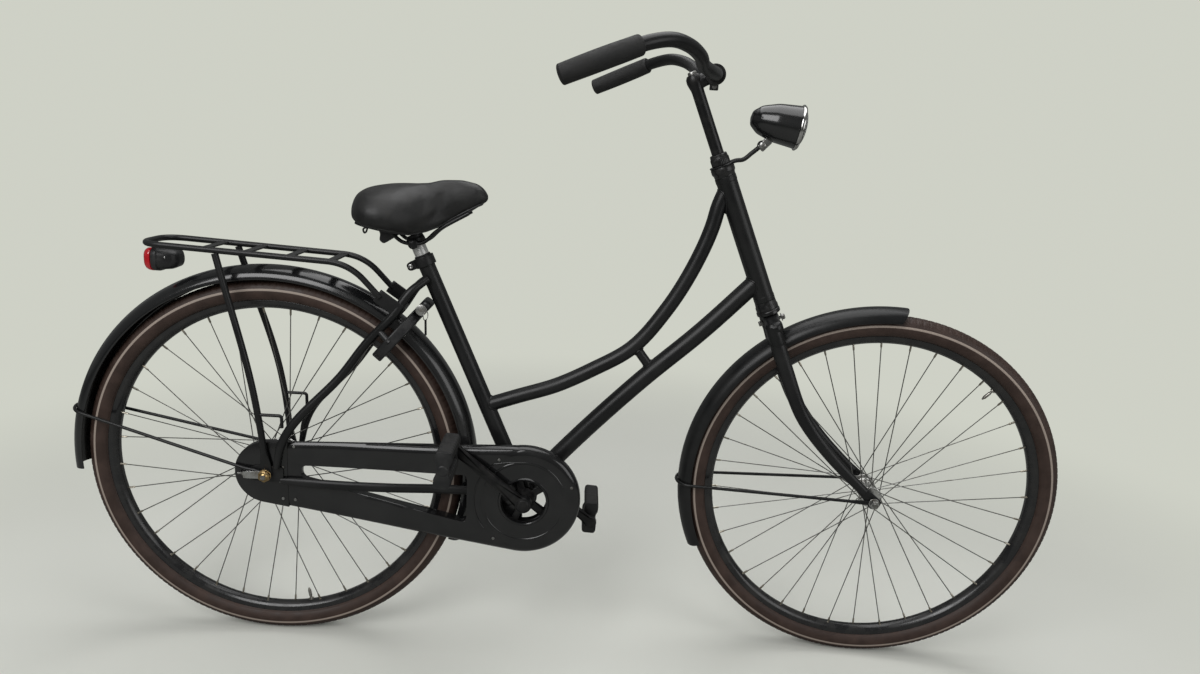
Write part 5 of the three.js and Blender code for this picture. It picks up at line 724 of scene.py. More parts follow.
def threaded(start, end, radius, pitch=1.0, depth=0.3):
    """Profile (radius, offset) of a thread: r = R - d (1 - cos(2 pi y / pitch)) / 2."""
    y = np.linspace(start, end, int(abs(end - start) / pitch * 8))
    ridges = radius - depth * (1 - np.cos(2 * math.pi * y / pitch)) / 2
    return np.concatenate([[(0.05, start)], np.stack([ridges, y], 1), [(0.05, end)]])


axle_zinc = aged_material("axle_zinc", (0.40, 0.40, 0.39), (0.17, 0.16, 0.14), 120, 5000, 0.28, 0.5, Metallic=1)
nut_brass = aged_material("nut_brass", (0.52, 0.36, 0.16), (0.28, 0.20, 0.11), 150, 6000, 0.22, 0.42, Metallic=1)
cones = [[(0.05, 43.4), (7.6, 43.4), (8, 44.2), (8, 47.6), (0.05, 48)],
         [(0.05, 51.4), (8, 51.4), (8, 59.6), (0.05, 59.6)],
         [(0.05, -59.6), (8, -59.6), (8, -57.6), (0.05, -57.4)]]
stack = [spun(threaded(-85, 76, AXLE_RADIUS), 20), domed_nut(72, 1), *(spun(cone, 40) for cone in cones)]
piece("rear_axle_stack", stack, "frame", axle_zinc, "bare_steel", ["rear_axle"])
piece("rear_dome_nut", domed_nut(NUT_FACE, -1, 9.6), "frame", nut_brass, "brass_plate", ["rear_axle_nut"])


# Chain tensioner: a plated strap round the axle, folded over the dropout's rear end, with its adjusting
# screw and lock nut behind.
plated = aged_material("zinc_strap", (0.50, 0.50, 0.49), (0.28, 0.26, 0.23), 90, 4000, 0.25, 0.45, Metallic=1)
strap_outline = [(-37.5, -6.4), (0, -6.4), (7, -6.2), (7, 6.2), (0, 6.4), (-37.5, 6.4)]
strap = slab(rounded(strap_outline, 4), -72.4, -74.4, -0.4)
fold = slab(rounded([(-39.4, -6), (-35.6, -6), (-35.6, 6), (-39.4, 6)], 1), -60.3, -74.2, -0.4)
screw = spun(threaded(-52, -36, 2.5, 0.9), 16, (0, -67.4, 0), (1, 0, 0))
lock_nut = spun(rounded([(2, -43.5), (4.6, -43.5), (4.6, -40), (2, -40)], 0.5), 6, (0, -67.4, 0), (1, 0, 0))
piece("tensioner_strap", [strap, fold, screw], "frame", plated, "bare_steel", ["chain_tensioner"])
piece("tensioner_lock_nut", lock_nut, "frame", axle_zinc, "bare_steel", closed_path=True, flat_above=25)


# Coaster brake arm: a flat black steel lever, keyed to the brake's cone on the left of the hub. A clip at
# its end holds it to the chain stay against the brake's turning force.
clip = chain_stay(1)[np.argmin(np.abs(chain_stay(1)[:, 0] - 158))]
arm_outline = [(-14, -6), (-8, -14), (4, -16), (clip[0] - 4, clip[2] - 8), (clip[0] + 3, clip[2]),
               (clip[0] - 4, clip[2] + 8), (8, 15), (-6, 15), (-14, 8)]
piece("coaster_brake_arm", slab(rounded(arm_outline, 6), 48, 51, 0.5), "frame", satin_black,
      "satin_black_paint", ["brake_arm"])


# Drive: a roller chain of steel links, the stamped rear sprocket, and the cartridge that is screwed into
# the bottom bracket shell. The chain case and the shell hide them, so their solids only take an oiled tone.
oiled = aged_material("oiled_chain", (0.10, 0.09, 0.08), (0.05, 0.04, 0.03), 300, 4000, 0.25, 0.5, Metallic=0.9)
for name in ("drive_chain", "rear_sprocket", "bottom_bracket_cartridge"):
    node = frame["nodes"][name]
    node.data.materials.clear()
    node.data.materials.append(oiled)


# Rear fender: black enamelled blade, rolled over at both edges, bent round the wheel. A wire stay hoops
# over it near its end and reaches the axle on both sides.
FENDER_WIDTH, FENDER_DEPTH, FENDER_SHEET, EDGE_ROLL, FENDER_STEPS, ROLL_STEPS = 60, 24, 1.6, 1.5, 41, 5
REAR_FENDER, REAR_FENDER_ENDS, REAR_STAY_ANGLE = 383, (-22, 183.8), 165.8


def fender_section():
    """Closed section (across, depth) of a blade: outside x = w sin(a), z = -d (1 - cos(a)) and the same
    drawn in by the sheet, with round rolls at the edges."""
    a = np.linspace(-math.pi / 2, math.pi / 2, FENDER_STEPS)
    half = FENDER_WIDTH / 2
    crease = 0.35 * np.exp(-((np.abs(a) - 0.50) / 0.05) ** 2)
    outside = np.stack([half * np.sin(a), -FENDER_DEPTH * (1 - np.cos(a)) - crease], 1)
    inset = FENDER_SHEET
    inside = np.stack([(half - inset) * np.sin(a), -inset - (FENDER_DEPTH - inset) * (1 - np.cos(a))], 1)[::-1]
    turn = np.linspace(0, math.pi, ROLL_STEPS + 2)[1:-1]
    roll = np.stack([EDGE_ROLL * np.cos(turn), -FENDER_DEPTH - EDGE_ROLL * 0.8 * np.sin(turn)], 1)
    right, left = (roll + (side * (half - EDGE_ROLL), 0) for side in (1, -1))
    return np.concatenate([outside, right, inside, left])


def fender_grid(radius, ends, count, slant=0):
    """The section swept along an arc about the hub: (r + z) (cos(b), sin(b)) and x across. At the first end
    the angle b grows by the slant towards the blade's edges, which cuts that end obliquely."""
    section = fender_section()
    share = np.linspace(0, 1, count)[:, None]
    first = ends[0] - slant * section[None, :, 1] / FENDER_DEPTH
    angle = np.radians(first + (ends[1] - first) * share)
    reach = radius + section[None, :, 1]
    across = np.broadcast_to(section[None, :, 0], (count, len(section)))
    return np.stack([reach * np.cos(angle), across, reach * np.sin(angle)], -1)


def close_ends(grid):
    """The swept grid with its end rings pulled to the sheet's middle line, so that the ends are closed
    edges and not caps: p_end(i) = (p(i) + partner(i)) / 2."""
    count = grid.shape[1]
    index = np.arange(count)
    partner = (2 * FENDER_STEPS - 1 + ROLL_STEPS - index) % count
    lips = (grid[[0, -1]] + grid[[0, -1]][:, partner]) / 2
    return np.concatenate([lips[:1], grid, lips[1:]])


def fender_piece(name, radius, ends, count, place, body, material, replaced, slant=0):
    """Blade of a fender: the swept section with its two ends closed as thin lips."""
    blade = close_ends(fender_grid(radius, ends, count, slant))
    piece(name, blade, body, material, "gloss_black_paint", replaced, place, lips=True, flat_above=50)


gloss_black = aged_material("gloss_black_enamel", (0.0075, 0.0078, 0.0085), (0.016, 0.016, 0.016), 7, 900, 0.16,
                            0.30, bump=0.05, depth=0.0003, Coat_Weight=0.5, Coat_Roughness=0.1)
fender_piece("rear_fender_blade", REAR_FENDER, REAR_FENDER_ENDS, 220, on_frame, "frame", gloss_black,
             ["rear_fender"])


def fender_stay(radius, angle, eye_from):
    """Grid of a wire stay in the plane of an angle: a leg from the axle, the fender's own outline raised
    by the wire's lift, and the other leg, its feet flattened."""
    lift, b = 3.3, math.radians(angle)
    a = np.linspace(-math.pi / 2, math.pi / 2, 25)
    reach = radius - FENDER_DEPTH * (1 - np.cos(a)) + lift * np.cos(a)
    hoop = np.stack([reach * math.cos(b), (FENDER_WIDTH / 2 + lift) * np.sin(a), reach * math.sin(b)], 1)
    foot = np.array([9 * math.cos(b), eye_from + 1.5, 9 * math.sin(b)])
    way = np.linspace(0, 1, 24)[:-1, None] ** 1.5
    right = foot * (1, -1, 1) + way * (hoop[0] - foot * (1, -1, 1))
    left = foot + way[::-1] * (hoop[-1] - foot)
    path = np.concatenate([right, hoop, left])
    distance = np.hypot(path[:, 0], path[:, 2])
    thin = np.interp(distance, [9, 16, 40], [0.45, 0.5, 1])
    return tube(path, 3 * thin, 12, (-math.sin(b), 0, math.cos(b)), np.interp(distance, [9, 16, 40], [3.4, 3, 1]))


def stay_piece(name, radius, angle, eye_from, bore, place, body, replaced):
    """A fender stay: its wire, and a ring at each end that the axle passes through."""
    wire = fender_stay(radius, angle, eye_from)
    piece(name, wire, body, satin_black, "satin_black_paint", replaced, place)
    eyes = [spun(rounded([(bore, side * eye_from), (9.8, side * eye_from), (9.8, side * (eye_from + 3)),
                          (bore, side * (eye_from + 3))], 0.6), 32) for side in (-1, 1)]
    piece(name + "_eyes", eyes, body, satin_black, "satin_black_paint", (), place, closed_path=True)


stay_piece("rear_stay_wire", REAR_FENDER, REAR_STAY_ANGLE, 68.9, 5.1, on_frame, "frame", ["rear_fender_stay"])


# Carrier: a hoop of 11 mm tube with four flat cross strips, bent down at the front to two plates on the
# seat stays. Two struts carry it, pressed flat at the axle and bent, each with a wire hook.
RAIL_REAR, RAIL_FRONT, RAIL_FOOT = (-212, 416), (153, 400), (207, 342)
RAIL_HALF, RAIL_RADIUS = 50, 5.5
STRIP_SHARES = [0.296, 0.494, 0.7, 0.905]
STRUT_TOP, STRUT_WAIST, STRUT_OUT, STRUT_RADIUS, STRUT_EYE = -81, (-14, 141), 68.3, 6, 65.3


def rail_height(x):
    """Height of the rails' middle line at x."""
    return RAIL_REAR[1] + (RAIL_FRONT[1] - RAIL_REAR[1]) * (x - RAIL_REAR[0]) / (RAIL_FRONT[0] - RAIL_REAR[0])


def bent(points, radius, count=10):
    """Open path of straight runs with a curve in place of each corner between them."""
    points = np.asarray(points, float)
    inner = points[1:-1]
    turn = turned(inner, points[:-2] - inner, points[2:] - inner, np.reshape(radius, (-1, 1)), 0.49, count)
    return np.concatenate([points[:1], turn, points[-1:]])


def plank(start, end, wide, thick, across, edge=0.8, rows=12):
    """Grid of a flat bar: a rounded rectangle swept from start to end, its ends drawn in by the edge."""
    start, end = np.asarray(start, float), np.asarray(end, float)
    way = unit(end - start)
    across = unit(np.asarray(across, float) - np.asarray(across, float) @ way * way)
    up = np.cross(way, across)
    box = rounded([(-wide / 2, -thick / 2), (wide / 2, -thick / 2), (wide / 2, thick / 2),
                   (-wide / 2, thick / 2)], 0.45 * thick, 3)
    length = np.linalg.norm(end - start)
    place = np.r_[0, 0.3 * edge, edge, np.linspace(edge, length - edge, rows)[1:-1], length - edge,
                  length - 0.3 * edge, length]
    drawn = np.r_[edge, 0.3 * edge, 0, np.zeros(rows - 2), 0, 0.3 * edge, edge]
    x = np.sign(box[:, 0]) * np.maximum(np.abs(box[:, 0])[None] - drawn[:, None], 0.01)
    z = np.sign(box[:, 1]) * np.maximum(np.abs(box[:, 1])[None] - drawn[:, None], 0.01)
    return start + place[:, None, None] * way + x[..., None] * across + z[..., None] * up


side_points = [(x, RAIL_HALF, z) for x, z in (RAIL_REAR, RAIL_FRONT, RAIL_FOOT)]
loop = [(x, -y, z) for x, y, z in reversed(side_points)] + side_points
rail_path = bent(loop, [40, 38, 38, 40], 14)
rail_grid = tube(rail_path, RAIL_RADIUS, 24, (0.26, 0, 0.97))
strips = [plank((x, -RAIL_HALF, rail_height(x) + 0.4), (x, RAIL_HALF, rail_height(x) + 0.4), 16, 3.4, (1, 0, 0))
          for x in (RAIL_REAR[0] + share * (RAIL_FRONT[0] - RAIL_REAR[0]) for share in STRIP_SHARES)]
foot_reach = math.hypot(*RAIL_FOOT)
feet = []
for side in (-1, 1):
    stay = stay_at(side, foot_reach)
    start = np.array([RAIL_FOOT[0], stay[1] + side * 5, RAIL_FOOT[1]])
    end = np.array([stay[0], stay[1] + side * 5, stay[2]])
    way = unit(end - start)
    feet.append(plank(start - 6.5 * way, end + 6.5 * way, 26, 4.6, np.cross(way, (0, 1, 0)), 1.2))
piece("carrier_hoop", [rail_grid, *strips, *feet], "frame", satin_black, "satin_black_paint", ["carrier_rack"])

for side, name in ((-1, "right"), (1, "left")):
    eye = side * (STRUT_EYE + 1.5)
    rail_end = np.array([STRUT_TOP, side * RAIL_HALF, rail_height(STRUT_TOP) - RAIL_RADIUS])
    path = curve([(0, eye, -9), (0, eye, 12), (-1, eye, 26), (STRUT_WAIST[0], side * STRUT_OUT, STRUT_WAIST[1]),
                  rail_end], np.r_[0, 0.012, 0.03, np.linspace(0.05, 0.12, 6), np.linspace(0.15, 1, 30)])
    height = path[:, 2]
    press = np.interp(height, [-9, 22, 42], [1.5, 1.5, STRUT_RADIUS])
    spread = np.interp(height, [-9, -4, 2, 20, 42], [4, 8.5, 9.8, 9.6, STRUT_RADIUS]) / press
    strut = tube(path, press, 24, (1, 0, 0), spread)
    root = np.array([STRUT_WAIST[0] * 0.82, side * STRUT_OUT, 116])
    hook = bent([root, root + (44, 0, 0), root + (44, 0, -23)], 6)
    hook_bar = tube(hook, 3, 12, (0, 1, 0))
    piece(f"carrier_leg_{name}", [strut, hook_bar], "frame", satin_black, "satin_black_paint",
          [f"carrier_strut_{name}"])


# Tail lamp: a moulded black plastic housing on a tab under the hoop, with a red lens of fine prisms clipped
# to its rear face and a steel screw on each side.
TAIL_X, TAIL_TOP, TAIL_HIGH, TAIL_LENS = -206.5, 407, 46, 16


def oval_grid(places, power=3.2, count=64):
    """Grid of superellipse sections square to x: |y / w|^n + |z / h|^n = 1, one for each row of
    (x, half width, half height, middle z)."""
    a = np.linspace(0, 2 * math.pi, count, endpoint=False)
    y = np.sign(np.cos(a)) * np.abs(np.cos(a)) ** (2 / power)
    z = np.sign(np.sin(a)) * np.abs(np.sin(a)) ** (2 / power)
    return np.stack([np.stack([np.full(count, x), wide * y, middle + high * z], 1)
                     for x, wide, high, middle in places])


tail_middle = TAIL_TOP - TAIL_HIGH / 2
housing_rows = [(TAIL_X + 0.2, 24, 18), (TAIL_X + 1, 28.6, 21.6), (TAIL_X + 3, 29.6, 22.6),
                (TAIL_X + 10, 29.6, 22.6), (TAIL_X + 12, 27, 20.5), (TAIL_X + 30, 24, 18.5),
                (TAIL_X + 39, 19, 14.5), (TAIL_X + 43, 12, 9)]
housing = oval_grid([(x, wide, high, tail_middle) for x, wide, high in housing_rows])
tab = plank((TAIL_X - 3, 0, TAIL_TOP - 3.5), (TAIL_X + 9, 0, TAIL_TOP - 3.5), 28, 5, (0, 1, 0))
screw_rows = [(0.05, -3.2), (2.6, -3.2), (2.6, -0.4), (2.2, 0.4), (1.2, 0.8), (0.05, 0.5)]
tail_screws = [spun(screw_rows, 20, (TAIL_X + 24, side * 24.2, tail_middle + 4), (0, side, 0))
               for side in (-1, 1)]
moulded_black = aged_material("moulded_black_plastic", (0.011, 0.011, 0.012), (0.024, 0.024, 0.024), 40, 2200,
                              0.34, 0.52, bump=0.14, depth=0.0003)
piece("tail_lamp_housing", [housing, tab], "frame", moulded_black, "black_plastic", ["tail_lamp_body"])
piece("tail_lamp_screws", tail_screws, "frame", plated, "bare_steel")

swell = np.linspace(0, 1, 12)
shrink = np.sqrt(1 - 0.72 * swell ** 2.6)
lens_rows = np.stack([TAIL_X - 0.4 - TAIL_LENS * swell, 29 * shrink, 22.3 * shrink,
                      np.full(len(swell), tail_middle - 0.4)], 1)
lens_shape = oval_grid(lens_rows)
under_tab = np.clip((lens_shape[..., 2] - (TAIL_TOP - 7.5)), 0, None)
lens_shape[..., 2] -= under_tab * np.clip(1 - np.abs(lens_shape[..., 1]) / 17, 0, 1) ** 0.3
red_lens = aged_material("tail_red_lens", (0.42, 0.006, 0.012), (0.30, 0.004, 0.008), 60, 900, 0.08, 0.2,
                         bump=0.5, depth=0.0008, Emission_Strength=0.25, Coat_Weight=0.8, Coat_Roughness=0.05)
tree = red_lens.node_tree
principled = tree.nodes["Principled BSDF"]
place, prisms = put(tree, "ShaderNodeTexCoord"), put(tree, "ShaderNodeTexVoronoi", {"Scale": 300.0})
aged, relief = (principled.inputs[socket].links[0].from_node for socket in ("Base Color", "Normal"))
join(tree, (place, "Object", prisms, "Vector"), (prisms, "Distance", relief, "Height"),
     (aged, "Color", principled, "Emission Color"))
piece("tail_lamp_glass", lens_shape, "frame", red_lens, "red_lens", ["tail_lamp_lens"], flat_above=40)


# Ring lock: a black steel horseshoe over the tyre, on two lugs at the seat stays. Its shackle slides inside
# the ring, and the key stands in the cylinder's case with a split ring and a short strap.
LOCK_ANGLE, LOCK_STAND, LOCK_RADIUS, LOCK_OPEN = math.radians(49), 346, 52, 140
lock_out = np.array([math.cos(LOCK_ANGLE), 0, math.sin(LOCK_ANGLE)])
lock_normal = np.array([math.sin(LOCK_ANGLE), 0, -math.cos(LOCK_ANGLE)])
lock_across = np.array([0, -1.0, 0])


def lock_place(turn, radius, step=0.0):
    """Point about the ring's middle: c + r (cos(t) out + sin(t) across) + step normal, t in degrees."""
    t = np.radians(np.asarray(turn, float))[..., None]
    radius, step = np.asarray(radius, float)[..., None], np.asarray(step, float)[..., None]
    return LOCK_STAND * lock_out + radius * (np.cos(t) * lock_out + np.sin(t) * lock_across) + step * lock_normal


def lock_arc(section, start, end, count, drawn=0.0):
    """Section (radial, normal) swept round the ring's middle, its two ends drawn in by a share."""
    turn = np.linspace(start, end, count)
    near = np.minimum(turn - start, end - turn) / 3
    scale = 1 - drawn * np.clip(1 - near, 0, 1)[:, None] ** 2
    return lock_place(np.broadcast_to(turn[:, None], (count, len(section))),
                      LOCK_RADIUS + section[None, :, 0] * scale, section[None, :, 1] * scale)


band = rounded([(-10, -10), (8, -10), (10, -8), (10, 8), (8, 10), (-10, 10)], 3.5, 4)
case_box = plank(lock_place(0, 61), lock_place(0, 91.5), 45, 19.6, (0, 1, 0), 3.5, 16)
lugs = []
for side in (-1, 1):
    stay = stay_at(side, LOCK_STAND)
    foot = lock_place(-90.0 * side, 58.5)
    lugs.append(tube(curve([foot, foot + (stay - foot) * 0.98], shares[::11]), 6, 20, lock_out))
bore = 5.3 * band / np.linalg.norm(band, axis=1, keepdims=True)
ring_outside = lock_arc(band, -LOCK_OPEN, LOCK_OPEN, 90, 0.35)
ring_inside = lock_arc(bore, -LOCK_OPEN, LOCK_OPEN, 90)[::-1]
piece("ring_lock_shell", np.concatenate([ring_outside, ring_inside]), "frame", moulded_black,
      "satin_black_paint", ["ring_lock_body"], closed_path=True)
piece("ring_lock_case", [case_box, *lugs], "frame", moulded_black, "satin_black_paint")
rivets = [spun([(0.05, -1), (2.6, -1), (2.6, 0.4), (1.6, 1.3), (0.05, 1.5)], 20, lock_place(turn, 54, 10),
               lock_normal) for turn in (-120.0, -62.0, 62.0, 120.0)]
piece("ring_lock_rivets", rivets, "frame", plated, "bare_steel")

turn = np.linspace(0, 2 * math.pi, 20, endpoint=False)
bow = 4.4 * np.stack([np.cos(turn), np.sin(turn)], 1)
piece("lock_shackle_bar", lock_arc(bow, 8, 137, 60, 0.5), "lock_shackle", plated, "bare_steel", ["lock_shackle"])


def key_place(distance):
    """Point on the key's line, outwards from the case's right face."""
    return lock_place(0, 77.0) + np.array([0, -23 - distance, 0])


key_stem = tube(curve([key_place(-14), key_place(10)], shares[::11]), 2.4, 16, lock_out)
key_outline = rounded([(-5, -10), (5, -10), (10, -4), (10, 4), (5, 10), (-5, 10), (-10, 4), (-10, -4)], 5, 4)
key_head = np.stack([key_place(y) + drawn * (key_outline[:, :1] * lock_out + key_outline[:, 1:] * lock_normal)
                     for y, drawn in ((9.4, 0.93), (9.8, 1), (11.6, 1), (12, 0.93))])
piece("key_in_lock", [key_stem, key_head], "frame", plated, "bare_steel", ["lock_key"])
turn = np.linspace(0, 2 * math.pi, 40, endpoint=False)
ring_middle = key_place(10.7) + np.array([8, 0, -10])
ring_path = ring_middle + 8 * np.stack([np.cos(turn) * 0.35, np.cos(turn) * 0.94, np.sin(turn)], 1)
ring_out = unit(ring_path - ring_middle)
ring_side = unit(np.cross(ring_out, np.roll(ring_path, -1, 0) - ring_path))
piece("key_split_ring", around(ring_path, ring_out, ring_side, 0.8, 0.8, 8), "frame", plated, "bare_steel",
      closed_path=True)
strap_top = ring_middle + np.array([0, 0, -7])
tab_grid = plank(strap_top, strap_top + (0.5, 0, -30), 6, 1.6, (0.35, 0.94, 0), 1.2)
piece("key_strap", tab_grid, "frame", moulded_black, "black_plastic")


# Seat clamp: a split collar of black steel round the seat tube's top, with two ears that a bolt behind
# draws together.
clamp_start = SEAT_TOP - seat_up * 21.5
clamp_back = np.array([-seat_up[2], 0, seat_up[0]])
collar = spun(rounded([(15.3, 0), (18.8, 0), (18.8, 18), (15.3, 18)], 1.2), 48, clamp_start, seat_up)
ear_middle = clamp_start + seat_up * 9 + clamp_back * 24.3
outline = rounded([(-9, -8), (4, -8), (9, -5), (9, 5), (4, 8), (-9, 8)], 4, 4)
ear_face = outline[:, :1] * clamp_back + outline[:, 1:] * seat_up
ears = [np.stack([ear_middle + drawn * ear_face + (0, side * y, 0)
                  for y, drawn in ((1.2, 0.95), (1.7, 1), (7, 1), (7.5, 0.95))]) for side in (-1, 1)]
bolt = spun([(0.05, -9.5), (2.6, -10.5), (4.6, -10), (4.9, -7.6), (2.9, -7.5), (2.9, 7.5), (5, 7.6), (5, 11),
             (2.6, 11.4), (0.05, 11)], 24, ear_middle + clamp_back * 2)
piece("seat_collar_ring", collar, "frame", satin_black, "satin_black_paint", ["seat_clamp"], closed_path=True)
piece("seat_collar_ears", ears, "frame", satin_black, "satin_black_paint")
piece("seat_collar_bolt", bolt, "frame", axle_zinc, "bare_steel")


# Seatpost and saddle frame: a polished post, a clamp with ridged washers, two wire rails under a plastic
# pan, and the wire loop and clip that hang behind.
SADDLE_REAR, SADDLE_LONG, SADDLE_FOOT, SADDLE_RISE, SADDLE_HIGH, SADDLE_HALF = 150, 244, 457, 62, 84, 106
BASE_ROWS = [(0, 0.27), (0.12, 0.19), (0.25, 0.11), (0.45, 0), (0.55, 0.08), (0.65, 0.24), (0.8, 0.6),
             (0.92, 0.86), (1, 1)]


def saddle_base(share):
    """Height of the saddle's underside at a share of its length."""
    return SADDLE_FOOT + SADDLE_RISE * np.interp(share, *zip(*BASE_ROWS))


chrome = aged_material("chromed_steel", (0.66, 0.66, 0.65), (0.42, 0.41, 0.39), 70, 5000, 0.06, 0.2, bump=0.03,
                       Metallic=1)
post = spun([(0.05, -115), (12.6, -115), (13, -114), (13, 37), (12.6, 38), (0.05, 38)], 48, SEAT_TOP, seat_up)
post_alloy = aged_material("polished_post_alloy", (0.86, 0.86, 0.84), (0.7, 0.69, 0.66), 70, 3000, 0.26, 0.42,
                           bump=0.05, Metallic=0.7)
piece("polished_seatpost", post, "seat", post_alloy, "chrome_plate", ["seatpost"])
rail_x = SADDLE_REAR + SADDLE_LONG * 0.45
rail_z = saddle_base(0.45) - 19.8
collar_rows = [(13.2, 22), (16.6, 22), (17, 24), (17, 30), (16, 34), (16, 39), (13.2, 39.4)]
sleeve = spun(rounded(collar_rows, 0.8), 40, SEAT_TOP, seat_up)
drum_rows = [(0.05, -27), (6, -27), (9, -25), (9.3, -21), (9.3, -15), (7.5, -13), (7.5, 13), (9.3, 15),
             (9.3, 21), (9, 25), (6, 27), (0.05, 27)]
drum = spun(drum_rows, 36, (rail_x, 0, rail_z))
RAILS = [(0.1, 0), (0.26, 0), (0.38, 1), (0.52, 1), (0.62, 0.2), (0.86, 0)]
RAIL_APART, RAIL_DROP = 22, 16
rails = []
for side in (-1, 1):
    points = [(SADDLE_REAR + SADDLE_LONG * share, side * RAIL_APART, saddle_base(share) - 3.8 - RAIL_DROP * low)
              for share, low in RAILS]
    rails.append(tube(curve(points, shares[::2]), 3.5, 16))
hang_x, hang_z = SADDLE_REAR + 24, saddle_base(0.1) - 5
loop_points = [(hang_x + 12, -16, hang_z), (hang_x - 4, -16, hang_z - 6), (hang_x - 5, -8, hang_z - 13),
               (hang_x - 5, 8, hang_z - 13), (hang_x - 4, 16, hang_z - 6), (hang_x + 12, 16, hang_z)]
wire_loop = tube(curve(loop_points, shares[::2]), 1.7, 10, (0.3, 0, 1))
clip_outline = rounded([(0, 0), (40, 6), (44, -2), (30, -13), (10, -26), (2, -20), (4, -8)], 4, 4)
clip_block = slab(clip_outline + (hang_x + 20, hang_z - 6), -9, 9, 1.2)
piece("saddle_rails", [*rails, drum, wire_loop], "seat", satin_black, "satin_black_paint", ["saddle_frame"])
piece("saddle_clamp_sleeve", sleeve, "seat", satin_black, "satin_black_paint", closed_path=True)
piece("saddle_rear_clip", clip_block, "seat", moulded_black, "black_plastic")


# Saddle cover: foam under black vinyl over the plastic pan, wide behind and narrow in front. The foam is
# drawn to size with a cloth simulation, and its vinyl is tucked under the pan.
PLAN_ROWS = [(0, 0.3), (0.03, 0.56), (0.08, 0.8), (0.16, 0.95), (0.25, 1), (0.36, 0.95), (0.46, 0.78),
             (0.56, 0.53), (0.66, 0.36), (0.76, 0.28), (0.86, 0.24), (0.94, 0.2), (0.985, 0.13), (1, 0.06)]
CROWN_ROWS = [(0, 0.37), (0.04, 0.63), (0.12, 0.79), (0.25, 0.89), (0.45, 1), (0.65, 0.93), (0.8, 0.73),
              (0.92, 0.49), (0.98, 0.29), (1, 0.13)]
SECTION_ROWS = [(0, 1), (0.3, 0.985), (0.58, 0.92), (0.8, 0.79), (0.94, 0.58), (1, 0.36), (0.98, 0.2),
                (0.9, 0.07), (0.74, 0)]


def saddle_half(share):
    """Half-width and height of the cover at shares of its length, read smoothly from their tables."""
    ease = np.stack([share + step for step in (-0.02, -0.01, 0, 0.01, 0.02)])
    ease = np.clip(ease, 0, 1)
    wide = np.mean([np.interp(row, *zip(*PLAN_ROWS)) for row in ease], 0)
    high = np.mean([np.interp(row, *zip(*CROWN_ROWS)) for row in ease], 0)
    return SADDLE_HALF * wide, SADDLE_HIGH * high


def saddle_section(count=12):
    """Closed section (width share, height share): the table's points joined by a smooth curve, mirrored."""
    right = curve(np.array([(w, 0.0, h) for w, h in SECTION_ROWS]), np.linspace(0, 1, 3 * count))[:, [0, 2]]
    return np.concatenate([right, right[1:][::-1] * (-1, 1)])


def saddle_form(inset):
    """The cover as a grid along its length, drawn in all round by the inset."""
    share = np.r_[0.004, 0.012, np.linspace(0.03, 0.97, 64), 0.988, 0.996]
    wide, high = saddle_half(share)
    section = saddle_section()
    foot = saddle_base(share)
    x = SADDLE_REAR + inset + (SADDLE_LONG - 2 * inset) * share
    y = section[None, :, 0] * (wide - inset)[:, None]
    z = foot[:, None] + inset * 0.5 + section[None, :, 1] * (high - 1.5 * inset)[:, None]
    return np.stack([np.broadcast_to(x[:, None], y.shape), y, z], -1)


VOXEL, PRESSURE, SWELL_FRAMES, SWELL_MOST, TUCK_FROM = 0.005, 4, 20, 0.005, 470


def grain_noise(co):
    """Wide shallow dents d = sum of products of sines, in place of a pressed foam's unevenness."""
    return (np.sin(co[:, 0] * 41 + 1.3) * np.sin(co[:, 1] * 37 + 0.4)
            + 0.5 * np.sin(co[:, 0] * 83) * np.sin(co[:, 1] * 71 + co[:, 2] * 60)) / 1.5


cushion = skin("padded_saddle_cover", on_frame(saddle_form(2.6)))
remesh = cushion.modifiers.new("even", "REMESH")
remesh.mode, remesh.voxel_size = "VOXEL", VOXEL
cloth = cushion.modifiers.new("swell", "CLOTH")
cloth.settings.use_pressure, cloth.settings.uniform_pressure_force = True, PRESSURE
cloth.settings.effector_weights.gravity = 0
bpy.context.view_layer.update()
scene = bpy.context.scene
scene.frame_set(1)
flat = cushion.evaluated_get(bpy.context.evaluated_depsgraph_get()).to_mesh()
start = np.zeros(len(flat.vertices) * 3)
flat.vertices.foreach_get("co", start)
for frame_number in range(1, SWELL_FRAMES + 1):
    scene.frame_set(frame_number)
swollen = bpy.data.meshes.new_from_object(cushion.evaluated_get(bpy.context.evaluated_depsgraph_get()))
reached = np.zeros(len(swollen.vertices) * 3)
swollen.vertices.foreach_get("co", reached)
start, reached = start.reshape(-1, 3), reached.reshape(-1, 3)
move = reached - start
far = np.linalg.norm(move, axis=1, keepdims=True)
reached = start + move * np.minimum(1, SWELL_MOST / np.maximum(far, 1e-9))
under = np.clip((start[:, 2:] - on_frame([0, 0, TUCK_FROM])[2]) / 0.02, 0.25, 1)
reached = start + (reached - start) * under + np.array([0, 0, 0.0005]) * grain_noise(start)[:, None]
swollen.vertices.foreach_set("co", reached.ravel())
cushion.modifiers.clear()
cushion.data = swollen
scene.frame_set(1)
swollen.shade_smooth()
even = cushion.modifiers.new("smooth", "SUBSURF")
even.levels = even.render_levels = 1
vinyl = aged_material("saddle_black_vinyl", (0.009, 0.009, 0.009), (0.018, 0.0175, 0.017), 26, 2400, 0.4, 0.56,
                      bump=0.35, depth=0.0006)
dress(cushion, "seat", vinyl, ["saddle_cushion"])
pan_share = np.linspace(0.06, 0.94, 40)
pan_wide = saddle_half(pan_share)[0]
pan_section = rounded([(-1, 0), (1, 0), (1, 1), (-1, 1)], 0.3, 4)
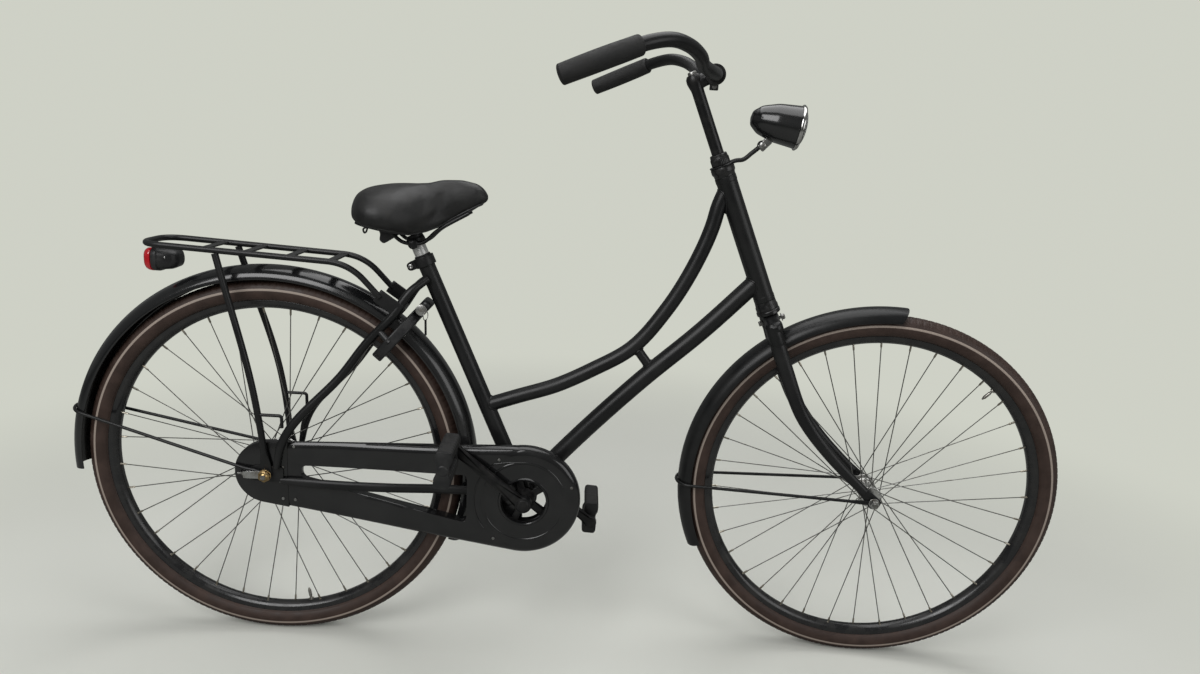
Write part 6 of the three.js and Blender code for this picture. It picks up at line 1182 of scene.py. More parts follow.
pan_grid = np.stack([np.broadcast_to((SADDLE_REAR + SADDLE_LONG * pan_share)[:, None], (40, len(pan_section))),
                     pan_section[None, :, 0] * (0.72 * pan_wide - 1)[:, None],
                     saddle_base(pan_share)[:, None] - 0.3 + (pan_section[None, :, 1] - 0.2) * 5], -1)
piece("saddle_plastic_pan", pan_grid, "seat", moulded_black, "black_plastic")


# Cranks: cotterless arms of forged steel in black paint on a square spindle. The right one carries a
# five-armed spider with the chainring, which shows through the eye of the chain case.
CRANK_MIDDLE, CRANK_TURN, CRANK_LONG, CRANK_OUT = np.array([478.0, -31.0]), math.radians(141), 170, 79
BOSS_RADII, CRANK_WAIST, CRANK_HALF = (14.5, 13.0), (10.2, 8.4), 6.5
forged_black = aged_material("black_forged_crank", (0.009, 0.009, 0.0095), (0.024, 0.023, 0.022), 60, 1400,
                             0.28, 0.46, bump=0.12, Specular_IOR_Level=0.35)


def ways(turn):
    """Directions along a turn in x and z, and square to it."""
    return np.array([math.cos(turn), math.sin(turn)]), np.array([-math.sin(turn), math.cos(turn)])


def laid(outline, turn, middle):
    """Outline (along, across) laid along a turn from a middle, in x and z."""
    way, across = ways(turn)
    return middle + outline[:, :1] * way + outline[:, 1:] * across


def crank_turn(side):
    """Turn of the arm on one side."""
    return CRANK_TURN + (math.pi if side > 0 else 0)


def crank_outline(turn):
    """Outline of an arm: half-width = max(sqrt(r^2 - x^2) at both bosses, a waist that narrows outwards)."""
    quarter = np.linspace(0, math.pi / 2, 16)
    x = np.r_[-BOSS_RADII[0] * np.cos(quarter), np.linspace(0.5, CRANK_LONG - 0.5, 60),
              CRANK_LONG + BOSS_RADII[1] * np.sin(quarter)]
    bosses = [np.sqrt(np.maximum(r * r - (x - middle) ** 2, 0)) for r, middle in zip(BOSS_RADII, (0, CRANK_LONG))]
    body = np.interp(x, (0, CRANK_LONG), CRANK_WAIST) * ((x > 0) & (x < CRANK_LONG))
    half = np.maximum(np.max([*bosses, body], axis=0), 0.02)
    half[1:-1] = (half[:-2] + 2 * half[1:-1] + half[2:]) / 4
    return laid(np.concatenate([np.stack([x, half], 1), np.stack([x, -half], 1)[::-1]]), turn, CRANK_MIDDLE)


def crank_end(side):
    """The pedal's axis, in x and z, at the end of the arm on one side."""
    return CRANK_MIDDLE + CRANK_LONG * ways(crank_turn(side))[0]


def crank_parts(side):
    """Arm, boss and dust cap of one side."""
    boss = spun([(0.05, 66), (13, 66), (15.5, 68), (16, 72), (16, 83), (14.8, 85.6), (12.2, 86.2), (11.8, 85.4),
                 (0.05, 85.4)], 48, BRACKET, (0, side, 0))
    cap = spun([(0.05, 84), (11, 84), (11.2, 86.4), (10, 87.6), (5.4, 88), (5.2, 87.2), (0.05, 87.1)], 36,
               BRACKET, (0, side, 0))
    return [slab(crank_outline(crank_turn(side)), side * CRANK_OUT - CRANK_HALF, side * CRANK_OUT + CRANK_HALF,
                 2.4), boss, cap]


arm_outline = rounded([(8, -9), (26, -6.2), (56, -7), (64, -4), (64, 4), (56, 7), (26, 6.2), (8, 9)], 4, 4)
spider = [slab(laid(arm_outline, CRANK_TURN + math.pi * odd / 5, CRANK_MIDDLE), -54.5, -50.3, 1.2)
          for odd in (1, 3, 5, 7, 9)]
spider_hub = spun([(0.05, -69), (13, -69), (19, -57), (21, -54), (21, -49.6), (0.05, -49.6)], 48, BRACKET)
piece("forged_crank_right", [*crank_parts(-1), *spider, spider_hub], "crank", forged_black, "satin_black_paint",
      ["crank_right"])
piece("forged_crank_left", crank_parts(1), "crank", forged_black, "satin_black_paint", ["crank_left"])
TEETH, TOOTH_RADIUS, TOOTH_DEPTH = 38, 83.4, 1.6
tooth_turn = np.linspace(0, 2 * math.pi, 380, endpoint=False)
tooth = TOOTH_RADIUS + TOOTH_DEPTH * np.cos(tooth_turn * TEETH)
ring_rows = [(49.5, -53.2), (49.5, -50.8), (78, -50.8), (None, -51.4), (None, -52.6), (78, -53.2)]
reach = np.stack([tooth if radius is None else np.full(380, radius) for radius, _ in ring_rows])
depth = np.stack([np.full(380, y) for _, y in ring_rows])
ring_grid = BRACKET + np.stack([reach * np.cos(tooth_turn), depth, reach * np.sin(tooth_turn)], -1)
piece("toothed_chainring", ring_grid, "crank", axle_zinc, "bare_steel", closed_path=True)
spindle_rows = [(0.05, -83), (6.6, -83), (7.6, -80), (8, -66), (8, -30), (8.4, -28), (8.4, 28), (8, 30),
                (8, 66), (7.6, 80), (6.6, 83), (0.05, 83)]
piece("bottom_bracket_axle", spun(spindle_rows, 32, BRACKET), "crank", axle_zinc, "bare_steel",
      ["bottom_bracket_spindle"])


# Pedals: two rows of ribbed black rubber held between pressed end plates on a barrel, which turns on a
# steel axle screwed into the arm.
PEDAL_TURN, PEDAL_NEAR, PEDAL_FAR = math.radians(86), 95.5, 190.5
pedal_rubber = aged_material("black_pedal_rubber", (0.012, 0.012, 0.012), (0.026, 0.025, 0.024), 90, 2600, 0.62,
                             0.85, bump=0.4)


def pedal_block(side, middle, along):
    """One rubber row: a rounded box along y, its height scaled by s = 0.93 + 0.05 w + 0.02 e, with w a flattened
    cosine wave for the ribs and e rising from each end."""
    box = rounded([(-10.8, -14.6), (10.8, -14.6), (10.8, 14.6), (-10.8, 14.6)], 6.5, 5)
    y = np.linspace(PEDAL_NEAR + 3.2, PEDAL_FAR - 3.2, 97)
    wave = np.clip(2.2 * np.cos((y - PEDAL_NEAR) * 2 * math.pi / 11.2), -1, 1)
    edge = np.clip(np.minimum(y - y[0], y[-1] - y) / 1.5, 0, 1)
    swell = 0.93 + 0.05 * wave + 0.02 * edge
    flat = np.stack([laid(box * (1, rise) + (along, 0), PEDAL_TURN, middle) for rise in swell])
    return np.stack([flat[..., 0], np.broadcast_to(side * y[:, None], flat.shape[:2]), flat[..., 1]], -1)


for side, body in ((-1, "right_pedal"), (1, "left_pedal")):
    middle = crank_end(side)
    piece(f"{body}_rubber_rows", [pedal_block(side, middle, along) for along in (-23, 23)], body, pedal_rubber,
          "black_rubber", [f"{body}_body"])
    outline = rounded([(-33.8, -11), (-29, -14.5), (-15, -14.5), (-9, -11), (9, -11), (15, -14.5), (29, -14.5),
                       (33.8, -11), (33.8, 11), (29, 14.5), (15, 14.5), (9, 11), (-9, 11), (-15, 14.5),
                       (-29, 14.5), (-33.8, 11)], 5, 4)
    outline = laid(outline, PEDAL_TURN, middle)
    plates = [slab(outline, *sorted((side * start, side * (start + 2.6))), 0.6)
              for start in (PEDAL_NEAR, PEDAL_FAR - 2.6)]
    centre = (middle[0], 0, middle[1])
    barrel = spun([(0.05, PEDAL_NEAR - 1), (9, PEDAL_NEAR - 1), (9.6, PEDAL_NEAR + 2), (8, PEDAL_NEAR + 9),
                   (8, PEDAL_FAR - 12), (9.6, PEDAL_FAR - 4), (9.6, PEDAL_FAR + 0.4), (8, PEDAL_FAR + 1.8),
                   (0.05, PEDAL_FAR + 2.2)], 32, centre, (0, side, 0))
    piece(f"{body}_plates", [*plates, barrel], body, moulded_black, "black_plastic")
    axle = spun([(0.05, 73), (4.4, 73), (4.8, 74), (4.8, 85.6), (8.6, 85.8), (8.6, 91.6), (6, 92),
                 (6, PEDAL_NEAR - 0.6), (0.05, PEDAL_NEAR - 0.6)], 24, centre, (0, side, 0))
    piece(f"{body}_axle_shaft", axle, "crank", axle_zinc, "bare_steel", [f"{body}_axle"])


# Chain case: two pressed halves in gloss black round the whole chain, screwed together at the middle. The
# face swells out to the front and has a rolled eye for the crank, a fine pressed ring with a bead beside it
# and a window between the runs. A rear cap comes off for the wheel.
CASE_REAR, CASE_FRONT, CASE_DROP, CASE_SPAN, CASE_SEAM, CASE_CAP = 60, 107, -31, 478, -52, 38
WINDOW = rounded([(62, -8), (371, -79), (371, 17), (62, 17)], 13, 6)


def belt(inset=0.0, count=240):
    """Outline of a belt round the two circles, drawn in by the inset: arcs joined by their outer tangents."""
    r_rear, r_front = CASE_REAR - inset, CASE_FRONT - inset
    lean = math.atan2(CASE_DROP, CASE_SPAN)
    open_half = math.acos(-(CASE_FRONT - CASE_REAR) / math.hypot(CASE_SPAN, CASE_DROP))
    rear = np.linspace(lean + open_half, lean + 2 * math.pi - open_half, count // 2)
    front = np.linspace(lean - open_half, lean + open_half, count // 2)
    arcs = (0, 0, r_rear, rear), (CASE_SPAN, CASE_DROP, r_front, front)
    return np.concatenate([np.stack([x + r * np.cos(turn), z + r * np.sin(turn)], 1) for x, z, r, turn in arcs])


def ray_reach(outline, middle, turn):
    """Distance from a middle to an outline along each direction, where the ray crosses a side of it."""
    start = outline - middle
    side = np.roll(start, -1, 0) - start
    way = np.stack([np.cos(turn), np.sin(turn)], 1)[:, None]
    cross = way[..., 0] * side[None, :, 1] - way[..., 1] * side[None, :, 0]
    cross = np.where(np.abs(cross) < 1e-9, 1e-9, cross)
    reach = (start[None, :, 0] * side[None, :, 1] - start[None, :, 1] * side[None, :, 0]) / cross
    share = (start[None, :, 0] * way[..., 1] - start[None, :, 1] * way[..., 0]) / cross
    return np.where((share >= -1e-6) & (share <= 1 + 1e-6) & (reach > 0), reach, 0).max(1)


def case_loop(face, eye, eye_radius, swell=0.0):
    """Thin closed ring round the window: its sections run from the window's flange over the face, down a
    bevelled shoulder that follows the outline drawn in, and back inside. Rays that meet an eye's circle stop
    short of it. The face stands off the seam by its own depth and a swell that eases in towards the front."""
    middle = np.array([235.0, -16.0])
    turn = np.sort(np.r_[np.linspace(-math.pi, math.pi, 300, endpoint=False),
                         np.arctan2(*(WINDOW - middle).T[::-1])])
    turn = turn[np.r_[True, np.diff(turn) > 1e-4]]
    way = np.stack([np.cos(turn), np.sin(turn)], 1)
    along = way @ (eye - middle)
    beside = np.sum((eye - middle) ** 2) - along ** 2
    meets = (along > 0) & (beside < eye_radius ** 2)
    eye_edge = along - np.sqrt(np.maximum(eye_radius ** 2 - beside, 0))
    near = ray_reach(WINDOW, middle, turn)

    def far(inset):
        """Reach to the outline drawn in by the inset, or to the eye's edge."""
        outline = belt(inset)
        return np.where(meets, eye_edge - min(inset, 1.5), ray_reach(outline[outline[:, 0] <= 476], middle, turn))

    side = np.sign(face - CASE_SEAM)
    seam = CASE_SEAM + 0.15 * side
    top = far(15)
    rows = [(near, 0), (near, 0.82), (near + 0.5, 0.95), (near + 1.7, 1), (near + (top - near) / 3, 1),
            (near + (top - near) * 0.67, 1), (top, 1), (far(8.4), 0.93), (far(4), 0.75), (far(1), 0.5),
            (far(0), 0.12), (far(0), 0), (far(1.2), 0), (far(1.3), 0.1), (far(2.2), 0.42), (far(5), 0.66),
            (far(9), 0.83), (far(15), 0.88), (near + 1.2, 0.85), (near + 1.2, 0)]
    reach = np.stack([distance for distance, _ in rows])
    place = middle + way * reach[..., None]
    eased = np.clip((place[..., 0] - 90) / 250, 0, 1)
    depth = face - seam + swell * eased * eased * (3 - 2 * eased)
    return np.stack([place[..., 0], seam + depth * np.array([share for _, share in rows])[:, None],
                     place[..., 1]], -1)


def cap_grid(rows, edge_x):
    """Grid about the rear axle: each row is (hole share or outline step, y), out to the belt or the seam."""
    turn = np.linspace(-math.pi, math.pi, 200, endpoint=False)
    outline = belt(-0.8)
    way = np.stack([np.cos(turn), np.sin(turn)], 1)
    far = np.minimum(ray_reach(outline, np.zeros(2), turn), edge_x / np.maximum(way[:, 0], 0.05))
    reach = np.stack([np.full(len(turn), 8.6 + step) if at_hole else far + step for at_hole, step, _ in rows])
    place = way * reach[..., None]
    return np.stack([place[..., 0], np.broadcast_to(np.array([y for *_, y in rows])[:, None], reach.shape),
                     place[..., 1]], -1)


case_black = aged_material("chain_case_gloss_black", (0.0075, 0.0075, 0.008), (0.015, 0.015, 0.015), 12, 900,
                           0.14, 0.26, bump=0.05, Coat_Weight=0.3)
crank_eye, hub_eye = np.array([CASE_SPAN, CASE_DROP]), np.zeros(2)
front_rows = [(43.2, -60), (42.2, -60), (42, -68), (43, -70.2), (44.6, -71), (46.4, -70.6), (47.4, -69),
              (48.4, -68), (75.4, -68), (76.4, -68.9), (77.8, -69.1), (79.2, -68.9), (80.2, -68), (92, -68),
              (98.6, -66.8), (103, -64), (106, -60), (107, -54), (106.9, CASE_SEAM - 0.15),
              (105.6, CASE_SEAM - 0.15), (105.4, -56), (101, -62.6), (96, -65.4), (90, -66.6), (44, -66.6)]
outer_grids = [case_loop(-59.7, crank_eye, 92, -8.3), spun(front_rows, 160, BRACKET)]
piece("chain_case_outer_half", outer_grids, "frame", case_black, "gloss_black_paint", ["chaincase_outer"],
      closed_path=True)
bead_turn = np.radians(np.linspace(128, 218, 40))
bead_path = np.concatenate([[[476, -68.1, 47.5], [450, -68.1, 46.6], [434, -68.1, 44.5]],
                            np.stack([CASE_SPAN + 93 * np.cos(bead_turn), np.full(40, -68.1),
                                      CASE_DROP + 93 * np.sin(bead_turn)], 1)])
piece("chain_case_pressed_bead", tube(bead_path, 1.5, 12), "frame", case_black, "gloss_black_paint")
back_rows = [(42, -45), (99, -45), (104.4, -46.2), (106.9, -49), (106.9, CASE_SEAM + 0.15),
             (105.6, CASE_SEAM + 0.15), (105.4, -49.6), (103.4, -47.6), (98.6, -46.2), (42, -46.2)]
collar_rows = [(21.1, -29), (23.6, -29), (23.8, -29.4), (23.8, -45.2), (23.6, -46.2), (21.1, -46.2)]
hub_rows = [(33.4, -45), (56, -45), (59.4, -46.4), (60, -49), (60, CASE_SEAM + 0.15), (58.8, CASE_SEAM + 0.15),
            (58.6, -49.4), (56.4, -46.2), (33.4, -46.2)]
inner_grids = [case_loop(-45.0, hub_eye, 52), spun(back_rows, 128, BRACKET), spun(hub_rows, 96),
               spun(collar_rows, 48, BRACKET)]
collar_outline = rounded([(22.5, -6), (43, -6), (43, 6), (22.5, 6)], 1, 2)
collar_arms = [slab(laid(collar_outline, turn, CRANK_MIDDLE), -46.3, -44.9, 0.3)
               for turn in np.radians((85, 205, 325))]
piece("chain_case_inner_half", inner_grids, "frame", case_black, "gloss_black_paint", ["chaincase_inner"],
      closed_path=True)
piece("chain_case_collar_arms", collar_arms, "frame", case_black, "gloss_black_paint")
cap_rows = [(True, 0, -59.9), (True, 0, -61), (False, -2.4, -61), (False, -0.9, -60.5), (False, 0, -59),
            (False, 0, -45.4), (False, -0.7, -45.4), (False, -0.7, -58.6), (False, -1.4, -59.9)]
piece("chain_case_rear_cap", cap_grid(cap_rows, CASE_CAP), "frame", case_black, "gloss_black_paint",
      ["chaincase_rear_cap"], closed_path=True)


# Small screws of the chain case: bare steel pan heads, sunk in the middle for the driver, along the rear
# cap's seam and round the joint of the two halves.
def pan_screw(place, way, radius=3.0, high=1.8):
    """Spun head of a screw, its edge rolled over and its middle sunk for the driver."""
    rows = [(0.05, -1), (radius, -1), (radius, 0.2), (0.86 * radius, 0.75 * high), (0.5 * radius, high),
            (0.3 * radius, high), (0.26 * radius, 0.5 * high), (0.05, 0.45 * high)]
    return spun(rows, 20, place, way)


case_screws = [pan_screw((x, -61.2, z), (0, -1, 0)) for x, z in ((24, 48), (29, 13), (25, -16), (28, -50))]
case_screws += [pan_screw((x, -59.9, z), (0, -1, 0)) for x, z in ((50, 54), (50, -52))]
case_screws += [pan_screw((CASE_SPAN + 95 * math.cos(a), -67.9, CASE_DROP + 95 * math.sin(a)), (0, -1, 0))
                for a in (0.35, 2.1, 4.1)]
piece("chain_case_screws", case_screws, "frame", axle_zinc, "bare_steel")


# Headset: black steel cups pressed into both ends of the head pipe to hold the bearings, and a knurled
# lock nut screwed on the steerer above them.
STEER_UP, STEER_RAKE = np.array([-0.39555, 0, 0.91845]), np.array([0.91845, 0, 0.39555])
ACROSS = np.array([0, 1.0, 0])


def steer_place(height, ahead=0.0, across=0.0):
    """Point of the steering, in millimetres: up its axis, ahead of it along the rake, and across."""
    height, ahead, across = (np.asarray(v, float)[..., None] for v in (height, ahead, across))
    return height * STEER_UP + ahead * STEER_RAKE + across * ACROSS


cup_black = aged_material("headset_black_enamel", (0.0095, 0.0095, 0.01), (0.03, 0.029, 0.028), 60, 1500, 0.2,
                          0.4, bump=0.08)
lower_rows = [(13.4, 405.4), (21, 405.4), (22, 406.6), (22, 412), (21.2, 413.2), (20, 413.8), (20, 415),
              (21, 416), (21, 421), (20, 423), (19.4, 431.2), (13.4, 431.2)]
upper_rows = [(13.4, 673), (19, 673), (19.6, 678), (21, 680), (21.6, 682), (21.6, 688), (20.8, 690.6),
              (13.4, 690.6)]
for name, rows in (("lower_headset_cup", lower_rows), ("upper_headset_cup", upper_rows)):
    piece(f"{name}_ring", spun(rows, 56, steer_foot_mm, STEER_UP), "frame", cup_black, "satin_black_paint",
          [name], closed_path=True)
turn = np.linspace(0, 2 * math.pi, 144, endpoint=False)
knurl = 16.6 + 0.45 * np.clip(1.6 * np.cos(36 * turn), -1, 1)
nut_rows = [(13.2, 694.4), (16.2, 694.4), (None, 695.6), (None, 706), (16, 707.4), (15.4, 713), (14.4, 713.9),
            (13.2, 713.9)]
nut_grid = np.stack([steer_place(h) + (knurl if r is None else np.full(144, r))[:, None] *
                     (np.cos(turn)[:, None] * STEER_RAKE + np.sin(turn)[:, None] * ACROSS) for r, h in nut_rows])
piece("knurled_lock_nut", nut_grid, "steering", cup_black, "satin_black_paint", ["headset_lock_nut"],
      place=on_steering, closed_path=True)


# Fork: two raked blades drawn to a taper, brazed into a stamped crown on the steerer and flattened into
# slotted ends, all in the frame's black.
BLADES = [(-0.04, 1), (-0.06, 0.776), (-0.01, 0.529), (0.33, 0.299), (0.62, 0.165), (0.86, 0.065)]
CROWN_AT, HUB_AHEAD, BLADE_OUT = 390, 76, 50


def fork_blade(side):
    """Blade swept along its rake: an oval that tapers from 28 by 23 mm at the crown to 18 by 14 mm."""
    points = [steer_place(CROWN_AT * up + (4 if up == 1 else 0), HUB_AHEAD * ahead,
                          BLADE_OUT * side * (0.94 if up == 1 else 1)) for ahead, up in BLADES]
    path = curve(np.array(points), np.linspace(0, 1, 70))
    radius = np.interp(np.linspace(0, 1, 70), (0, 0.12, 0.5, 1), (12.6, 14.2, 13, 9))
    return tube(path, radius, 32, flat=np.interp(np.linspace(0, 1, 70), (0, 0.2, 0.6, 1), (1.0, 0.84, 0.8, 0.78)))


def fork_end(side):
    """Plate between the blade's foot and the front axle: a circle round the axle drawn out to a tongue."""
    foot = np.array([0.86 * HUB_AHEAD, 0.065 * CROWN_AT])
    way = unit(foot - (HUB_AHEAD, 0))
    across = np.array([-way[1], way[0]])
    turn = np.linspace(0.62 * math.pi, 1.38 * math.pi, 20)
    arc = 13.4 * (np.cos(turn)[:, None] * way + np.sin(turn)[:, None] * across)
    tip = 44 * way
    outline = (HUB_AHEAD, 0) + np.concatenate([arc, [tip - 8 * across, tip + 8 * across]])
    outline = rounded(outline, 3, 2)
    centre = outline.mean(0)
    grid = []
    for y, drawn in ((50, 0.95), (50.4, 1), (53.6, 1), (54, 0.95)):
        shape = centre + (outline - centre) * drawn
        grid.append(steer_place(shape[:, 1], shape[:, 0], np.full(len(shape), side * y)))
    return np.stack(grid)


def crown_grid():
    """Crown as a bar across the steering: a rounded section that swells over both blades and the steerer,
    h = 13 + 4 hump(y), with its lower edge arched over the tyre."""
    y = np.r_[-64.6, -64.2, np.linspace(-63, 63, 61), 64.2, 64.6]
    section = rounded([(-15, -13), (15, -13), (15, 13), (-15, 13)], 9, 5)
    ends = np.sqrt(np.clip(1 - np.clip((np.abs(y) - 50) / 15, 0, 1) ** 2.4, 0.01, 1))
    wide = ends * (0.86 + 0.14 * np.exp(-((np.abs(y) - 50) / 15) ** 2) + 0.2 * np.exp(-(y / 20) ** 2))
    high = ends * (0.85 + 0.15 * np.exp(-(y / 26) ** 2))
    lift = 3.5 * np.exp(-(y / 24) ** 2) - 0.5
    grid = [steer_place(CROWN_AT + l + section[:, 1] * h, section[:, 0] * w, np.full(len(section), place))
            for place, w, h, l in zip(y, wide, high, lift)]
    return np.stack(grid)


steerer = spun([(0.05, 380), (12.5, 380), (12.7, 382), (12.7, 700), (0.05, 700)], 40, (0, 0, 0), STEER_UP)
socket_up = np.linspace(CROWN_AT - 34, CROWN_AT + 9, 24)
socket_radius = np.interp(np.linspace(0, 1, 24), (0, 0.08, 0.5, 0.9, 1), (12.6, 13.6, 14.6, 14.2, 11))
sockets = [tube(steer_place(socket_up, np.full(24, -0.045 * HUB_AHEAD), np.full(24, 49.5 * side)),
                socket_radius, 32) for side in (-1, 1)]
fork_grids = [crown_grid(), steerer, *sockets, *map(fork_blade, (-1, 1)), *map(fork_end, (-1, 1))]
piece("raked_fork", fork_grids, "steering", satin_black, "satin_black_paint", ["fork"], place=on_steering)
crown_bolt = spun([(0.05, -24), (4.4, -24), (5, -23), (5, -19), (8, -18.6), (8, -17.4), (3, -17), (3, 19),
                   (8, 19.4), (8, 20.6), (5.6, 21), (5.6, 25), (4, 26.4), (0.05, 26.4)], 6,
                  steer_place(CROWN_AT + 1), STEER_RAKE)
piece("crown_fender_bolt", crown_bolt, "steering", axle_zinc, "bare_steel", place=on_steering)


# Front axle and its nuts: a threaded steel bolt, zinc-plated, through both fork ends, with hexagon nuts
# over washers that clamp the fender stay's eyes.
hub_at = steer_place(0.0, float(HUB_AHEAD))
piece("front_axle_bolt", spun(threaded(-69.4, 69.4, 4.5), 28, hub_at), "steering", axle_zinc, "bare_steel",
      ["front_axle"], place=on_steering)
nuts = [spun(rows, 6 if hexed else 40, hub_at, (0, side, 0)) for side in (-1, 1) for hexed, rows in (
    (True, [(4.7, 57.8), (8.4, 57.8), (9, 58.6), (9, 64.6), (8.2, 65.6), (4.7, 65.6)]),
    (False, [(4.7, 56.4), (9.6, 56.4), (10, 56.8), (10, 57.4), (9.6, 57.8), (4.7, 57.8)]))]
piece("front_axle_hex_nuts", nuts, "steering", plated, "bare_steel", ["front_axle_nut"], place=on_steering,
      closed_path=True)


# Front fender: rolled black steel that ends short of the crown in front, hung on the crown bolt and on a
# wire stay from the axle.
FRONT_FENDER, FRONT_FENDER_ENDS, FRONT_STAY_ANGLE = 371, (86.5, 203.2), 181.2


def front_place(points):
    """Wheel-centred millimetres turned with the steering."""
    return on_steering(np.asarray(points, float) + hub_at)


fender_piece("front_fender_blade", FRONT_FENDER, FRONT_FENDER_ENDS, 150, front_place, "steering", satin_black,
             ["front_fender"], slant=2.4)
stay_piece("front_stay_wire", FRONT_FENDER, FRONT_STAY_ANGLE, 54.3, 4.7, front_place, "steering",
           ["front_fender_stay"])


# Stem: a forged black quill with a short forward arm, wedged in the steerer by the bolt on its top and
# clamped round the bar.
STEM_TOP, STEM_AHEAD = 844.2, 36.5
quill = spun([(0.05, 640), (10.6, 640), (11, 642), (11, 826), (11.4, 832), (13, 838), (14.4, 845), (14, 852),
              (11, 857), (6, 858.6), (0.05, 858.8)], 40, (0, 0, 0), STEER_UP)
arm_path = np.array([steer_place(STEM_TOP - 2 + 2 * s, STEM_AHEAD * s) for s in np.linspace(0, 1, 14)])
arm = tube(arm_path, np.interp(np.linspace(0, 1, 14), (0, 0.5, 1), (13.5, 11.5, 13)), 28, flat=0.92)
bar_middle = steer_place(STEM_TOP, STEM_AHEAD)
clamp_rows = [(0.05, -18.5), (15.6, -19), (17.6, -18.4), (18, -17), (18, -1.2), (17.2, -0.6), (17.2, 0.6),
              (18, 1.2), (18, 17), (17.6, 18.4), (15.6, 19), (0.05, 18.5)]
clamp_ring = spun(clamp_rows, 48, bar_middle)
under = bar_middle + np.array([0, 0, -1.0]) * 17
clamp_ears = [plank(under + (0, y, 4), under + (0, y, -9), 15, 6, (1, 0, 0), 1.2) for y in (-4.5, 4.5)]
piece("quill_stem", [quill, arm, clamp_ring, *clamp_ears], "stem", forged_black, "satin_black_paint", ["stem"],
      place=on_steering)
quill_bolt = spun([(0.05, 857), (8, 857), (8, 861), (7.2, 862.6), (5, 863.2), (4.6, 861.4), (0.05, 861.2)], 32,
                  (0, 0, 0), STEER_UP)
clamp_bolt = spun([(0.05, -10.5), (4, -10.3), (4.6, -9.6), (4.6, -7.6), (3, -7.4), (3, 7.4), (4.6, 7.6),
                   (4.6, 10.4), (3, 11), (0.05, 10.8)], 24, under + (0, 0, -3))
piece("stem_bolts", [quill_bolt, clamp_bolt], "stem", axle_zinc, "bare_steel", place=on_steering)


# Handlebar: one steel tube in black paint, level at the clamp, rising outwards and swept far back. Plain
# thick grips of black foam rubber, a little fuller in the middle, cover its ends.
BAR_BACK, BAR_OUT, BAR_RISE, BAR_RADIUS, GRIP_LONG = 233, 297, 35, 11, 125
BAR = [(0, 0, 0), (0, 0.135, 0), (-0.052, 0.286, 0.057), (-0.112, 0.421, 0.229), (-0.146, 0.556, 0.543),
       (-0.223, 0.673, 0.857), (-0.335, 0.778, 1), (-0.476, 0.862, 0.8), (-0.639, 0.923, 0.343),
       (-0.815, 0.97, -0.171), (-1, 1, -0.714)]


def bar_path(side, count=150):
    """Half of the bar from its middle out to the grip's end."""
    points = bar_middle + np.array(BAR) * (BAR_BACK, side * BAR_OUT, BAR_RISE)
    return curve(points, np.linspace(0, 1, count))


halves = [bar_path(-1)[::-1], bar_path(1)[1:]]
piece("swept_handlebar", tube(np.concatenate(halves), BAR_RADIUS, 40, (0, 0, 1)), "stem", satin_black,
      "satin_black_paint", ["handlebar"], place=on_steering)
grip_rubber = aged_material("grip_foam_rubber", (0.009, 0.009, 0.009), (0.02, 0.0195, 0.019), 60, 1800, 0.6,
                            0.8, bump=0.5, depth=0.0006)
for side, name in ((-1, "grip_right"), (1, "grip_left")):
    path = bar_path(side, 900)
    length = np.r_[0, np.cumsum(np.linalg.norm(np.diff(path, axis=0), axis=1))]
    start = length[-1] - GRIP_LONG
    s = np.linspace(start, length[-1] + 3.8, 240)
    centre = np.stack([np.interp(s, length, path[:, k]) for k in range(3)], 1)
    centre += np.maximum(s - length[-1], 0)[:, None] * unit(path[-1] - path[-2])
    d = s - start
    barrel = 0.7 * np.sin(np.clip(d / GRIP_LONG, 0, 1) * math.pi)
    past = np.clip((d - GRIP_LONG + 1.5) / 5.6, 0, 1)
    radius = (15.4 + barrel - 1.6 * np.exp(-d / 1.0)) * np.maximum(np.sqrt(1 - past ** 2.6), 0.12)
    piece(f"{name}_rubber", tube(centre, radius, 48, (0, 0, 1)), "stem", grip_rubber, "black_rubber", [name],
          place=on_steering)


# Headlamp bracket: a black steel ring held under the headset's lock nut, a bent wire arm welded to it, and
# an eye for the lamp's pivot bolt.
LAMP_PIVOT = steer_place(702.7, 77.3)
LAMP_FRONT = steer_place(711.0, 144.0)
LAMP_TILT = math.radians(8)
lamp_way = np.array([math.cos(LAMP_TILT), 0, -math.sin(LAMP_TILT)])
lamp_up = np.array([math.sin(LAMP_TILT), 0, math.cos(LAMP_TILT)])
ring_rows = [(13.2, 691.3), (21.4, 691.3), (22, 691.8), (22, 693.5), (21.4, 694), (13.2, 694)]
piece("lamp_bracket_ring", spun(ring_rows, 56, (0, 0, 0), STEER_UP), "steering", satin_black,
      "satin_black_paint", ["lamp_bracket"], place=on_steering, closed_path=True)
arm_root = steer_place(692.7, 17.0)
arm_bends = along_chord(arm_root, LAMP_PIVOT, [(0.34, -0.1), (0.65, -0.06)])
arm_points = [arm_root, steer_place(692.7, 26.0), *arm_bends, LAMP_PIVOT]
arm_wire = tube(curve(np.array(arm_points), np.linspace(0, 1, 50)), 4, 18)
arm_eye = spun(rounded([(4.2, -4), (8, -4), (8, 4), (4.2, 4)], 0.8), 32, LAMP_PIVOT)
piece("lamp_bracket_arm", arm_wire, "steering", satin_black, "satin_black_paint", place=on_steering)
piece("lamp_bracket_eye", arm_eye, "steering", satin_black, "satin_black_paint", place=on_steering,
      closed_path=True)


# Headlamp: a pressed black bullet shell that rolls into a chromed rim, a bright reflector and a fluted
# clear lens, held by two cheeks on the bracket's bolt.
def lamp_spun(rows, steps=72):
    """Grid spun about the lamp's own axis, offsets counted forwards from its rim."""
    return spun(rows, steps, LAMP_FRONT, lamp_way)


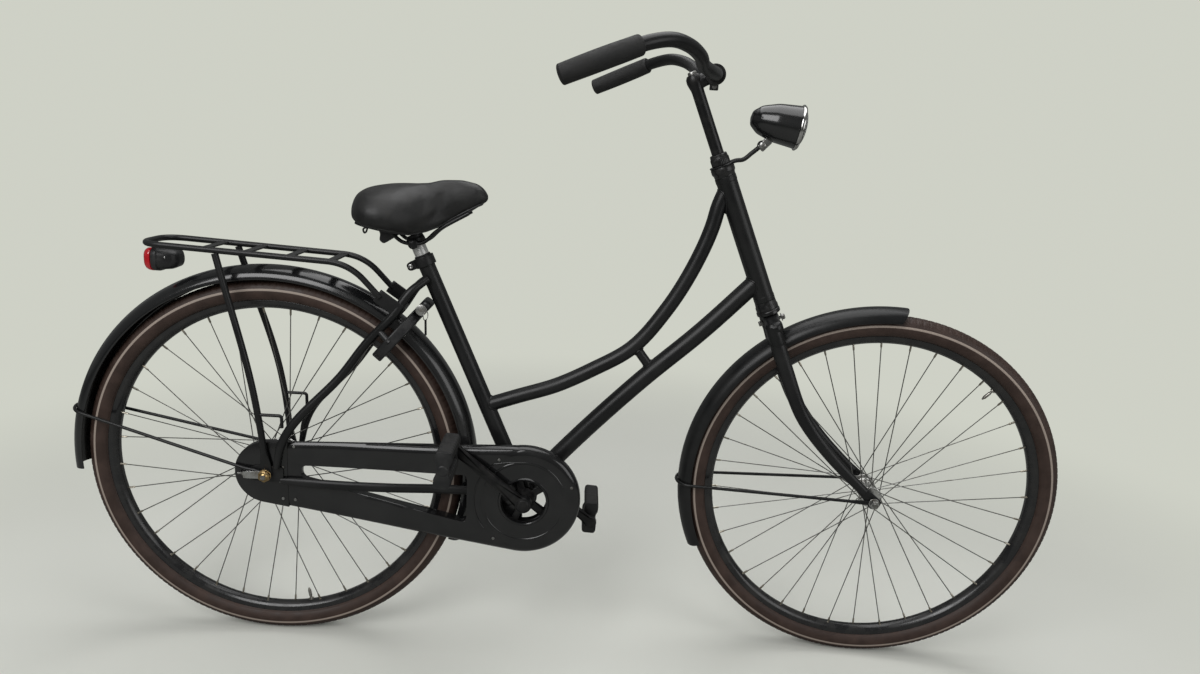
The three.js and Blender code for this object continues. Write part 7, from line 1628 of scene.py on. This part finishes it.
LAMP_RADIUS, LAMP_LONG, LAMP_SHEET, GLASS_RADIUS = 37, 84, 1.4, 33.6
bowl_r = LAMP_RADIUS * np.sin(np.linspace(0, 1, 26) * math.pi / 2) ** 0.8
bowl_x = -LAMP_LONG * (1 - np.clip(np.interp(bowl_r / LAMP_RADIUS, (0, 0.34, 0.66, 0.9, 1),
                                             (0, 0.03, 0.2, 0.54, 1)), 0, 1))
bowl_x = np.convolve(np.r_[bowl_x[0], bowl_x, bowl_x[-1]], (0.25, 0.5, 0.25), "valid")
outside = np.stack([np.maximum(bowl_r, 0.05), bowl_x], 1)
inside = np.stack([np.maximum(bowl_r - LAMP_SHEET, 0.05), bowl_x + 1.2], 1)[::-1]
inside[0, 1] = outside[-1, 1]
piece("bullet_lamp_shell", lamp_spun(np.concatenate([outside, inside[:-1]])), "headlamp", gloss_black,
      "gloss_black_paint", ["lamp_shell"], place=on_steering)
cheeks = [plank(LAMP_PIVOT + (0, y, 0) - lamp_up * 7 - lamp_way * 2,
                LAMP_FRONT - lamp_way * 42 - lamp_up * 30 + (0, y, 0), 14, 3, lamp_way, 1.0)
          for y in (-5.8, 5.8)]
pivot_bolt = spun([(0.05, -14), (4, -13.6), (6, -12.6), (6, -9.4), (4, -9), (4, 9), (6.6, 9.2), (6.6, 13),
                   (4.4, 13.2), (4, 15), (0.05, 15.2)], 6, LAMP_PIVOT)
bolt_shank = spun([(0.05, -10), (4, -10), (4, 10), (0.05, 10)], 24, LAMP_PIVOT)
piece("lamp_cheeks", [*cheeks, pivot_bolt, bolt_shank], "headlamp", axle_zinc, "bare_steel", place=on_steering)
rim_rows = [(34.3, 0.8), (37.2, 0.4), (38.2, 0.8), (38.7, 2), (38.7, 4.6), (38, 6.4), (36.6, 7.6), (35.2, 7.8),
            (34.4, 7)]
piece("chromed_lamp_rim", lamp_spun(rim_rows, 96), "headlamp", chrome, "chrome_plate", ["lamp_rim"],
      place=on_steering, closed_path=True)
r = np.linspace(GLASS_RADIUS, 5, 16)
bowl = np.stack([r, 2 - 30 * (1 - (r / GLASS_RADIUS) ** 2)], 1)
reflector_rows = np.concatenate([bowl, [(0.05, -27.6), (0.05, -28.8)], (bowl - (0, 1.2))[::-1]])
piece("lamp_reflector", lamp_spun(reflector_rows), "headlamp", chrome, "chrome_plate", place=on_steering,
      closed_path=True)
r = np.linspace(0.05, GLASS_RADIUS, 20)
front = 3.6 + 12 * np.sqrt(np.clip(1 - (r / 34.4) ** 2, 0, 1))
lens_rows = np.concatenate([np.stack([r, front], 1), np.stack([r[1:-1], front[1:-1] - 2.2], 1)[::-1],
                            [(0.05, front[0] - 2.2)]])
clear_lens = aged_material("lamp_clear_lens", (0.95, 0.95, 0.94), (0.86, 0.86, 0.84), 60, 900, 0.03, 0.09,
                           bump=0.02)
tree = clear_lens.node_tree
clear = tree.nodes["Principled BSDF"]
clear.inputs["Transmission Weight"].default_value, clear.inputs["IOR"].default_value = 0.94, 1.49
flutes = put(tree, "ShaderNodeTexWave", {"Scale": 95.0, "Distortion": 0.0}, bands_direction="Y")
place = put(tree, "ShaderNodeTexCoord")
fluting = put(tree, "ShaderNodeBump", {"Strength": 0.3, "Distance": 0.0004})
join(tree, (place, "Object", flutes, "Vector"), (flutes, "Fac", fluting, "Height"),
     (fluting, "Normal", clear, "Normal"))
piece("domed_clear_lens", lamp_spun(lens_rows, 96), "headlamp", clear_lens, "clear_lens", ["lamp_lens"],
      place=on_steering)
screw_ways = [lamp_up * math.cos(a) + ACROSS * math.sin(a) for a in (0.12, math.pi - 0.1)]
lamp_fixings = [pan_screw(LAMP_FRONT + 38.4 * way + lamp_way * 4, way, 2.6, 1.6) for way in screw_ways]
piece("lamp_rim_screws", lamp_fixings, "headlamp", axle_zinc, "bare_steel", place=on_steering)
